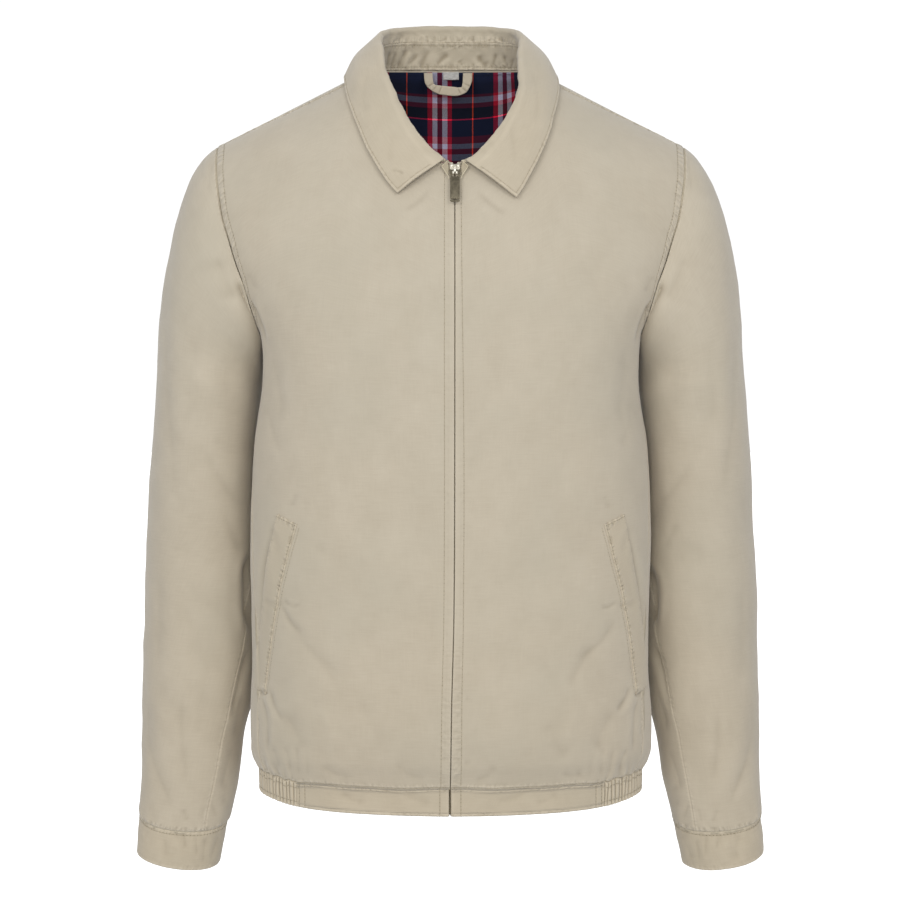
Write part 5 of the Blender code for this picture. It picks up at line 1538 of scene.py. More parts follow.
# ---------------------------------------------------------------- sleeves
# The underarm seam that shows at the front of each sleeve, and the sleeve's creases, all in the camera's frame.
SEAM_RIGHT = Table("y x", (250, 262), (420, 262), (520, 257), (576, 252), (608, 246.4), (640, 244), (683, 233.3), (716.5, 227), (747, 219.5), (787, 211.8), (807, 207), (835, 203.5))
SEAM_LEFT = Table("y x", (250, 639), (420, 641), (520, 646), (580, 650), (612, 654), (640, 656.5), (664, 664), (683, 668), (716.5, 675), (747, 681), (787, 689), (813, 693.5), (835, 697))
SLEEVE_RIGHT_CREASES = (
    (-2.4, 4.5, 0.5, (236, 276), (246, 296), (258, 318)),
    (-1.5, 10.0, 0.2, (214, 250), (224, 276), (238, 306)),
    (-0.9, 6.0, 0.3, (174, 214), (167, 290), (166, 372), (171, 444), (179, 508)),
    (-0.6, 10.0, 0.0, (200, 322), (190, 376), (189, 436)),
    (-0.7, 7.0, 0.6, (203, 446), (217, 474), (230, 493), (251, 508)),
    (-0.7, 5.0, 0.5, (222, 510), (230, 528), (237, 545), (242, 558)),
    (-3.2, 4.2, -0.7, (258, 548), (249, 560), (246, 582), (247, 612), (252, 640)),
    (-1.6, 3.6, 0.8, (251, 640), (243, 668), (237, 696), (232, 722)),
    (-1.2, 4.0, 0.5, (245, 690), (240, 712), (234, 742)),
    (-1.0, 5.0, -0.4, (234, 742), (226, 772), (221, 796)),
    (-0.8, 7.0, 0.2, (161, 552), (158, 622), (161, 692)),
    (-1.3, 7.0, 0.5, (150, 688), (147, 728), (153, 764), (164, 790), (173, 810)),
    (-0.7, 6.0, 0.4, (182, 690), (181, 736), (188, 782)),
    (-0.35, 3.4, 0.6, (182, 808), (188, 822)),
    (-0.3, 3.0, -0.6, (205, 804), (200, 822)),
    (-0.4, 3.2, 0.6, (211, 800), (216, 818)),
    (-0.5, 3.8, 0.5, (228, 780), (222, 808)),
    (-0.5, 14.0, 0.0, (214, 640), (203, 700), (196, 752)),
    (-0.5, 4.0, 0.5, (212, 156), (210, 176), (208, 196)),
    (-0.4, 4.0, -0.5, (204, 160), (200, 182)),
)
SLEEVE_LEFT_CREASES = (
    (-2.4, 4.5, -0.5, (664, 278), (654, 298), (643, 318)),
    (-1.6, 10.0, -0.2, (688, 248), (678, 276), (662, 308)),
    (-0.9, 6.0, -0.3, (727, 218), (734, 296), (735, 380), (729, 452), (721, 514)),
    (-0.6, 10.0, 0.0, (700, 330), (712, 384), (711, 444)),
    (-0.6, 7.0, -0.6, (694, 456), (682, 478), (668, 496), (650, 512)),
    (-0.6, 5.0, -0.5, (678, 520), (671, 536), (664, 552)),
    (-2.8, 4.2, 0.7, (642, 560), (652, 574), (655, 600), (652, 632)),
    (-1.6, 3.6, -0.8, (652, 636), (660, 664), (666, 690), (671, 716)),
    (-1.2, 4.0, -0.5, (656, 684), (662, 708), (668, 738)),
    (-1.0, 5.0, 0.4, (668, 744), (676, 772), (682, 798)),
    (-0.8, 7.0, -0.2, (740, 560), (743, 628), (739, 690)),
    (-1.3, 7.0, -0.5, (750, 694), (752, 732), (745, 768), (734, 794), (726, 812)),
    (-0.7, 6.0, -0.4, (716, 700), (718, 742), (711, 786)),
    (-0.35, 3.4, -0.6, (718, 808), (712, 824)),
    (-0.3, 3.0, 0.6, (697, 806), (702, 824)),
    (-0.4, 3.2, -0.6, (689, 802), (684, 820)),
    (-0.5, 3.8, -0.5, (673, 782), (678, 810)),
    (-0.5, 14.0, 0.0, (686, 650), (696, 706), (702, 760)),
    (-0.5, 4.0, -0.5, (687, 152), (690, 174), (692, 194)),
)
# Behind each sleeve, in millimetres, for the wearer's left; the right one takes them mirrored and moved a little.
SLEEVE_BACK_CREASES = (
    (-2.0, 5.0, 0.6, (196, -262), (206, -300), (214, -336)),
    (-1.3, 8.0, -0.4, (236, -190), (228, -236), (232, -290)),
    (-0.9, 7.0, 0.4, (262, -260), (266, -330), (260, -402)),
    (-1.6, 5.5, 0.7, (222, -430), (240, -452), (264, -462)),
    (-1.3, 5.0, -0.7, (268, -484), (246, -500), (222, -506)),
    (-1.0, 6.0, 0.5, (232, -540), (244, -580), (240, -620)),
    (-0.8, 7.0, -0.3, (266, -560), (270, -612), (264, -660)),
    (-1.1, 3.5, 0.6, (240, -676), (243, -694)),
    (-0.9, 3.5, -0.6, (262, -672), (258, -692)),
    (-0.9, 3.5, 0.6, (276, -678), (276, -696)),
)


def sleeve_grid(side, columns, rows, seam):
    """The sleeve with one of its columns running along the underarm seam that shows, and finer columns beside it."""
    dense_parts = np.arange(480) / 480
    dense = sleeve_surface(dense_parts, rows)
    dense[0] += np.array([0.0008, 0, 0])
    dense[..., 0] *= side
    dense = relaxed(dense, 2, closed=True)
    frame = seen(dense)
    half = (dense_parts > 0.10) & (dense_parts < 0.499)
    spots = np.flatnonzero(half)
    seam_part = np.empty(len(rows))
    for i in range(len(rows)):
        want = float(seam("x", frame[i, spots, 1].mean()))
        x = frame[i, spots, 0] * (1 if side < 0 else -1)
        want = want if side < 0 else -want
        order = np.argsort(x)
        seam_part[i] = np.interp(want, x[order], dense_parts[spots][order])
    kernel = np.ones(15) / 15
    seam_part = np.convolve(np.pad(seam_part, 7, mode="edge"), kernel, mode="valid")
    seam_part = np.clip(seam_part, 0.20, 0.499)
    spaced = graded(columns + 1, low=0.0, high=1.0, middle=(0.5, 3.0, 0.035))[:-1]  # the seam's column is at 0.5
    out = np.empty((len(rows), columns, 3))
    wide_parts = np.concatenate([dense_parts - 1, dense_parts, dense_parts + 1])
    for i in range(len(rows)):
        at = np.where(spaced <= 0.5, spaced * 2 * seam_part[i], seam_part[i] + (spaced - 0.5) * 2 * (1 - seam_part[i]))
        wide = np.concatenate([dense[i]] * 3)
        for k in range(3):
            out[i, :, k] = np.interp(at, wide_parts, wide[:, k])
    return relaxed(out, 1, closed=True), spaced


sleeve_rows = graded(odd(271), start=2.5, end=3.0, reach=0.03, low=0.0016, high=0.9995, middle=(0.2, 0.5, 0.2))
SLEEVES = {}
for side, hand, rows, seam in ((-1, "right", SLEEVE_RIGHT_CREASES, SEAM_RIGHT), (1, "left", SLEEVE_LEFT_CREASES, SEAM_LEFT)):
    columns = 160
    grid, spaced = sleeve_grid(side, columns, sleeve_rows, seam)
    p = Panel(grid, (side * 1.0, 0.03, -0.4), closed=True)
    ring_run = run_along(np.concatenate([grid, grid[:, :1]], 1), 1)
    around_run, whole = ring_run[:, :-1], ring_run[:, -1:]
    seam_at = int(np.argmin(np.abs(spaced - 0.5)))
    off_seam = around_run - around_run[:, seam_at : seam_at + 1]
    p.creases(rows)
    moved_rows = [
        (d, w, b * side, *[(side * (x + (0 if side > 0 else 3)), z - (0 if side > 0 else 9)) for x, z in pts])
        for d, w, b, *pts in SLEEVE_BACK_CREASES
    ]
    p.creases(moved_rows, back=True)
    near_cap = soft(p.up, 0.003, 0.04)
    gather_folds(p, np.broadcast_to(around_run[-1:], around_run.shape), p.from_top, 161 + side, 14.0, 0.8, 13.0)
    p.ripple(0.8, 90, 15 + side, near_cap).ripple(0.28, 32, 25 + side, near_cap).ripple(0.08, 13, 35 + side, near_cap)
    p.pinned(p.up).pinned(p.from_top)
    # underarm seam: one edge stands over the other
    below = soft(p.up, 0.05, 0.12)
    p.fine += 0.00055 * soft(off_seam * 1000, -0.4, 0.4) * np.exp(-np.abs(off_seam) / 0.009) * below
    p.groove(off_seam, 0.0, 0.75, 0.55, below)
    p.puckers(p.up, np.abs(off_seam), 11.0, 0.22, 5.0, 141 + side, below)
    # a paler line beside the seam: painted highlight
    p.wear += 0.9 * np.exp(-(((off_seam * 1000 + 1.3) / 1.0) ** 2)) * below
    # cap and cuff ends
    p.puckers(np.broadcast_to(around_run[:1], around_run.shape), p.up, 9.0, 0.30, 8.0, 151 + side)
    p.rolled(p.up, 0.6, 0.25)
    p.sewn(p.up, -1.0, 2.5, 0.45, level=True).sewn(p.from_top, -1.0, 4.0, 0.8, level=True)
    p.sewn(np.abs(off_seam), -1.0, 3.0, 0.3, below)
    # high up the sleeve's inner side swells against the body
    beside, reach, swell = ((378, 26, 0.0019), (385, 19, 0.0015))[side > 0]
    p.move += swell * soft(p.normal[..., 0] * -side, 0.55, 0.9) * np.exp(-(((p.frame[..., 1] - beside) / reach) ** 2))
    p.rolled(p.from_top, 1.0, 0.6)
    # painted highlight on ridges and painted shade in hollows
    p.shaded()
    SLEEVES[side] = p
    piece = wall(f"sleeve_{hand}_cloth", p, 0.0013, shell)
    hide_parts(f"sleeve_{hand}")

# ---------------------------------------------------------------- cuffs
CUFF_RIGHT_CREASES = (
    (-0.35, 2.8, 0.6, (183, 832), (186, 850)),
    (-0.35, 2.6, -0.6, (196, 833), (197, 858)),
    (-0.6, 3.2, 0.6, (223, 828), (215, 846), (209, 864)),
    (-0.5, 3.4, -0.6, (207, 834), (204, 850), (203, 866)),
    (-0.6, 6.0, 0.0, (160, 830), (166, 848), (164, 862)),
    (0.5, 5.0, 0.0, (174, 836), (178, 852), (176, 864)),
)
CUFF_LEFT_CREASES = tuple((d, w, -b, *[(901 - x + 1, y + 1) for x, y in pts]) for d, w, b, *pts in CUFF_RIGHT_CREASES)
heights = CUFF.column("z")
for side, hand, rows in ((-1, "right", CUFF_RIGHT_CREASES), (1, "left", CUFF_LEFT_CREASES)):
    parts = np.arange(300) / 300
    levels = heights[-1] - SEAM_GAP + (heights[0] - heights[-1] + SEAM_GAP) * graded(31, start=2.0, end=2.0, reach=0.08)
    grid = np.array([ring(CUFF, z, parts) for z in levels])
    grid[..., 0] *= side
    p = Panel(grid, (side * 1.0, 0.03, -0.72), closed=True)
    p.creases(rows)
    p.ripple(0.5, 45, 17 + side).ripple(0.2, 18, 27 + side).ripple(0.06, 9, 37 + side)
    run = run_along(grid, 1)
    p.pinned(p.up)
    p.puckers(np.broadcast_to(run[:1], run.shape), p.up, 8.0, 0.22, 8.0, 171 + side)
    p.puckers(np.broadcast_to(run[-1:], run.shape), p.from_top, 10.0, 0.20, 7.0, 181 + side)
    p.groove(p.up, 3.4, 0.6, 0.32)
    p.rolled(p.up, 0.8, 0.5)
    p.rolled(p.from_top, 1.8, 1.2)
    p.sewn(p.up, -1.0, 5.0, 0.5, level=True).sewn(p.from_top, -1.0, 5.0, 0.35, level=True)
    p.wear += 0.3 * np.exp(-p.from_top / 0.0018)
    # painted highlight on ridges and painted shade in hollows
    p.shaded()
    piece = wall(f"cuff_{hand}_cloth", p, 0.0022, shell_band)
    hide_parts(f"cuff_{hand}")
    line = p.line(p.up, 0.0034, by_row=False)
    stitches("body", np.concatenate([line, line[:1]]), seed=191 + side)

# ---------------------------------------------------------------- hem band
def band_half(side):
    """Half of the band, from the zip round to the middle of the back."""
    start_x = side * float(ZIP_LINE("x", -0.665)) + ZIP_GAP / 2
    turn_0 = math.degrees(float(turn_at(max(start_x, 1e-4), -0.665)))
    parts = graded(801, start=1.5, end=0.0, reach=0.02, middle=((72 - turn_0) / (180 - turn_0), 2.4, 0.17))
    turns = turn_0 + (180 - turn_0) * parts
    grid = np.array([band_point(turns, part) for part in graded(19, start=1.6, end=1.6, reach=0.08)])
    grid[:, 0, 0] = start_x
    grid[..., 0] *= side
    return grid, turns


(right_half, right_turns), (left_half, left_turns) = band_half(-1), band_half(1)
grid = np.concatenate([right_half, left_half[:, -2::-1]], 1)
turns = np.concatenate([right_turns, left_turns[-2::-1]])
grid = relaxed(grid, 1)
grid[..., 2] += hem_wave(grid) * np.exp(-(((grid[..., 2] - grid[:1, :, 2]) / 0.009) ** 2))
p = Panel(grid, (-0.1, -1, -0.66))
p.shows = np.ones(p.shows.shape) * (turns < 90)[None, :]
share = elastic_band_share(turns)[None, :]
run = np.broadcast_to(p.across.mean(0)[None, :], p.across.shape)
edge = np.minimum(p.across, p.from_end)
rng = np.random.default_rng(201)
# gathers of the elastic: close round ridges with sharp valleys, pinched by two rows of stitching
spot, made = 0.0, np.zeros(p.move.shape)
pinch = 1 - 0.55 * np.exp(-(((p.up * 1000 - 5.2) / 1.2) ** 2)) - 0.55 * np.exp(-(((p.from_top * 1000 - 5.0) / 1.2) ** 2))
while spot < run.max():
    facing = float(np.interp(spot, run[12], np.abs(p.normal[12, :, 1])))
    gap = 0.0034 / max(facing, 0.42) * rng.uniform(0.84, 1.16)  # even to the eye from in front, as the cloth lies
    width, lean, bow = gap * rng.uniform(0.17, 0.23), rng.normal(0, 0.06), rng.normal(0, 0.0006)
    path = spot + lean * (p.up - 0.013) + bow * np.sin(p.up / 0.026 * math.pi)
    made += rng.uniform(0.7, 1.25) * np.exp(-((np.abs(run - path) / width) ** 1.4)) * min(gap / 0.0042, 1.5)
    spot += gap
p.move += (0.0009 - 0.0021 * made) * share * pinch
plain = 1 - share
p.crease(-0.6, 5.0, -0.4, (338, 789), (350, 798), (368, 803))
p.crease(-0.5, 6.0, -0.4, (404, 792), (418, 800), (436, 803))
p.crease(-0.6, 5.0, 0.4, (493, 801), (518, 796), (530, 788))
p.crease(-0.5, 6.0, 0.4, (560, 790), (549, 799), (532, 804))
p.ripple(0.45, 60, 19, plain).ripple(0.16, 22, 29, plain).ripple(0.06, 10, 39)
p.pinned(p.up, 1.6)
p.puckers(run, p.up, 9.0, 0.30, 6.0, 211, plain)
p.puckers(run, p.from_top, 12.0, 0.20, 6.0, 221, plain)
# upright stitching where the elastic ends, and beside the zip
upright = []
for side, half_turns, half_run in ((-1, right_turns, p.across[0, :801]), (1, left_turns, p.from_end[0, ::-1][:801])):
    for turn in (ELASTIC_FROM - 2.8, ELASTIC_FROM, ELASTIC_TO, ELASTIC_TO + 2.8):
        upright.append((side, float(np.interp(turn, half_turns, half_run))))
    upright.append((side, float(front_edge_stitch(side, -0.665)) / 1000))
for side, where in upright:
    away = np.abs((p.across if side < 0 else p.from_end) - where)
    p.groove(away, 0.0, 0.7, 0.4)
p.puckers(p.up, np.abs(edge - 0.0045), 8.0, 0.3, 4.0, 231)
p.rolled(edge, 1.0, 1.1)
p.rolled(p.up, 0.8, 0.45)
p.rolled(p.from_top, 1.6, 1.2)
p.sewn(p.up, -1.0, 4.0, 0.8, plain, level=True).sewn(p.from_top, -1.0, 4.0, 0.5, plain, level=True)
p.wear += 0.5 * np.exp(-p.from_top / 0.0018)
# painted highlight on ridges and painted shade in hollows, stronger over the elastic's gathers
p.shaded(1.0, 1 + 0.9 * share)
piece = wall("hem_band", p, 0.0022, shell_band)
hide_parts("hem_front_right", "hem_front_left", "hem_elastic_right", "hem_elastic_left", "hem_back")
face = p.surface()
for k, (side, where) in enumerate(upright):
    stitches("body", p.line(p.across if side < 0 else p.from_end, where, face=face), seed=241 + k)
for side in (-1, 1):
    spots = np.flatnonzero((turns > ELASTIC_FROM) & (turns < ELASTIC_TO) & (grid[12, :, 0] * side > 0))
    for k, away in enumerate((p.up, p.from_top)):
        row = p.line(away, 0.0052 if k == 0 else 0.0050, by_row=False, face=face)[spots[0] : spots[-1] + 1]
        stitches("body", row, seed=251 + side + 2 * k, lift=0.2)


# ---------------------------------------------------------------- seams from inside
def seam_allowance(name, panel, border, inside=5.0, outside=2.5, depth=0.85, thick=0.9, every=3, part=(0.0, 1.0)):
    """The two layers' turned-in edges behind a seam: a narrow strip under one border of a panel, reaching a little past it."""
    face = panel.base + panel.normal * panel.move[..., None]
    normal, away = panel.normal, {"bottom": panel.up, "top": panel.from_top, "start": panel.across, "end": panel.from_end}[border]
    if border in ("start", "end"):
        face, normal, away = face.swapaxes(0, 1), normal.swapaxes(0, 1), away.swapaxes(0, 1)
    if border in ("top", "end"):
        face, normal, away = face[::-1], normal[::-1], away[::-1]
    closed = panel.closed and border in ("bottom", "top")
    count = face.shape[1]
    spots = np.unique(np.linspace(part[0] * (count - 1), part[1] * (count - 1), max(int(count / every) // 2 * 2 + 1, 5)).astype(int))
    if closed:
        spots = np.arange(0, count, 2)
        spots = spots[: len(spots) // 2 * 2]
    elif len(spots) % 2 == 0:
        spots = spots[:-1]
    steps = np.array([inside, inside * 0.6, 1.0, 0.0, -0.8, -outside * 0.6, -outside]) / 1000
    grid = np.empty((len(steps), len(spots), 3))
    for j, column in enumerate(spots):
        reach = away[:, column]
        for i, step in enumerate(steps):
            if step >= 0:
                point = [np.interp(step, reach, face[:, column, k]) for k in range(3)]
                out = [np.interp(step, reach, normal[:, column, k]) for k in range(3)]
            else:
                edge = face[0, column]
                further = np.array([np.interp(0.0035, reach, face[:, column, k]) for k in range(3)])
                point, out = edge + unit(edge - further) * -step, normal[0, column]
            grid[i, j] = np.array(point) - np.array(out) * depth / 1000
    middle = spots[len(spots) // 2]
    strip_panel = Panel(grid, face[0, middle] + normal[0, middle] * 0.05, closed=closed)
    return wall(name, strip_panel, thick / 1000, lining_edge)


def plain_cloth(name, light, dark, thread_mm=0.5, wear_light=0.0):
    """A plain weave: fine threads both ways, uneven in tone."""
    n = Nodes(name)
    uv = n.uv()
    split = n.new("ShaderNodeSeparateXYZ")
    n.link(uv, split.inputs[0])
    over = n.math("SINE", n.math("MULTIPLY", split.outputs[0], 2 * math.pi / (thread_mm / 1000)))
    under = n.math("SINE", n.math("MULTIPLY", split.outputs[1], 2 * math.pi / (thread_mm / 1000)))
    weave = n.math("MULTIPLY", over, under)
    tone = n.noise(n.scaled(uv, (240, 900, 1)), 1.0, 3.0)
    colour = n.mix(n.math("MULTIPLY", n.math("SUBTRACT", tone, 0.3), 2.2), dark, light)
    height = n.math("ADD", weave, n.math("MULTIPLY", tone, 1.5))
    return n.finish(colour, 0.82, n.bump(height, 0.35, 0.00012), sheen=0.1, specular=0.25)


lining_edge = plain_cloth("overlocked edge", linear(203, 193, 172), linear(178, 167, 145))
for side, hand in ((-1, "right"), (1, "left")):
    p = fronts[side]
    seam_allowance(f"hem_seam_{hand}", p, "bottom", depth=0.7)
    seam_allowance(f"side_seam_{hand}", p, "end", outside=3.0, depth=0.6, part=(0.0, SPLIT))
    seam_allowance(f"armhole_seam_front_{hand}", p, "end", outside=1.6, depth=0.5, part=(SPLIT, 1.0))
    seam_allowance(f"shoulder_seam_{hand}", p, "top", outside=2.5, depth=0.5, every=2, part=(0.42, 1.0))
    seam_allowance(f"cap_seam_{hand}", SLEEVES[side], "bottom", inside=6.0, outside=1.5, depth=0.6)
    seam_allowance(f"cuff_seam_{hand}", SLEEVES[side], "top", inside=5.0, outside=2.5, depth=0.7)
seam_allowance("hem_seam_back", BACK_PANEL, "bottom", depth=0.7)

# ---------------------------------------------------------------- collar
COLLAR_INNER = (
    (-0.6, 2.2, 0.6, (449, 36), (443, 40), (436, 45)),
    (-0.5, 2.4, -0.5, (468, 36), (472, 40), (476, 44)),
    (-0.9, 2.6, 0.6, (496, 38), (503, 42), (510, 49)),
    (-0.5, 2.0, 0.4, (463, 37), (458, 42), (452, 45)),
    (-0.5, 2.4, 0.4, (405, 34), (400, 39), (392, 44)),
    (-0.6, 2.0, 0.5, (488, 39), (490, 44)),
)
COLLAR_FACE = (
    (-0.45, 2.0, 0.5, (391, 171), (398, 171), (405, 175)),
    (-0.45, 6.0, 0.0, (372, 62), (364, 92), (368, 120)),
    (-0.40, 7.0, 0.0, (398, 128), (390, 150), (392, 172)),
    (-0.75, 8.0, 0.0, (530, 66), (538, 96), (534, 128)),
    (-0.60, 8.0, 0.0, (506, 112), (514, 146), (515, 174)),
    (0.35, 5.0, 0.0, (352, 84), (362, 78), (380, 60)),
)
ts = graded(321, start=2.2, end=2.2, reach=0.05, low=-1.0, high=1.0)
ss = graded(77, start=1.5, end=2.6, reach=0.05, middle=(0.27, 1.6, 0.06))
grid = relaxed(fall_surface(ts, ss), 1)
p = Panel(grid, (0, 1.0, 0.03))
turned = soft(ss, 0.26, 0.36)[:, None]  # 0 inside the neck, 1 on the leaves
p.shows = p.shows * 0 + soft(-p.normal[..., 1], 0.0, 0.3)
p.creases([(d * 1.7, w * 1.15, b, *points) for d, w, b, *points in COLLAR_INNER], where=np.broadcast_to(1 - turned, p.move.shape))
p.creases(COLLAR_FACE, where=np.broadcast_to(turned, p.move.shape))
p.ripple(0.35, 50, 301, turned).ripple(0.10, 18, 311, turned)
p.ripple(0.45, 22, 302, 1 - turned).ripple(0.16, 10, 312, 1 - turned)
p.puckers(p.across, p.up, 9.0, 0.85, 8.5, 303, 1.0, skew=1.1)
ends = np.minimum(p.across, p.from_end)
edge = np.minimum(p.from_top, ends + (1 - turned) * 0.05)
p.groove(edge, 3.0, 0.6, 0.10, turned)
p.sewn(edge, 0.8, 3.6, 0.6, turned, level=True)
p.sewn(p.up, -1.0, 6.0, 0.9, 1 - turned, level=True)
p.fine += 0.00018 * np.exp(-(((edge * 1000 - 1.6) / 1.1) ** 2)) * turned
p.puckers(p.across, np.abs(p.from_top - 0.0015), 7.0, 0.12, 3.0, 304, turned)
p.rolled(edge, 0.8, 0.9, np.broadcast_to(np.maximum(turned, 0.3), edge.shape))
# a thin dark line at the very edge of the leaves: painted shadow under the edge
p.wear -= 0.9 * np.exp(-(((edge * 1000 - 0.2) / 0.6) ** 2)) * turned
p.pinned(p.up, 2.0)
p.rolled(p.up, 0.7, 0.3)
p.wear += 0.1 * np.exp(-(((edge * 1000 - 0.8) / 0.9) ** 2)) * turned
p.wear += 0.45 * np.exp(-((((ss - 0.29) / 0.035)[:, None]) ** 2)) * np.ones(p.move.shape)
# painted highlight on ridges and painted shade in hollows
p.shaded()
collar = wall("collar_fall_cloth", p, 0.0018, shell_band)
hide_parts("collar_fall")
seam_allowance("collar_seam_upper", p, "bottom", inside=3.0, outside=0.9, depth=0.5, thick=0.5, every=2)
face = p.surface()
first = int(np.searchsorted(ss, 0.33))
last = int(np.searchsorted(p.from_top[::-1, 0], 0.003))
one, two = p.line(p.across, 0.003, face=face)[first:-last], p.line(p.from_end, 0.003, face=face)[first:-last]
bottom = p.line(p.from_top, 0.003, by_row=False, face=face)
inside_ends = (p.across[-1] > 0.003) & (p.from_end[-1] > 0.003)
stitches("collar", one, seed=321, pitch=2.7, length=2.0, hole=0.3)
stitches("collar", two, seed=322, pitch=2.7, length=2.0, hole=0.3)
stitches("collar", bottom[inside_ends], seed=323, pitch=2.7, length=2.0, hole=0.3)
COLLAR_PANEL = p

STAND_CREASES = (
    (-0.7, 1.7, 0.6, (391, 51), (389, 60), (388, 69)),
    (-0.7, 1.7, 0.6, (397, 50), (394, 60), (391, 70)),
    (-1.0, 2.2, 0.6, (408, 48), (403, 58), (398, 69)),
    (-0.6, 2.0, 0.5, (419, 52), (413, 60), (405, 66)),
    (-0.5, 2.2, 0.5, (430, 48), (424, 60), (421, 70)),
    (-0.9, 2.2, 0.6, (449, 53), (443, 58), (436, 66)),
    (-0.5, 1.8, -0.5, (458, 60), (462, 66)),
    (-0.9, 2.2, -0.6, (477, 54), (480, 60), (488, 67)),
    (-0.6, 1.8, 0.5, (496, 52), (494, 60), (490, 70)),
    (-0.7, 1.7, -0.5, (503, 54), (505, 62), (508, 71)),
    (-0.6, 1.7, 0.5, (513, 57), (511, 65), (509, 73)),
)
stand_rows = graded(31, start=1.0, end=1.0, reach=0.1, low=-0.055, high=1.035)
grid = relaxed(stand_surface(ts, stand_rows), 1)
p = Panel(grid, (0, -0.5, 0.03))
p.sewn(p.up, -1.0, 6.0, 0.9, level=True).sewn(p.from_top, -1.0, 6.0, 0.9, level=True)
p.shows = soft(-p.normal[..., 1], -0.2, 0.2)
p.creases([(d * 1.9, w * 1.1, b, *points) for d, w, b, *points in STAND_CREASES])
p.ripple(0.60, 24, 331).ripple(0.32, 11, 332)
p.puckers(p.across, p.up, 7.5, 0.75, 7.5, 333, skew=0.9)
p.puckers(p.across, p.from_top, 8.5, 0.70, 7.5, 334, skew=0.9)
p.groove(p.up, 3.2, 0.6, 0.25)
p.groove(p.from_top, 3.0, 0.6, 0.20)
p.fine += 0.0006 * np.exp(-((p.from_top / 0.0016) ** 2)) + 0.0006 * np.exp(-((p.up / 0.0014) ** 2))
p.rolled(p.up, 0.7, 0.5)
p.rolled(p.from_top, 0.7, 0.4)
# painted highlight on ridges and painted shade in hollows
p.shaded()
# paler along both edges; the whole stand painted darker, as painted shade inside the collar
p.wear += 0.5 * np.exp(-(((p.up * 1000 - 0.9) / 0.7) ** 2)) + 0.3 * np.exp(-(((p.from_top * 1000 - 0.9) / 0.7) ** 2)) - 0.22
stand = wall("collar_stand_cloth", p, 0.0016, shell_band)
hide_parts("collar_stand")
seam_allowance("collar_seam_lower", p, "bottom", inside=3.0, outside=0.8, depth=0.6, thick=0.5, every=2)
face = p.surface()
stitches("collar", p.line(p.up, 0.0032, by_row=False, face=face), seed=341, pitch=2.9, length=2.1, hole=0.38)
stitches("collar", p.line(p.from_top, 0.0030, by_row=False, face=face), seed=342, pitch=2.9, length=2.1, hole=0.32)

# ---------------------------------------------------------------- lining
def stripe_stops(ground, second, edge_red, mid_red, white, thin, shift, period=65.0):
    """Constant steps of one set of yarns over one repeat, in millimetres from the group's middle."""
    bands = [
        (-12.0, edge_red), (-7.2, white), (-2.2, mid_red), (2.6, white), (7.6, edge_red), (11.9, second),
        (period / 2 - 0.6, thin), (period / 2 + 0.6, ground), (period - 12.0, edge_red),
    ]
    return laid_out(bands, shift, period)


def laid_out(bands, shift, period):
    stops = []
    for at, colour in bands:
        stops.append(((at + shift) % period / period, colour))
    stops.sort(key=lambda stop: stop[0])
    if stops[0][0] > 0:
        stops.insert(0, (0.0, stops[-1][1]))
    merged = [stops[0]]
    for stop in stops[1:]:
        if stop[1] != merged[-1][1]:
            merged.append(stop)
    return merged


def tartan(name, across_shift, up_shift):
    n = Nodes(name)
    uv = n.uv()
    split = n.new("ShaderNodeSeparateXYZ")
    n.link(uv, split.inputs[0])
    navy, black = linear(17, 26, 52), linear(13, 13, 20)
    red, dark_red, white = linear(186, 20, 56), linear(120, 16, 48), linear(214, 208, 220)
    maroon, grey = linear(104, 16, 40), linear(118, 120, 136)
    warp_place = n.math("FRACT", n.math("ADD", n.math("MULTIPLY", split.outputs[0], 1 / 0.065), 100.0))
    weft_place = n.math("FRACT", n.math("ADD", n.math("MULTIPLY", split.outputs[1], 1 / 0.110), 100.0))
    warp = n.ramp(warp_place, stripe_stops(navy, navy, red, dark_red, white, linear(255, 92, 44), across_shift), "CONSTANT")
    level = [
        (-47.5, maroon), (-42.3, grey), (-36.1, maroon), (-30.5, grey), (-25.2, maroon), (-18.0, navy),
        (-0.5, linear(214, 30, 74)), (0.5, black), (12.6, maroon), (18.3, grey), (25.4, maroon), (29.1, navy),
    ]
    weft = n.ramp(weft_place, laid_out(level, up_shift, 110.0), "CONSTANT")
    diagonal = n.math("ADD", n.math("MULTIPLY", split.outputs[0], 2 * math.pi / 0.0009), n.math("MULTIPLY", split.outputs[1], 2 * math.pi / 0.0009))
    which = n.math("ADD", 0.5, n.math("MULTIPLY", n.math("SINE", diagonal), 0.22))
    colour = n.mix(which, warp, weft)
    meeting = n.mix(1.0, n.mix(1.0, warp, weft, "MULTIPLY"), (3.0, 3.0, 3.0), "MULTIPLY")
    colour = n.mix(1.0, colour, meeting, "ADD")  # where like yarns cross, the stripe is full
    tone = n.noise(n.scaled(uv, (500, 500, 1)), 1.0, 3.0)
    shade = n.new("ShaderNodeCombineColor")
    value = n.math("ADD", 0.82, n.math("MULTIPLY", tone, 0.34))
    for socket in shade.inputs:
        n.link(value, socket)
    colour = n.mix(1.0, colour, shade.outputs[0], "MULTIPLY")
    height = n.math("ADD", n.math("SINE", diagonal), n.math("MULTIPLY", tone, 2.0))
    return n.finish(colour, 0.82, n.bump(height, 0.3, 0.00012), sheen=0.08, specular=0.25)


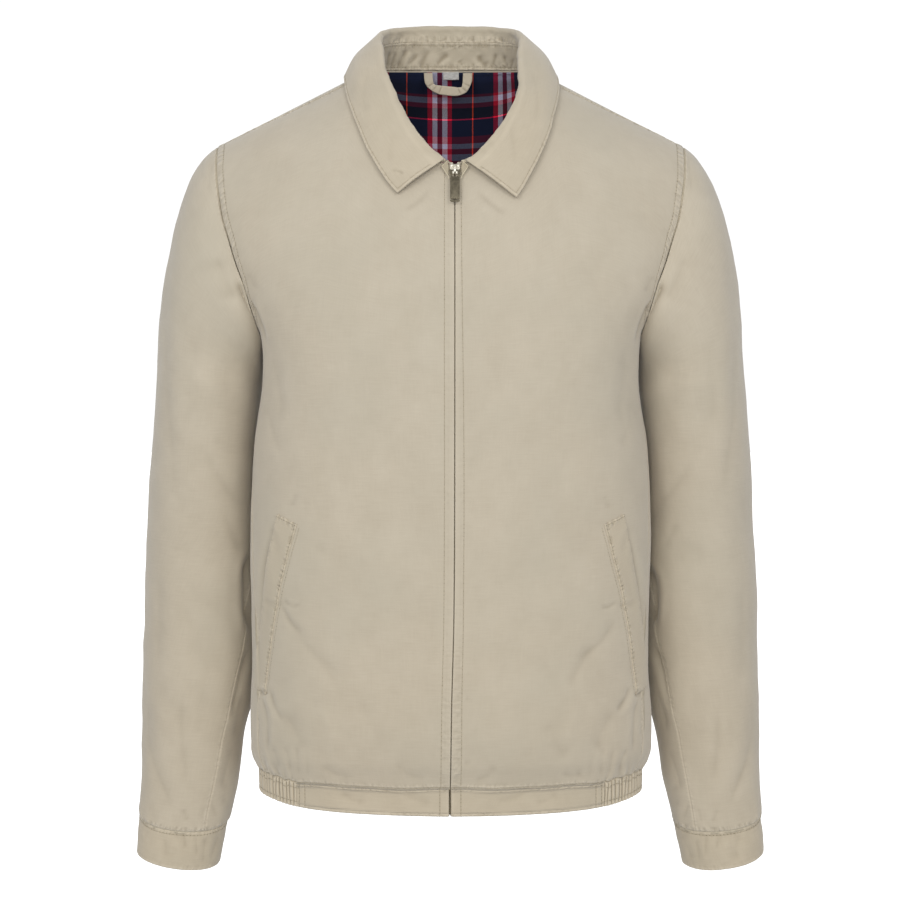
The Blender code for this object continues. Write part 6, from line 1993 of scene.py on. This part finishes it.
lining_us = graded(91, low=-0.955, high=0.955)
lining_vs = graded(121, start=0.3, end=1.2, reach=0.06, low=0.0016, high=0.9984)
grid = relaxed(back_panel(lining_us, lining_vs), 3)
chest = np.exp(-(((lining_vs - SPLIT) / 0.035) ** 2))
grid = relaxed_near(grid, chest, 160)
tuck = soft(lining_vs, 0.984, 0.9975)[:, None, None]  # its top edge is taken into the neck seam
ease = soft(lining_vs, 0.930, 0.990)[:, None, None] * (1 - tuck)
grid = grid + ease * np.array([0, -0.0022, -0.0011])
outer_normal = normals_of(grid, (0, 1.0, -0.3))
grid = grid - outer_normal * (0.0044 - 0.0020 * tuck)
p = Panel(grid, (0, 0.085, -0.35))
p.shows = np.ones(p.move.shape)
calm = 1 - soft(lining_vs, 0.90, 0.97)[:, None] * 0.9
p.ripple(-0.4, 60, 351, calm * 0.8).ripple(0.12, 20, 352, calm * 0.5)
lining = wall("lining_back_cloth", p, 0.0008, tartan("woven tartan", -10.8, 83.8))
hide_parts("lining_back")

# ---------------------------------------------------------------- pocket welts
from mathutils.bvhtree import BVHTree

WELT_US, WELT_VS = graded(31, start=1.0, end=1.0, reach=0.12), graded(121, start=1.5, end=1.5, reach=0.05)
for side, hand in ((-1, "right"), (1, "left")):
    coarse = welt_surface(np.linspace(0, 1, 9), np.linspace(0, 1, 33), 0.0)
    grid = np.empty((len(WELT_VS), len(WELT_US), 3))
    mid = np.empty((33, len(WELT_US), 3))
    for k in range(3):
        for i in range(33):
            mid[i, :, k] = np.interp(WELT_US, np.linspace(0, 1, 9), coarse[i, :, k])
        for j in range(len(WELT_US)):
            grid[:, j, k] = np.interp(WELT_VS, np.linspace(0, 1, 33), mid[:, j, k])
    grid[..., 0] *= side
    grid = relaxed(grid, 2)
    p = Panel(grid, (side * 0.6, -1, -0.5))
    under = fronts[side].surface()
    r, c = under.shape[:2]
    index = np.arange(r * c).reshape(r, c)
    quads = np.stack([index[:-1, :-1], index[:-1, 1:], index[1:, 1:], index[1:, :-1]], -1).reshape(-1, 4)
    tree = BVHTree.FromPolygons(under.reshape(-1, 3).tolist(), quads.tolist())
    lift = np.zeros(p.move.shape)
    for i in range(lift.shape[0]):
        for j in range(lift.shape[1]):
            place, out = Vector(grid[i, j]), Vector(p.normal[i, j])
            hit, _, _, distance = tree.ray_cast(place + out * 0.02, -out, 0.05)
            lift[i, j] = 0.02 - distance if hit is not None else 0.0
    soft_lift = lift.copy()
    for _ in range(6):
        soft_lift[1:-1, 1:-1] = (
            soft_lift[:-2, 1:-1] + soft_lift[2:, 1:-1] + soft_lift[1:-1, :-2] + soft_lift[1:-1, 2:] + 2 * soft_lift[1:-1, 1:-1]
        ) / 6
    p.move = np.maximum(soft_lift, lift) + 0.0010
    from_inner, from_outer = p.across, p.from_end
    # sewn flat along its inner edge and both ends; the outer edge stands a little open
    p.move += 0.0009 * soft(from_inner / (from_inner + from_outer), 0.45, 1.0) * np.sin(np.pi * np.clip(WELT_VS, 0, 1))[:, None]
    p.move += 0.00045 * waves(grid, 0.045, 361 + side) * soft(from_inner, 0.002, 0.012)
    p.puckers(p.up, from_inner, 8.0, 0.26, 6.0, 371 + side)
    p.puckers(p.up, from_outer, 11.0, 0.18, 6.0, 372 + side)
    p.groove(from_inner, 2.0, 0.6, 0.34)
    p.rolled(from_inner, 1.5, 1.0)
    p.rolled(from_outer, 1.6, 1.0)
    p.rolled(p.up, 0.8, 0.8)
    p.rolled(p.from_top, 0.8, 0.8)
    p.wear[:] = 0
    p.sewn(from_inner, 0.3, 4.5, 1.0).sewn(from_outer, -1.0, 3.0, 0.6)
    p.sewn(p.up, -1.0, 4.0, 0.8, level=True).sewn(p.from_top, -1.0, 5.0, 1.0, level=True)
    # painted highlight on ridges and painted shade in hollows
    p.shaded()
    # painted shadow along the welt's edges: darkest along the open outer edge and the lower end, less along the top and
    # the sewn inner edge
    p.wear -= 1.1 * np.exp(-((from_outer / 0.0013) ** 2)) * (0.45 + 0.55 * waves(grid, 0.028, 377 + side) ** 2) + 0.35 * np.exp(-((from_inner / 0.0007) ** 2))
    p.wear -= 0.7 * np.exp(-((p.from_top / 0.0009) ** 2)) + 1.5 * np.exp(-((p.up / 0.0013) ** 2))
    piece = wall(f"pocket_welt_{hand}_cloth", p, 0.0013, shell_band)
    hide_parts(f"pocket_welt_{hand}")
    face = p.surface()
    stitches("body", p.line(from_inner, 0.0020, face=face)[3:-3], seed=381 + side, pitch=3.4, length=2.2, hole=0.45)
    # a second row on the front itself, beside the welt's sewn edge
    beside = []
    for i in range(4, len(WELT_VS) - 4):
        away = unit(grid[i, 0] - grid[i, 3])
        place, out = Vector(grid[i, 0] + away * 0.0027), Vector(p.normal[i, 0])
        hit, normal, _, _ = tree.ray_cast(place + out * 0.02, -out, 0.05)
        if hit is not None:
            beside.append([*hit, *(normal if normal.dot(out) > 0 else -normal)])
    stitches("body", np.array(beside), seed=391 + side, pitch=3.4, length=2.2, hole=0.38)
    stitches("body", p.line(p.from_top, 0.0020, by_row=False, face=face)[3:-3], seed=385 + side, pitch=3.0, length=2.2)

# ---------------------------------------------------------------- stitches of the cloth
for group in ("body", "collar"):
    stitch_mesh(f"stitches_{group}", STITCH_ROWS[group], thread)
    stitch_mesh(f"needle_holes_{group}", HOLE_ROWS[group], hole_shadow)

# ---------------------------------------------------------------- zip
TAPE_WIDTH, CHAIN_WIDTH = 0.0125, 0.0044
ZIP_TOP, ZIP_BOTTOM = -0.0905, -0.6765
BEHIND = 0.0030


def chain_line(heights):
    """The zip's middle line behind the fronts, with its unit run and the way it faces."""
    x = ZIP_LINE("x", heights)
    y = front_line(heights, np.abs(x)) + BEHIND
    line = np.stack([x, y, heights], -1)
    run = unit(np.gradient(line, axis=0))
    facing = unit(np.cross(np.broadcast_to([1.0, 0, 0], run.shape), run))
    facing = np.where(facing[:, 1:2] > 0, -facing, facing)
    return line, run, facing


heights = np.linspace(ZIP_BOTTOM, ZIP_TOP, 601)
zip_line, zip_run, zip_facing = chain_line(heights)
kernel = np.ones(9) / 9
for k in range(3):
    zip_line[4:-4, k] = np.convolve(zip_line[:, k], kernel, mode="valid")
tape_weave = plain_cloth("zip tape weave", linear(196, 185, 162), linear(160, 149, 127), 0.6)
for side, hand in ((-1, "right"), (1, "left")):
    spots = np.arange(0, 601, 4)
    parts = np.linspace(0, 1, 9)
    grid = np.empty((len(spots), 9, 3))
    for j, part in enumerate(parts):
        x = side * (0.00012 + (TAPE_WIDTH - 0.00012) * part)
        place = zip_line[spots].copy()
        place[:, 0] += x
        place[:, 1] = front_line(heights[spots], np.abs(ZIP_LINE("x", heights[spots]) + x)) + BEHIND + 0.0009
        grid[:, j] = place
    p = Panel(relaxed(grid, 1), (side * 0.005, -1, -0.3))
    p.puckers(p.up, p.across, 9.0, 0.10, 8.0, 401 + side)
    p.fine -= 0.0006 * (1 - soft(p.across, 0.0015, 0.0030))
    tape = wall(f"zip_tape_{hand}_cloth", p, 0.0008, tape_weave)
    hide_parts(f"zip_tape_{hand}")


def inset(outline, by):
    """The outline with every side moved in by an equal amount."""
    pts = np.array(outline, float)
    area = 0.5 * np.sum(pts[:, 0] * np.roll(pts[:, 1], -1) - np.roll(pts[:, 0], -1) * pts[:, 1])
    before, after = pts - np.roll(pts, 1, 0), np.roll(pts, -1, 0) - pts
    before, after = unit(before), unit(after)
    normal = np.stack([-(before + after)[:, 1], (before + after)[:, 0]], -1)
    normal = unit(normal) * (1 if area > 0 else -1)
    turn = np.clip(np.einsum("ij,ij->i", normal, np.stack([-before[:, 1], before[:, 0]], -1) * (1 if area > 0 else -1)), 0.5, 1)
    return pts + normal * (by / turn)[:, None]


class Solids:
    """Several closed shapes in one mesh."""

    def __init__(self):
        self.verts, self.faces = [], []

    def add(self, verts, faces):
        base = sum(len(v) for v in self.verts)
        self.verts.append(np.asarray(verts, float))
        self.faces += [[i + base for i in face] for face in faces]

    def lofted(self, outline, depth, bevel, place=None, steps=3, dome=0.0):
        """An outline in X and Z as a plate of some depth along Y, with rounded rims."""
        layers = []
        for k in range(steps + 1):
            a = k / steps * math.pi / 2
            layers.append((bevel * (1 - math.sin(a)), depth / 2 - bevel * (1 - math.cos(a))))
        layers = [(cut, y) for cut, y in reversed(layers)][::-1]
        rings = [(cut, -y) for cut, y in layers][::-1]
        rings = [(bevel * (1 - math.cos(k / steps * math.pi / 2)), -depth / 2 + bevel * (1 - math.sin(k / steps * math.pi / 2))) for k in range(steps, -1, -1)]
        rings += [(bevel * (1 - math.cos(k / steps * math.pi / 2)), depth / 2 - bevel * (1 - math.sin(k / steps * math.pi / 2))) for k in range(steps + 1)]
        n = len(outline)
        verts = []
        for cut, y in rings:
            loop = inset(outline, cut)
            verts += [(x, y, z) for x, z in loop]
        faces = []
        for r in range(len(rings) - 1):
            for i in range(n):
                j = (i + 1) % n
                faces.append([r * n + i, r * n + j, (r + 1) * n + j, (r + 1) * n + i])
        front = len(verts)
        verts.append((*np.mean(verts[:n], 0)[:1], -depth / 2 - dome, np.mean(verts[:n], 0)[2]))
        verts.append((*np.mean(verts[-n - 1 : -1], 0)[:1], depth / 2, np.mean(verts[-n - 1 : -1], 0)[2]))
        last = (len(rings) - 1) * n
        for i in range(n):
            j = (i + 1) % n
            faces.append([front, j, i])
            faces.append([front + 1, last + i, last + j])
        self.add(self.turned(verts, place), faces)
        return self

    def tube(self, line, radius, sides=8, place=None, flat=1.0):
        """A rounded wire along a line, with rounded ends."""
        line = np.array(line, float)
        run = unit(np.gradient(line, axis=0))
        up = np.array([0.0, -1.0, 0.0])
        verts, faces = [tuple(line[0] - run[0] * radius * 0.6)], []
        for p, d in zip(line, run):
            side = unit(np.cross(d, up)) if np.linalg.norm(np.cross(d, up)) > 0.05 else np.array([1.0, 0, 0])
            out = unit(np.cross(side, d))
            for k in range(sides):
                a = 2 * math.pi * k / sides
                verts.append(tuple(p + side * radius * math.cos(a) + out * radius * flat * math.sin(a)))
        verts.append(tuple(line[-1] + run[-1] * radius * 0.6))
        for i in range(len(line) - 1):
            for k in range(sides):
                m = (k + 1) % sides
                a, b = 1 + i * sides, 1 + (i + 1) * sides
                faces.append([a + k, a + m, b + m, b + k])
        last = 1 + (len(line) - 1) * sides
        for k in range(sides):
            m = (k + 1) % sides
            faces.append([0, 1 + m, 1 + k])
            faces.append([len(verts) - 1, last + k, last + m])
        self.add(self.turned(verts, place), faces)
        return self

    @staticmethod
    def turned(verts, place):
        if place is None:
            return verts
        return [tuple(place @ Vector(v)) for v in verts]

    def piece(self, name, material, slot_name, body="jacket", smooth=40):
        mesh = bpy.data.meshes.new(name)
        mesh.from_pydata(np.concatenate(self.verts).tolist(), [], self.faces)
        bm = bmesh.new()
        bm.from_mesh(mesh)
        bmesh.ops.recalc_face_normals(bm, faces=bm.faces[:])
        bm.to_mesh(mesh)
        bm.free()
        mesh.shade_smooth()
        if smooth:
            mesh.set_sharp_from_angle(angle=math.radians(smooth))
        return placed(name, mesh, material, body)


def metal(name, light, dark, roughness, scratch=0.5, ribs=0.0, patina=0.5, metallic=1.0):
    """Cast zip metal: uneven patina, fine scratches, worn lighter on its high parts."""
    n = Nodes(name)
    place = n.place()
    cloud = n.noise(n.scaled(place, (420, 420, 420)), 1.0, 4.0, 0.6)
    fine = n.noise(n.scaled(place, (2600, 2600, 700)), 1.0, 3.0, 0.6)
    pointed = n.new("ShaderNodeNewGeometry").outputs["Pointiness"]
    tone_shift = n.math("MULTIPLY", n.math("SUBTRACT", pointed, 0.50), 9.0)
    tone = n.math("ADD", n.math("MULTIPLY", n.math("SUBTRACT", cloud, 0.5), patina * 2.4), n.math("ADD", 0.45, tone_shift))
    colour = n.mix(tone, dark, light)
    height = n.math("ADD", n.math("MULTIPLY", fine, scratch), n.math("MULTIPLY", cloud, 0.6))
    if ribs:
        split = n.new("ShaderNodeSeparateXYZ")
        n.link(place, split.inputs[0])
        height = n.math("ADD", height, n.math("MULTIPLY", n.math("SINE", n.math("MULTIPLY", split.outputs[0], 2 * math.pi / ribs)), 0.8))
    rough = n.math("ADD", roughness, n.math("MULTIPLY", n.math("SUBTRACT", cloud, 0.5), 0.3))
    return n.finish(colour, rough, n.bump(height, 0.5, 0.00008), metallic=metallic, specular=0.5)


nickel = metal("bright nickel", linear(246, 242, 228), linear(176, 168, 148), 0.42, patina=0.35)
teeth_metal = metal("zip teeth", linear(138, 126, 100), linear(78, 68, 50), 0.45)
aged = metal("aged gunmetal", linear(122, 115, 98), linear(62, 57, 46), 0.50, ribs=0.00075, patina=0.6)

teeth = Solids()
reach = np.concatenate([[0], np.cumsum(np.linalg.norm(np.diff(zip_line, axis=0), axis=1))])
pitch = 0.00118
tooth_outline = [(-0.0013, -0.00042), (0.0010, -0.00048), (0.0014, -0.00028), (0.0014, 0.00028), (0.0010, 0.00048), (-0.0013, 0.00042)]
for k in range(int((reach[-1] - 0.004) / pitch)):
    at = 0.002 + k * pitch
    spot = np.array([np.interp(at, reach, zip_line[:, c]) for c in range(3)])
    run = unit(np.array([np.interp(at, reach, zip_run[:, c]) for c in range(3)]))
    facing = unit(np.array([np.interp(at, reach, zip_facing[:, c]) for c in range(3)]))
    hand = 1 if k % 2 else -1
    across = np.cross(run, -facing)
    place = Matrix(
        (
            (*(across * -hand)[:1], -facing[0], run[0], spot[0] + hand * 0.0007),
            ((across * -hand)[1], -facing[1], run[1], spot[1] + 0.0008),
            ((across * -hand)[2], -facing[2], run[2], spot[2]),
            (0, 0, 0, 1),
        )
    )
    teeth.lofted(tooth_outline, 0.0016, 0.00018, place, steps=1)
chain = teeth.piece("zip_teeth", teeth_metal, "zip_metal")
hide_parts("zip_chain")

# slider: a crown with two rounded shoulders, a lower plate, and the bail that the tab hangs from
SLIDER_Z, SLIDER_WIDTH, SLIDER_HEIGHT, SLIDER_THICK = -0.0887, 0.0098, 0.0105, 0.0026
SLIDER_X = float(ZIP_LINE("x", -0.09))
SLIDER_Y = float(front_line(np.array(SLIDER_Z), np.array(abs(SLIDER_X)))) - 0.0034
SLIDER_TILT, TAB_TILT = math.radians(20), math.radians(18)
BAIL_WIRE, BAIL_OUT, BAR, TAB_LENGTH, TAB_WIDTH = 0.0010, 0.0034, 0.0009, 0.0305, 0.0092
seat = Matrix.Translation((SLIDER_X, SLIDER_Y, SLIDER_Z)) @ Matrix.Rotation(-SLIDER_TILT, 4, "X")
w, h = SLIDER_WIDTH / 2, SLIDER_HEIGHT / 2


def arc(cx, cz, rx, rz, start, end, steps):
    return [(cx + rx * math.cos(math.radians(a)), cz + rz * math.sin(math.radians(a))) for a in np.linspace(start, end, steps)]


body = [(-w * 0.58, -h), (w * 0.58, -h)] + [(w * 0.80, -h * 0.25), (w * 0.98, h * 0.30)]
body += arc(w * 0.62, h * 0.62, w * 0.38, h * 0.38, -5, 120, 7) + [(w * 0.16, h * 0.74), (-w * 0.16, h * 0.74)]
body += [(-x, z) for x, z in arc(w * 0.62, h * 0.62, w * 0.38, h * 0.38, -5, 120, 7)][::-1] + [(-w * 0.98, h * 0.30), (-w * 0.80, -h * 0.25)]
crown = Solids()
crown.lofted(body, SLIDER_THICK, 0.0006, seat @ Matrix.Translation((0, 0, 0)), steps=3, dome=0.0001)
for hand in (-1, 1):  # the two raised shoulders, and the flanges along the sides
    bump = arc(hand * w * 0.60, h * 0.52, w * 0.30, h * 0.34, 0, 345, 16)
    crown.lofted(bump, 0.0016, 0.0007, seat @ Matrix.Translation((0, -SLIDER_THICK / 2, 0)), steps=3, dome=0.0002)
    rail = [(hand * w * 0.90, -SLIDER_THICK / 2, h * 0.2), (hand * w * 0.74, -SLIDER_THICK / 2, -h * 0.30), (hand * w * 0.56, -SLIDER_THICK / 2, -h * 0.86)]
    crown.tube(rail, 0.00042, 8, seat)
profile = [(0.0002, h * 0.62), (-0.0009, h * 0.60), (-0.0020, h * 0.52), (-0.0029, h * 0.32), (-0.0031, 0.0), (-0.0030, -h * 0.5), (-0.0024, -h * 0.80), (-0.0012, -h * 0.93), (0.0002, -h * 0.95)]
line = along(np.array([(0.0, y - SLIDER_THICK / 2, z) for y, z in profile]), np.linspace(0, 1, 33))
verts, faces = [], []
half_x, half_y = 0.00092, 0.00040
for i, (p0, d0) in enumerate(zip(line, unit(np.gradient(line, axis=0)))):
    out = np.cross(d0, [1.0, 0, 0])
    for k in range(12):
        a = 2 * math.pi * k / 12
        wide = math.copysign(abs(math.cos(a)) ** 0.7, math.cos(a)) * half_x
        verts.append(tuple(p0 + np.array([wide, 0, 0]) + out * math.copysign(abs(math.sin(a)) ** 0.7, math.sin(a)) * half_y))
for i in range(len(line) - 1):
    for k in range(12):
        m = (k + 1) % 12
        faces.append([i * 12 + k, i * 12 + m, (i + 1) * 12 + m, (i + 1) * 12 + k])
faces += [list(range(12)), list(range((len(line) - 1) * 12, len(line) * 12))[::-1]]
crown.add(Solids.turned(verts, seat), faces)
slider = crown.piece("zip_slider_body", nickel, "zip_metal")
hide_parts("zip_slider")

# pull tab: two side rails round a window, over a ribbed plate with a plain foot
pivot = Vector((0, -SLIDER_THICK / 2 - (BAIL_OUT - BAIL_WIRE) / 2, -SLIDER_HEIGHT / 2 * 0.75 + 0.0016))
pivot = Matrix.Rotation(-SLIDER_TILT, 3, "X") @ pivot + Vector((SLIDER_X, SLIDER_Y, SLIDER_Z))
hang = Matrix.Translation(pivot) @ Matrix.Rotation(-TAB_TILT, 4, "X")


def rounded_box(x0, x1, z0, z1, corner, steps=4):
    points = []
    for cx, cz, start in ((x1 - corner, z1 - corner, 0), (x0 + corner, z1 - corner, 90), (x0 + corner, z0 + corner, 180), (x1 - corner, z0 + corner, 270)):
        points += arc(cx, cz, corner, corner, start, start + 90, steps)
    return points


tab = Solids()
half = TAB_WIDTH / 2
tab.lofted(rounded_box(-half + 0.0003, half - 0.0003, -0.0279, -0.0062, 0.0005), BAR, 0.00022, hang)
tab.lofted(rounded_box(-half + 0.0003, half - 0.0003, -TAB_LENGTH, -0.0285, 0.0009), BAR * 1.12, 0.00034, hang)
for hand in (-1, 1):
    tab.lofted(rounded_box(min(hand * 0.0025, hand * half), max(hand * 0.0025, hand * half), -0.0068, 0.00040, 0.0006), BAR, 0.0003, hang)
tab.tube([(-half + 0.0006, 0, 0), (-0.002, 0, 0), (0.002, 0, 0), (half - 0.0006, 0, 0)], BAR / 2 * 0.98, 10, hang)
pull = tab.piece("zip_pull_tab", aged, "pull_metal", body="pull")
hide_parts("zip_pull")

# folded tape ends beside the slider, each with a light corded edge
cord_thread = plain_cloth("corded edge", linear(226, 216, 192), linear(196, 185, 160), 0.4)
for side, hand in ((-1, "right"), (1, "left")):
    tip = Matrix.Translation((SLIDER_X + side * 0.0070, SLIDER_Y + 0.0004, SLIDER_Z)) @ Matrix.Rotation(-SLIDER_TILT, 4, "X")
    corner = [(0.0, 0.0075), (side * 0.0050, 0.0022), (-side * 0.0008, -0.0072), (-side * 0.0014, 0.0015)]
    fold = Solids()
    fold.lofted(corner, 0.0010, 0.00025, tip, steps=2)
    piece = fold.piece(f"zip_tape_end_{hand}_fold", tape_weave, "zip_tape")
    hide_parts(f"zip_tape_end_{hand}")
    path = np.array([(x, -0.0004, z) for x, z in [(-side * 0.0010, 0.0078), *corner[:3], (-side * 0.0016, -0.0100)]])
    cord = Solids()
    cord.tube(along(path, np.linspace(0, 1, 49)), 0.00044, 8, tip)
    cord.piece(f"zip_tape_end_{hand}_cord", cord_thread, "zip_tape")

# ---------------------------------------------------------------- hanger loop, label
# a straight strip folded over at its two lower corners: its outer and inner edges as they lie, then the cloth between
LOOP_OUTER = ((424, 73.0), (424.4, 79.5), (426.2, 85.0), (431.0, 89.8), (437.2, 93.4), (446, 95.2), (455.5, 95.8), (462, 94.4), (466.8, 91.4), (470, 86.2), (472, 80.2), (472.2, 73.0))
LOOP_INNER = ((432.6, 73.0), (432.9, 78.5), (433.5, 82.4), (434.6, 84.3), (437.2, 85.0), (446, 86.0), (455.5, 86.9), (459.8, 87.2), (461.8, 86.2), (462.4, 83.2), (462.8, 79.2), (463.0, 73.0))
keys = np.linspace(0, 1, len(LOOP_OUTER))
LOOP_PARTS = np.linspace(0, 1, 141)
outer_line = Table("s x y", *np.column_stack([keys, LOOP_OUTER])).path("x y", LOOP_PARTS)
inner_line = Table("s x y", *np.column_stack([keys, LOOP_INNER])).path("x y", LOOP_PARTS)
hang = 0.0655 - 0.0030 * np.sin(np.pi * LOOP_PARTS) ** 1.5
grid = np.array([unseen(outer_line + (inner_line - outer_line) * k, hang) for k in np.linspace(0, 1, 13)])
grid[..., 1] += 0.0006 * np.linspace(0, 1, 13)[:, None]
p = Panel(grid, (0, -1, 0.0))
run = p.across
p.puckers(run, np.minimum(p.up, p.from_top), 6.0, 0.20, 3.0, 411)
for at, deep, wide in ((0.19, 1.2, 0.0010), (0.27, 0.8, 0.0012), (0.36, 0.9, 0.0010), (0.66, 0.9, 0.0010), (0.74, 1.2, 0.0010), (0.82, 0.7, 0.0012)):
    p.move -= deep / 1000 * np.exp(-(((run / run[:, -1:] - at) * run[:, -1:] / wide) ** 2))
p.groove(np.minimum(p.up, p.from_top), 1.3, 0.5, 0.22)
p.rolled(p.up, 0.9, 0.6)
p.rolled(p.from_top, 0.9, 0.6)
p.sewn(np.minimum(p.up, p.from_top), 0.0, 2.0, 0.35, level=True)
# painted highlight on ridges and painted shade in hollows
p.shaded()
# darker along both edges: painted shade where they turn under
p.wear -= 0.35 * np.exp(-((np.minimum(p.up, p.from_top) / 0.0007) ** 2))
loop = wall("hang_loop_cloth", p, 0.0012, shell_band)
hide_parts("hang_loop")
x = np.linspace(-0.0075, 0.0075, 31) + 0.0005
grid = np.array([[(a, 0.0668 - 9.0 * a * a, 0.0148 - 0.0075 * v) for a in x] for v in np.linspace(0, 1, 15)])
p = Panel(grid, (0, -1, 0.01))
p.ripple(0.25, 9, 421)
p.rolled(p.from_top, 0.6, 0.5)
label = wall("neck_label_cloth", p, 0.0006, plain_cloth("label satin", linear(216, 214, 210), linear(168, 166, 162), 0.3))
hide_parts("neck_label")


# ---------------------------------------------------------------- floor, light
def stage_piece(name, verts, faces, material, shadows=True):
    mesh = bpy.data.meshes.new(name)
    mesh.from_pydata(verts, [], faces)
    obj = bpy.data.objects.new(name, mesh)
    bpy.context.scene.collection.objects.link(obj)
    mesh.materials.append(material)
    if not shadows:
        obj.visible_diffuse = obj.visible_glossy = obj.visible_transmission = obj.visible_shadow = False
    return obj


n = Nodes("pale floor")
n.shader.inputs["Emission Color"].default_value = (1, 1, 1, 1)
n.shader.inputs["Emission Strength"].default_value = 1.0
floor_material = n.finish((0.86, 0.86, 0.86), 0.9, specular=0.1)
stage_piece("floor", [(-30, -30, -1.6), (30, -30, -1.6), (30, 30, -1.6), (-30, 30, -1.6)], [(0, 1, 2, 3)], floor_material, shadows=False)
n = Nodes("white studio wall")
n.shader.inputs["Emission Color"].default_value = (1, 1, 1, 1)
n.shader.inputs["Emission Strength"].default_value = 1.05
wall_material = n.finish((0.0, 0.0, 0.0), 1.0, specular=0.0)
bm = bmesh.new()
bmesh.ops.create_icosphere(bm, subdivisions=4, radius=26)
verts, faces = [tuple(v.co) for v in bm.verts], [[v.index for v in f.verts][::-1] for f in bm.faces]
bm.free()
stage_piece("studio_wall", verts, faces, wall_material, shadows=False)

world = bpy.data.worlds.new("studio")
world.use_nodes = True
world.node_tree.nodes["Background"].inputs["Color"].default_value = (1, 1, 1, 1)
world.node_tree.nodes["Background"].inputs["Strength"].default_value = 0.53
bpy.context.scene.world = world


def soft_light(name, size, power, place, target):
    light = bpy.data.lights.new(name, "AREA")
    light.shape, light.size, light.size_y, light.energy = "RECTANGLE", size[0], size[1], power
    lamp = bpy.data.objects.new(name, light)
    lamp.location = place
    lamp.rotation_euler = (Vector(target) - Vector(place)).to_track_quat("-Z", "Y").to_euler()
    bpy.context.scene.collection.objects.link(lamp)
    lamp.visible_camera = False
    return lamp


soft_light("left_box", (1.1, 1.1), 20.3, (-1.25, -2.7, 0.85), (0, 0, -0.38))
soft_light("right_box", (1.1, 1.1), 18.9, (1.25, -2.7, 0.85), (0, 0, -0.38))
soft_light("front_box", (1.1, 1.1), 16.2, (-0.1, -3.1, 0.1), (0, 0, -0.38))
soft_light("back_box", (1.8, 1.8), 17.0, (0.0, 3.0, 0.0), (0, 0, -0.38))
scene = bpy.context.scene
scene.view_settings.view_transform = "Standard"
scene.view_settings.look = "None"
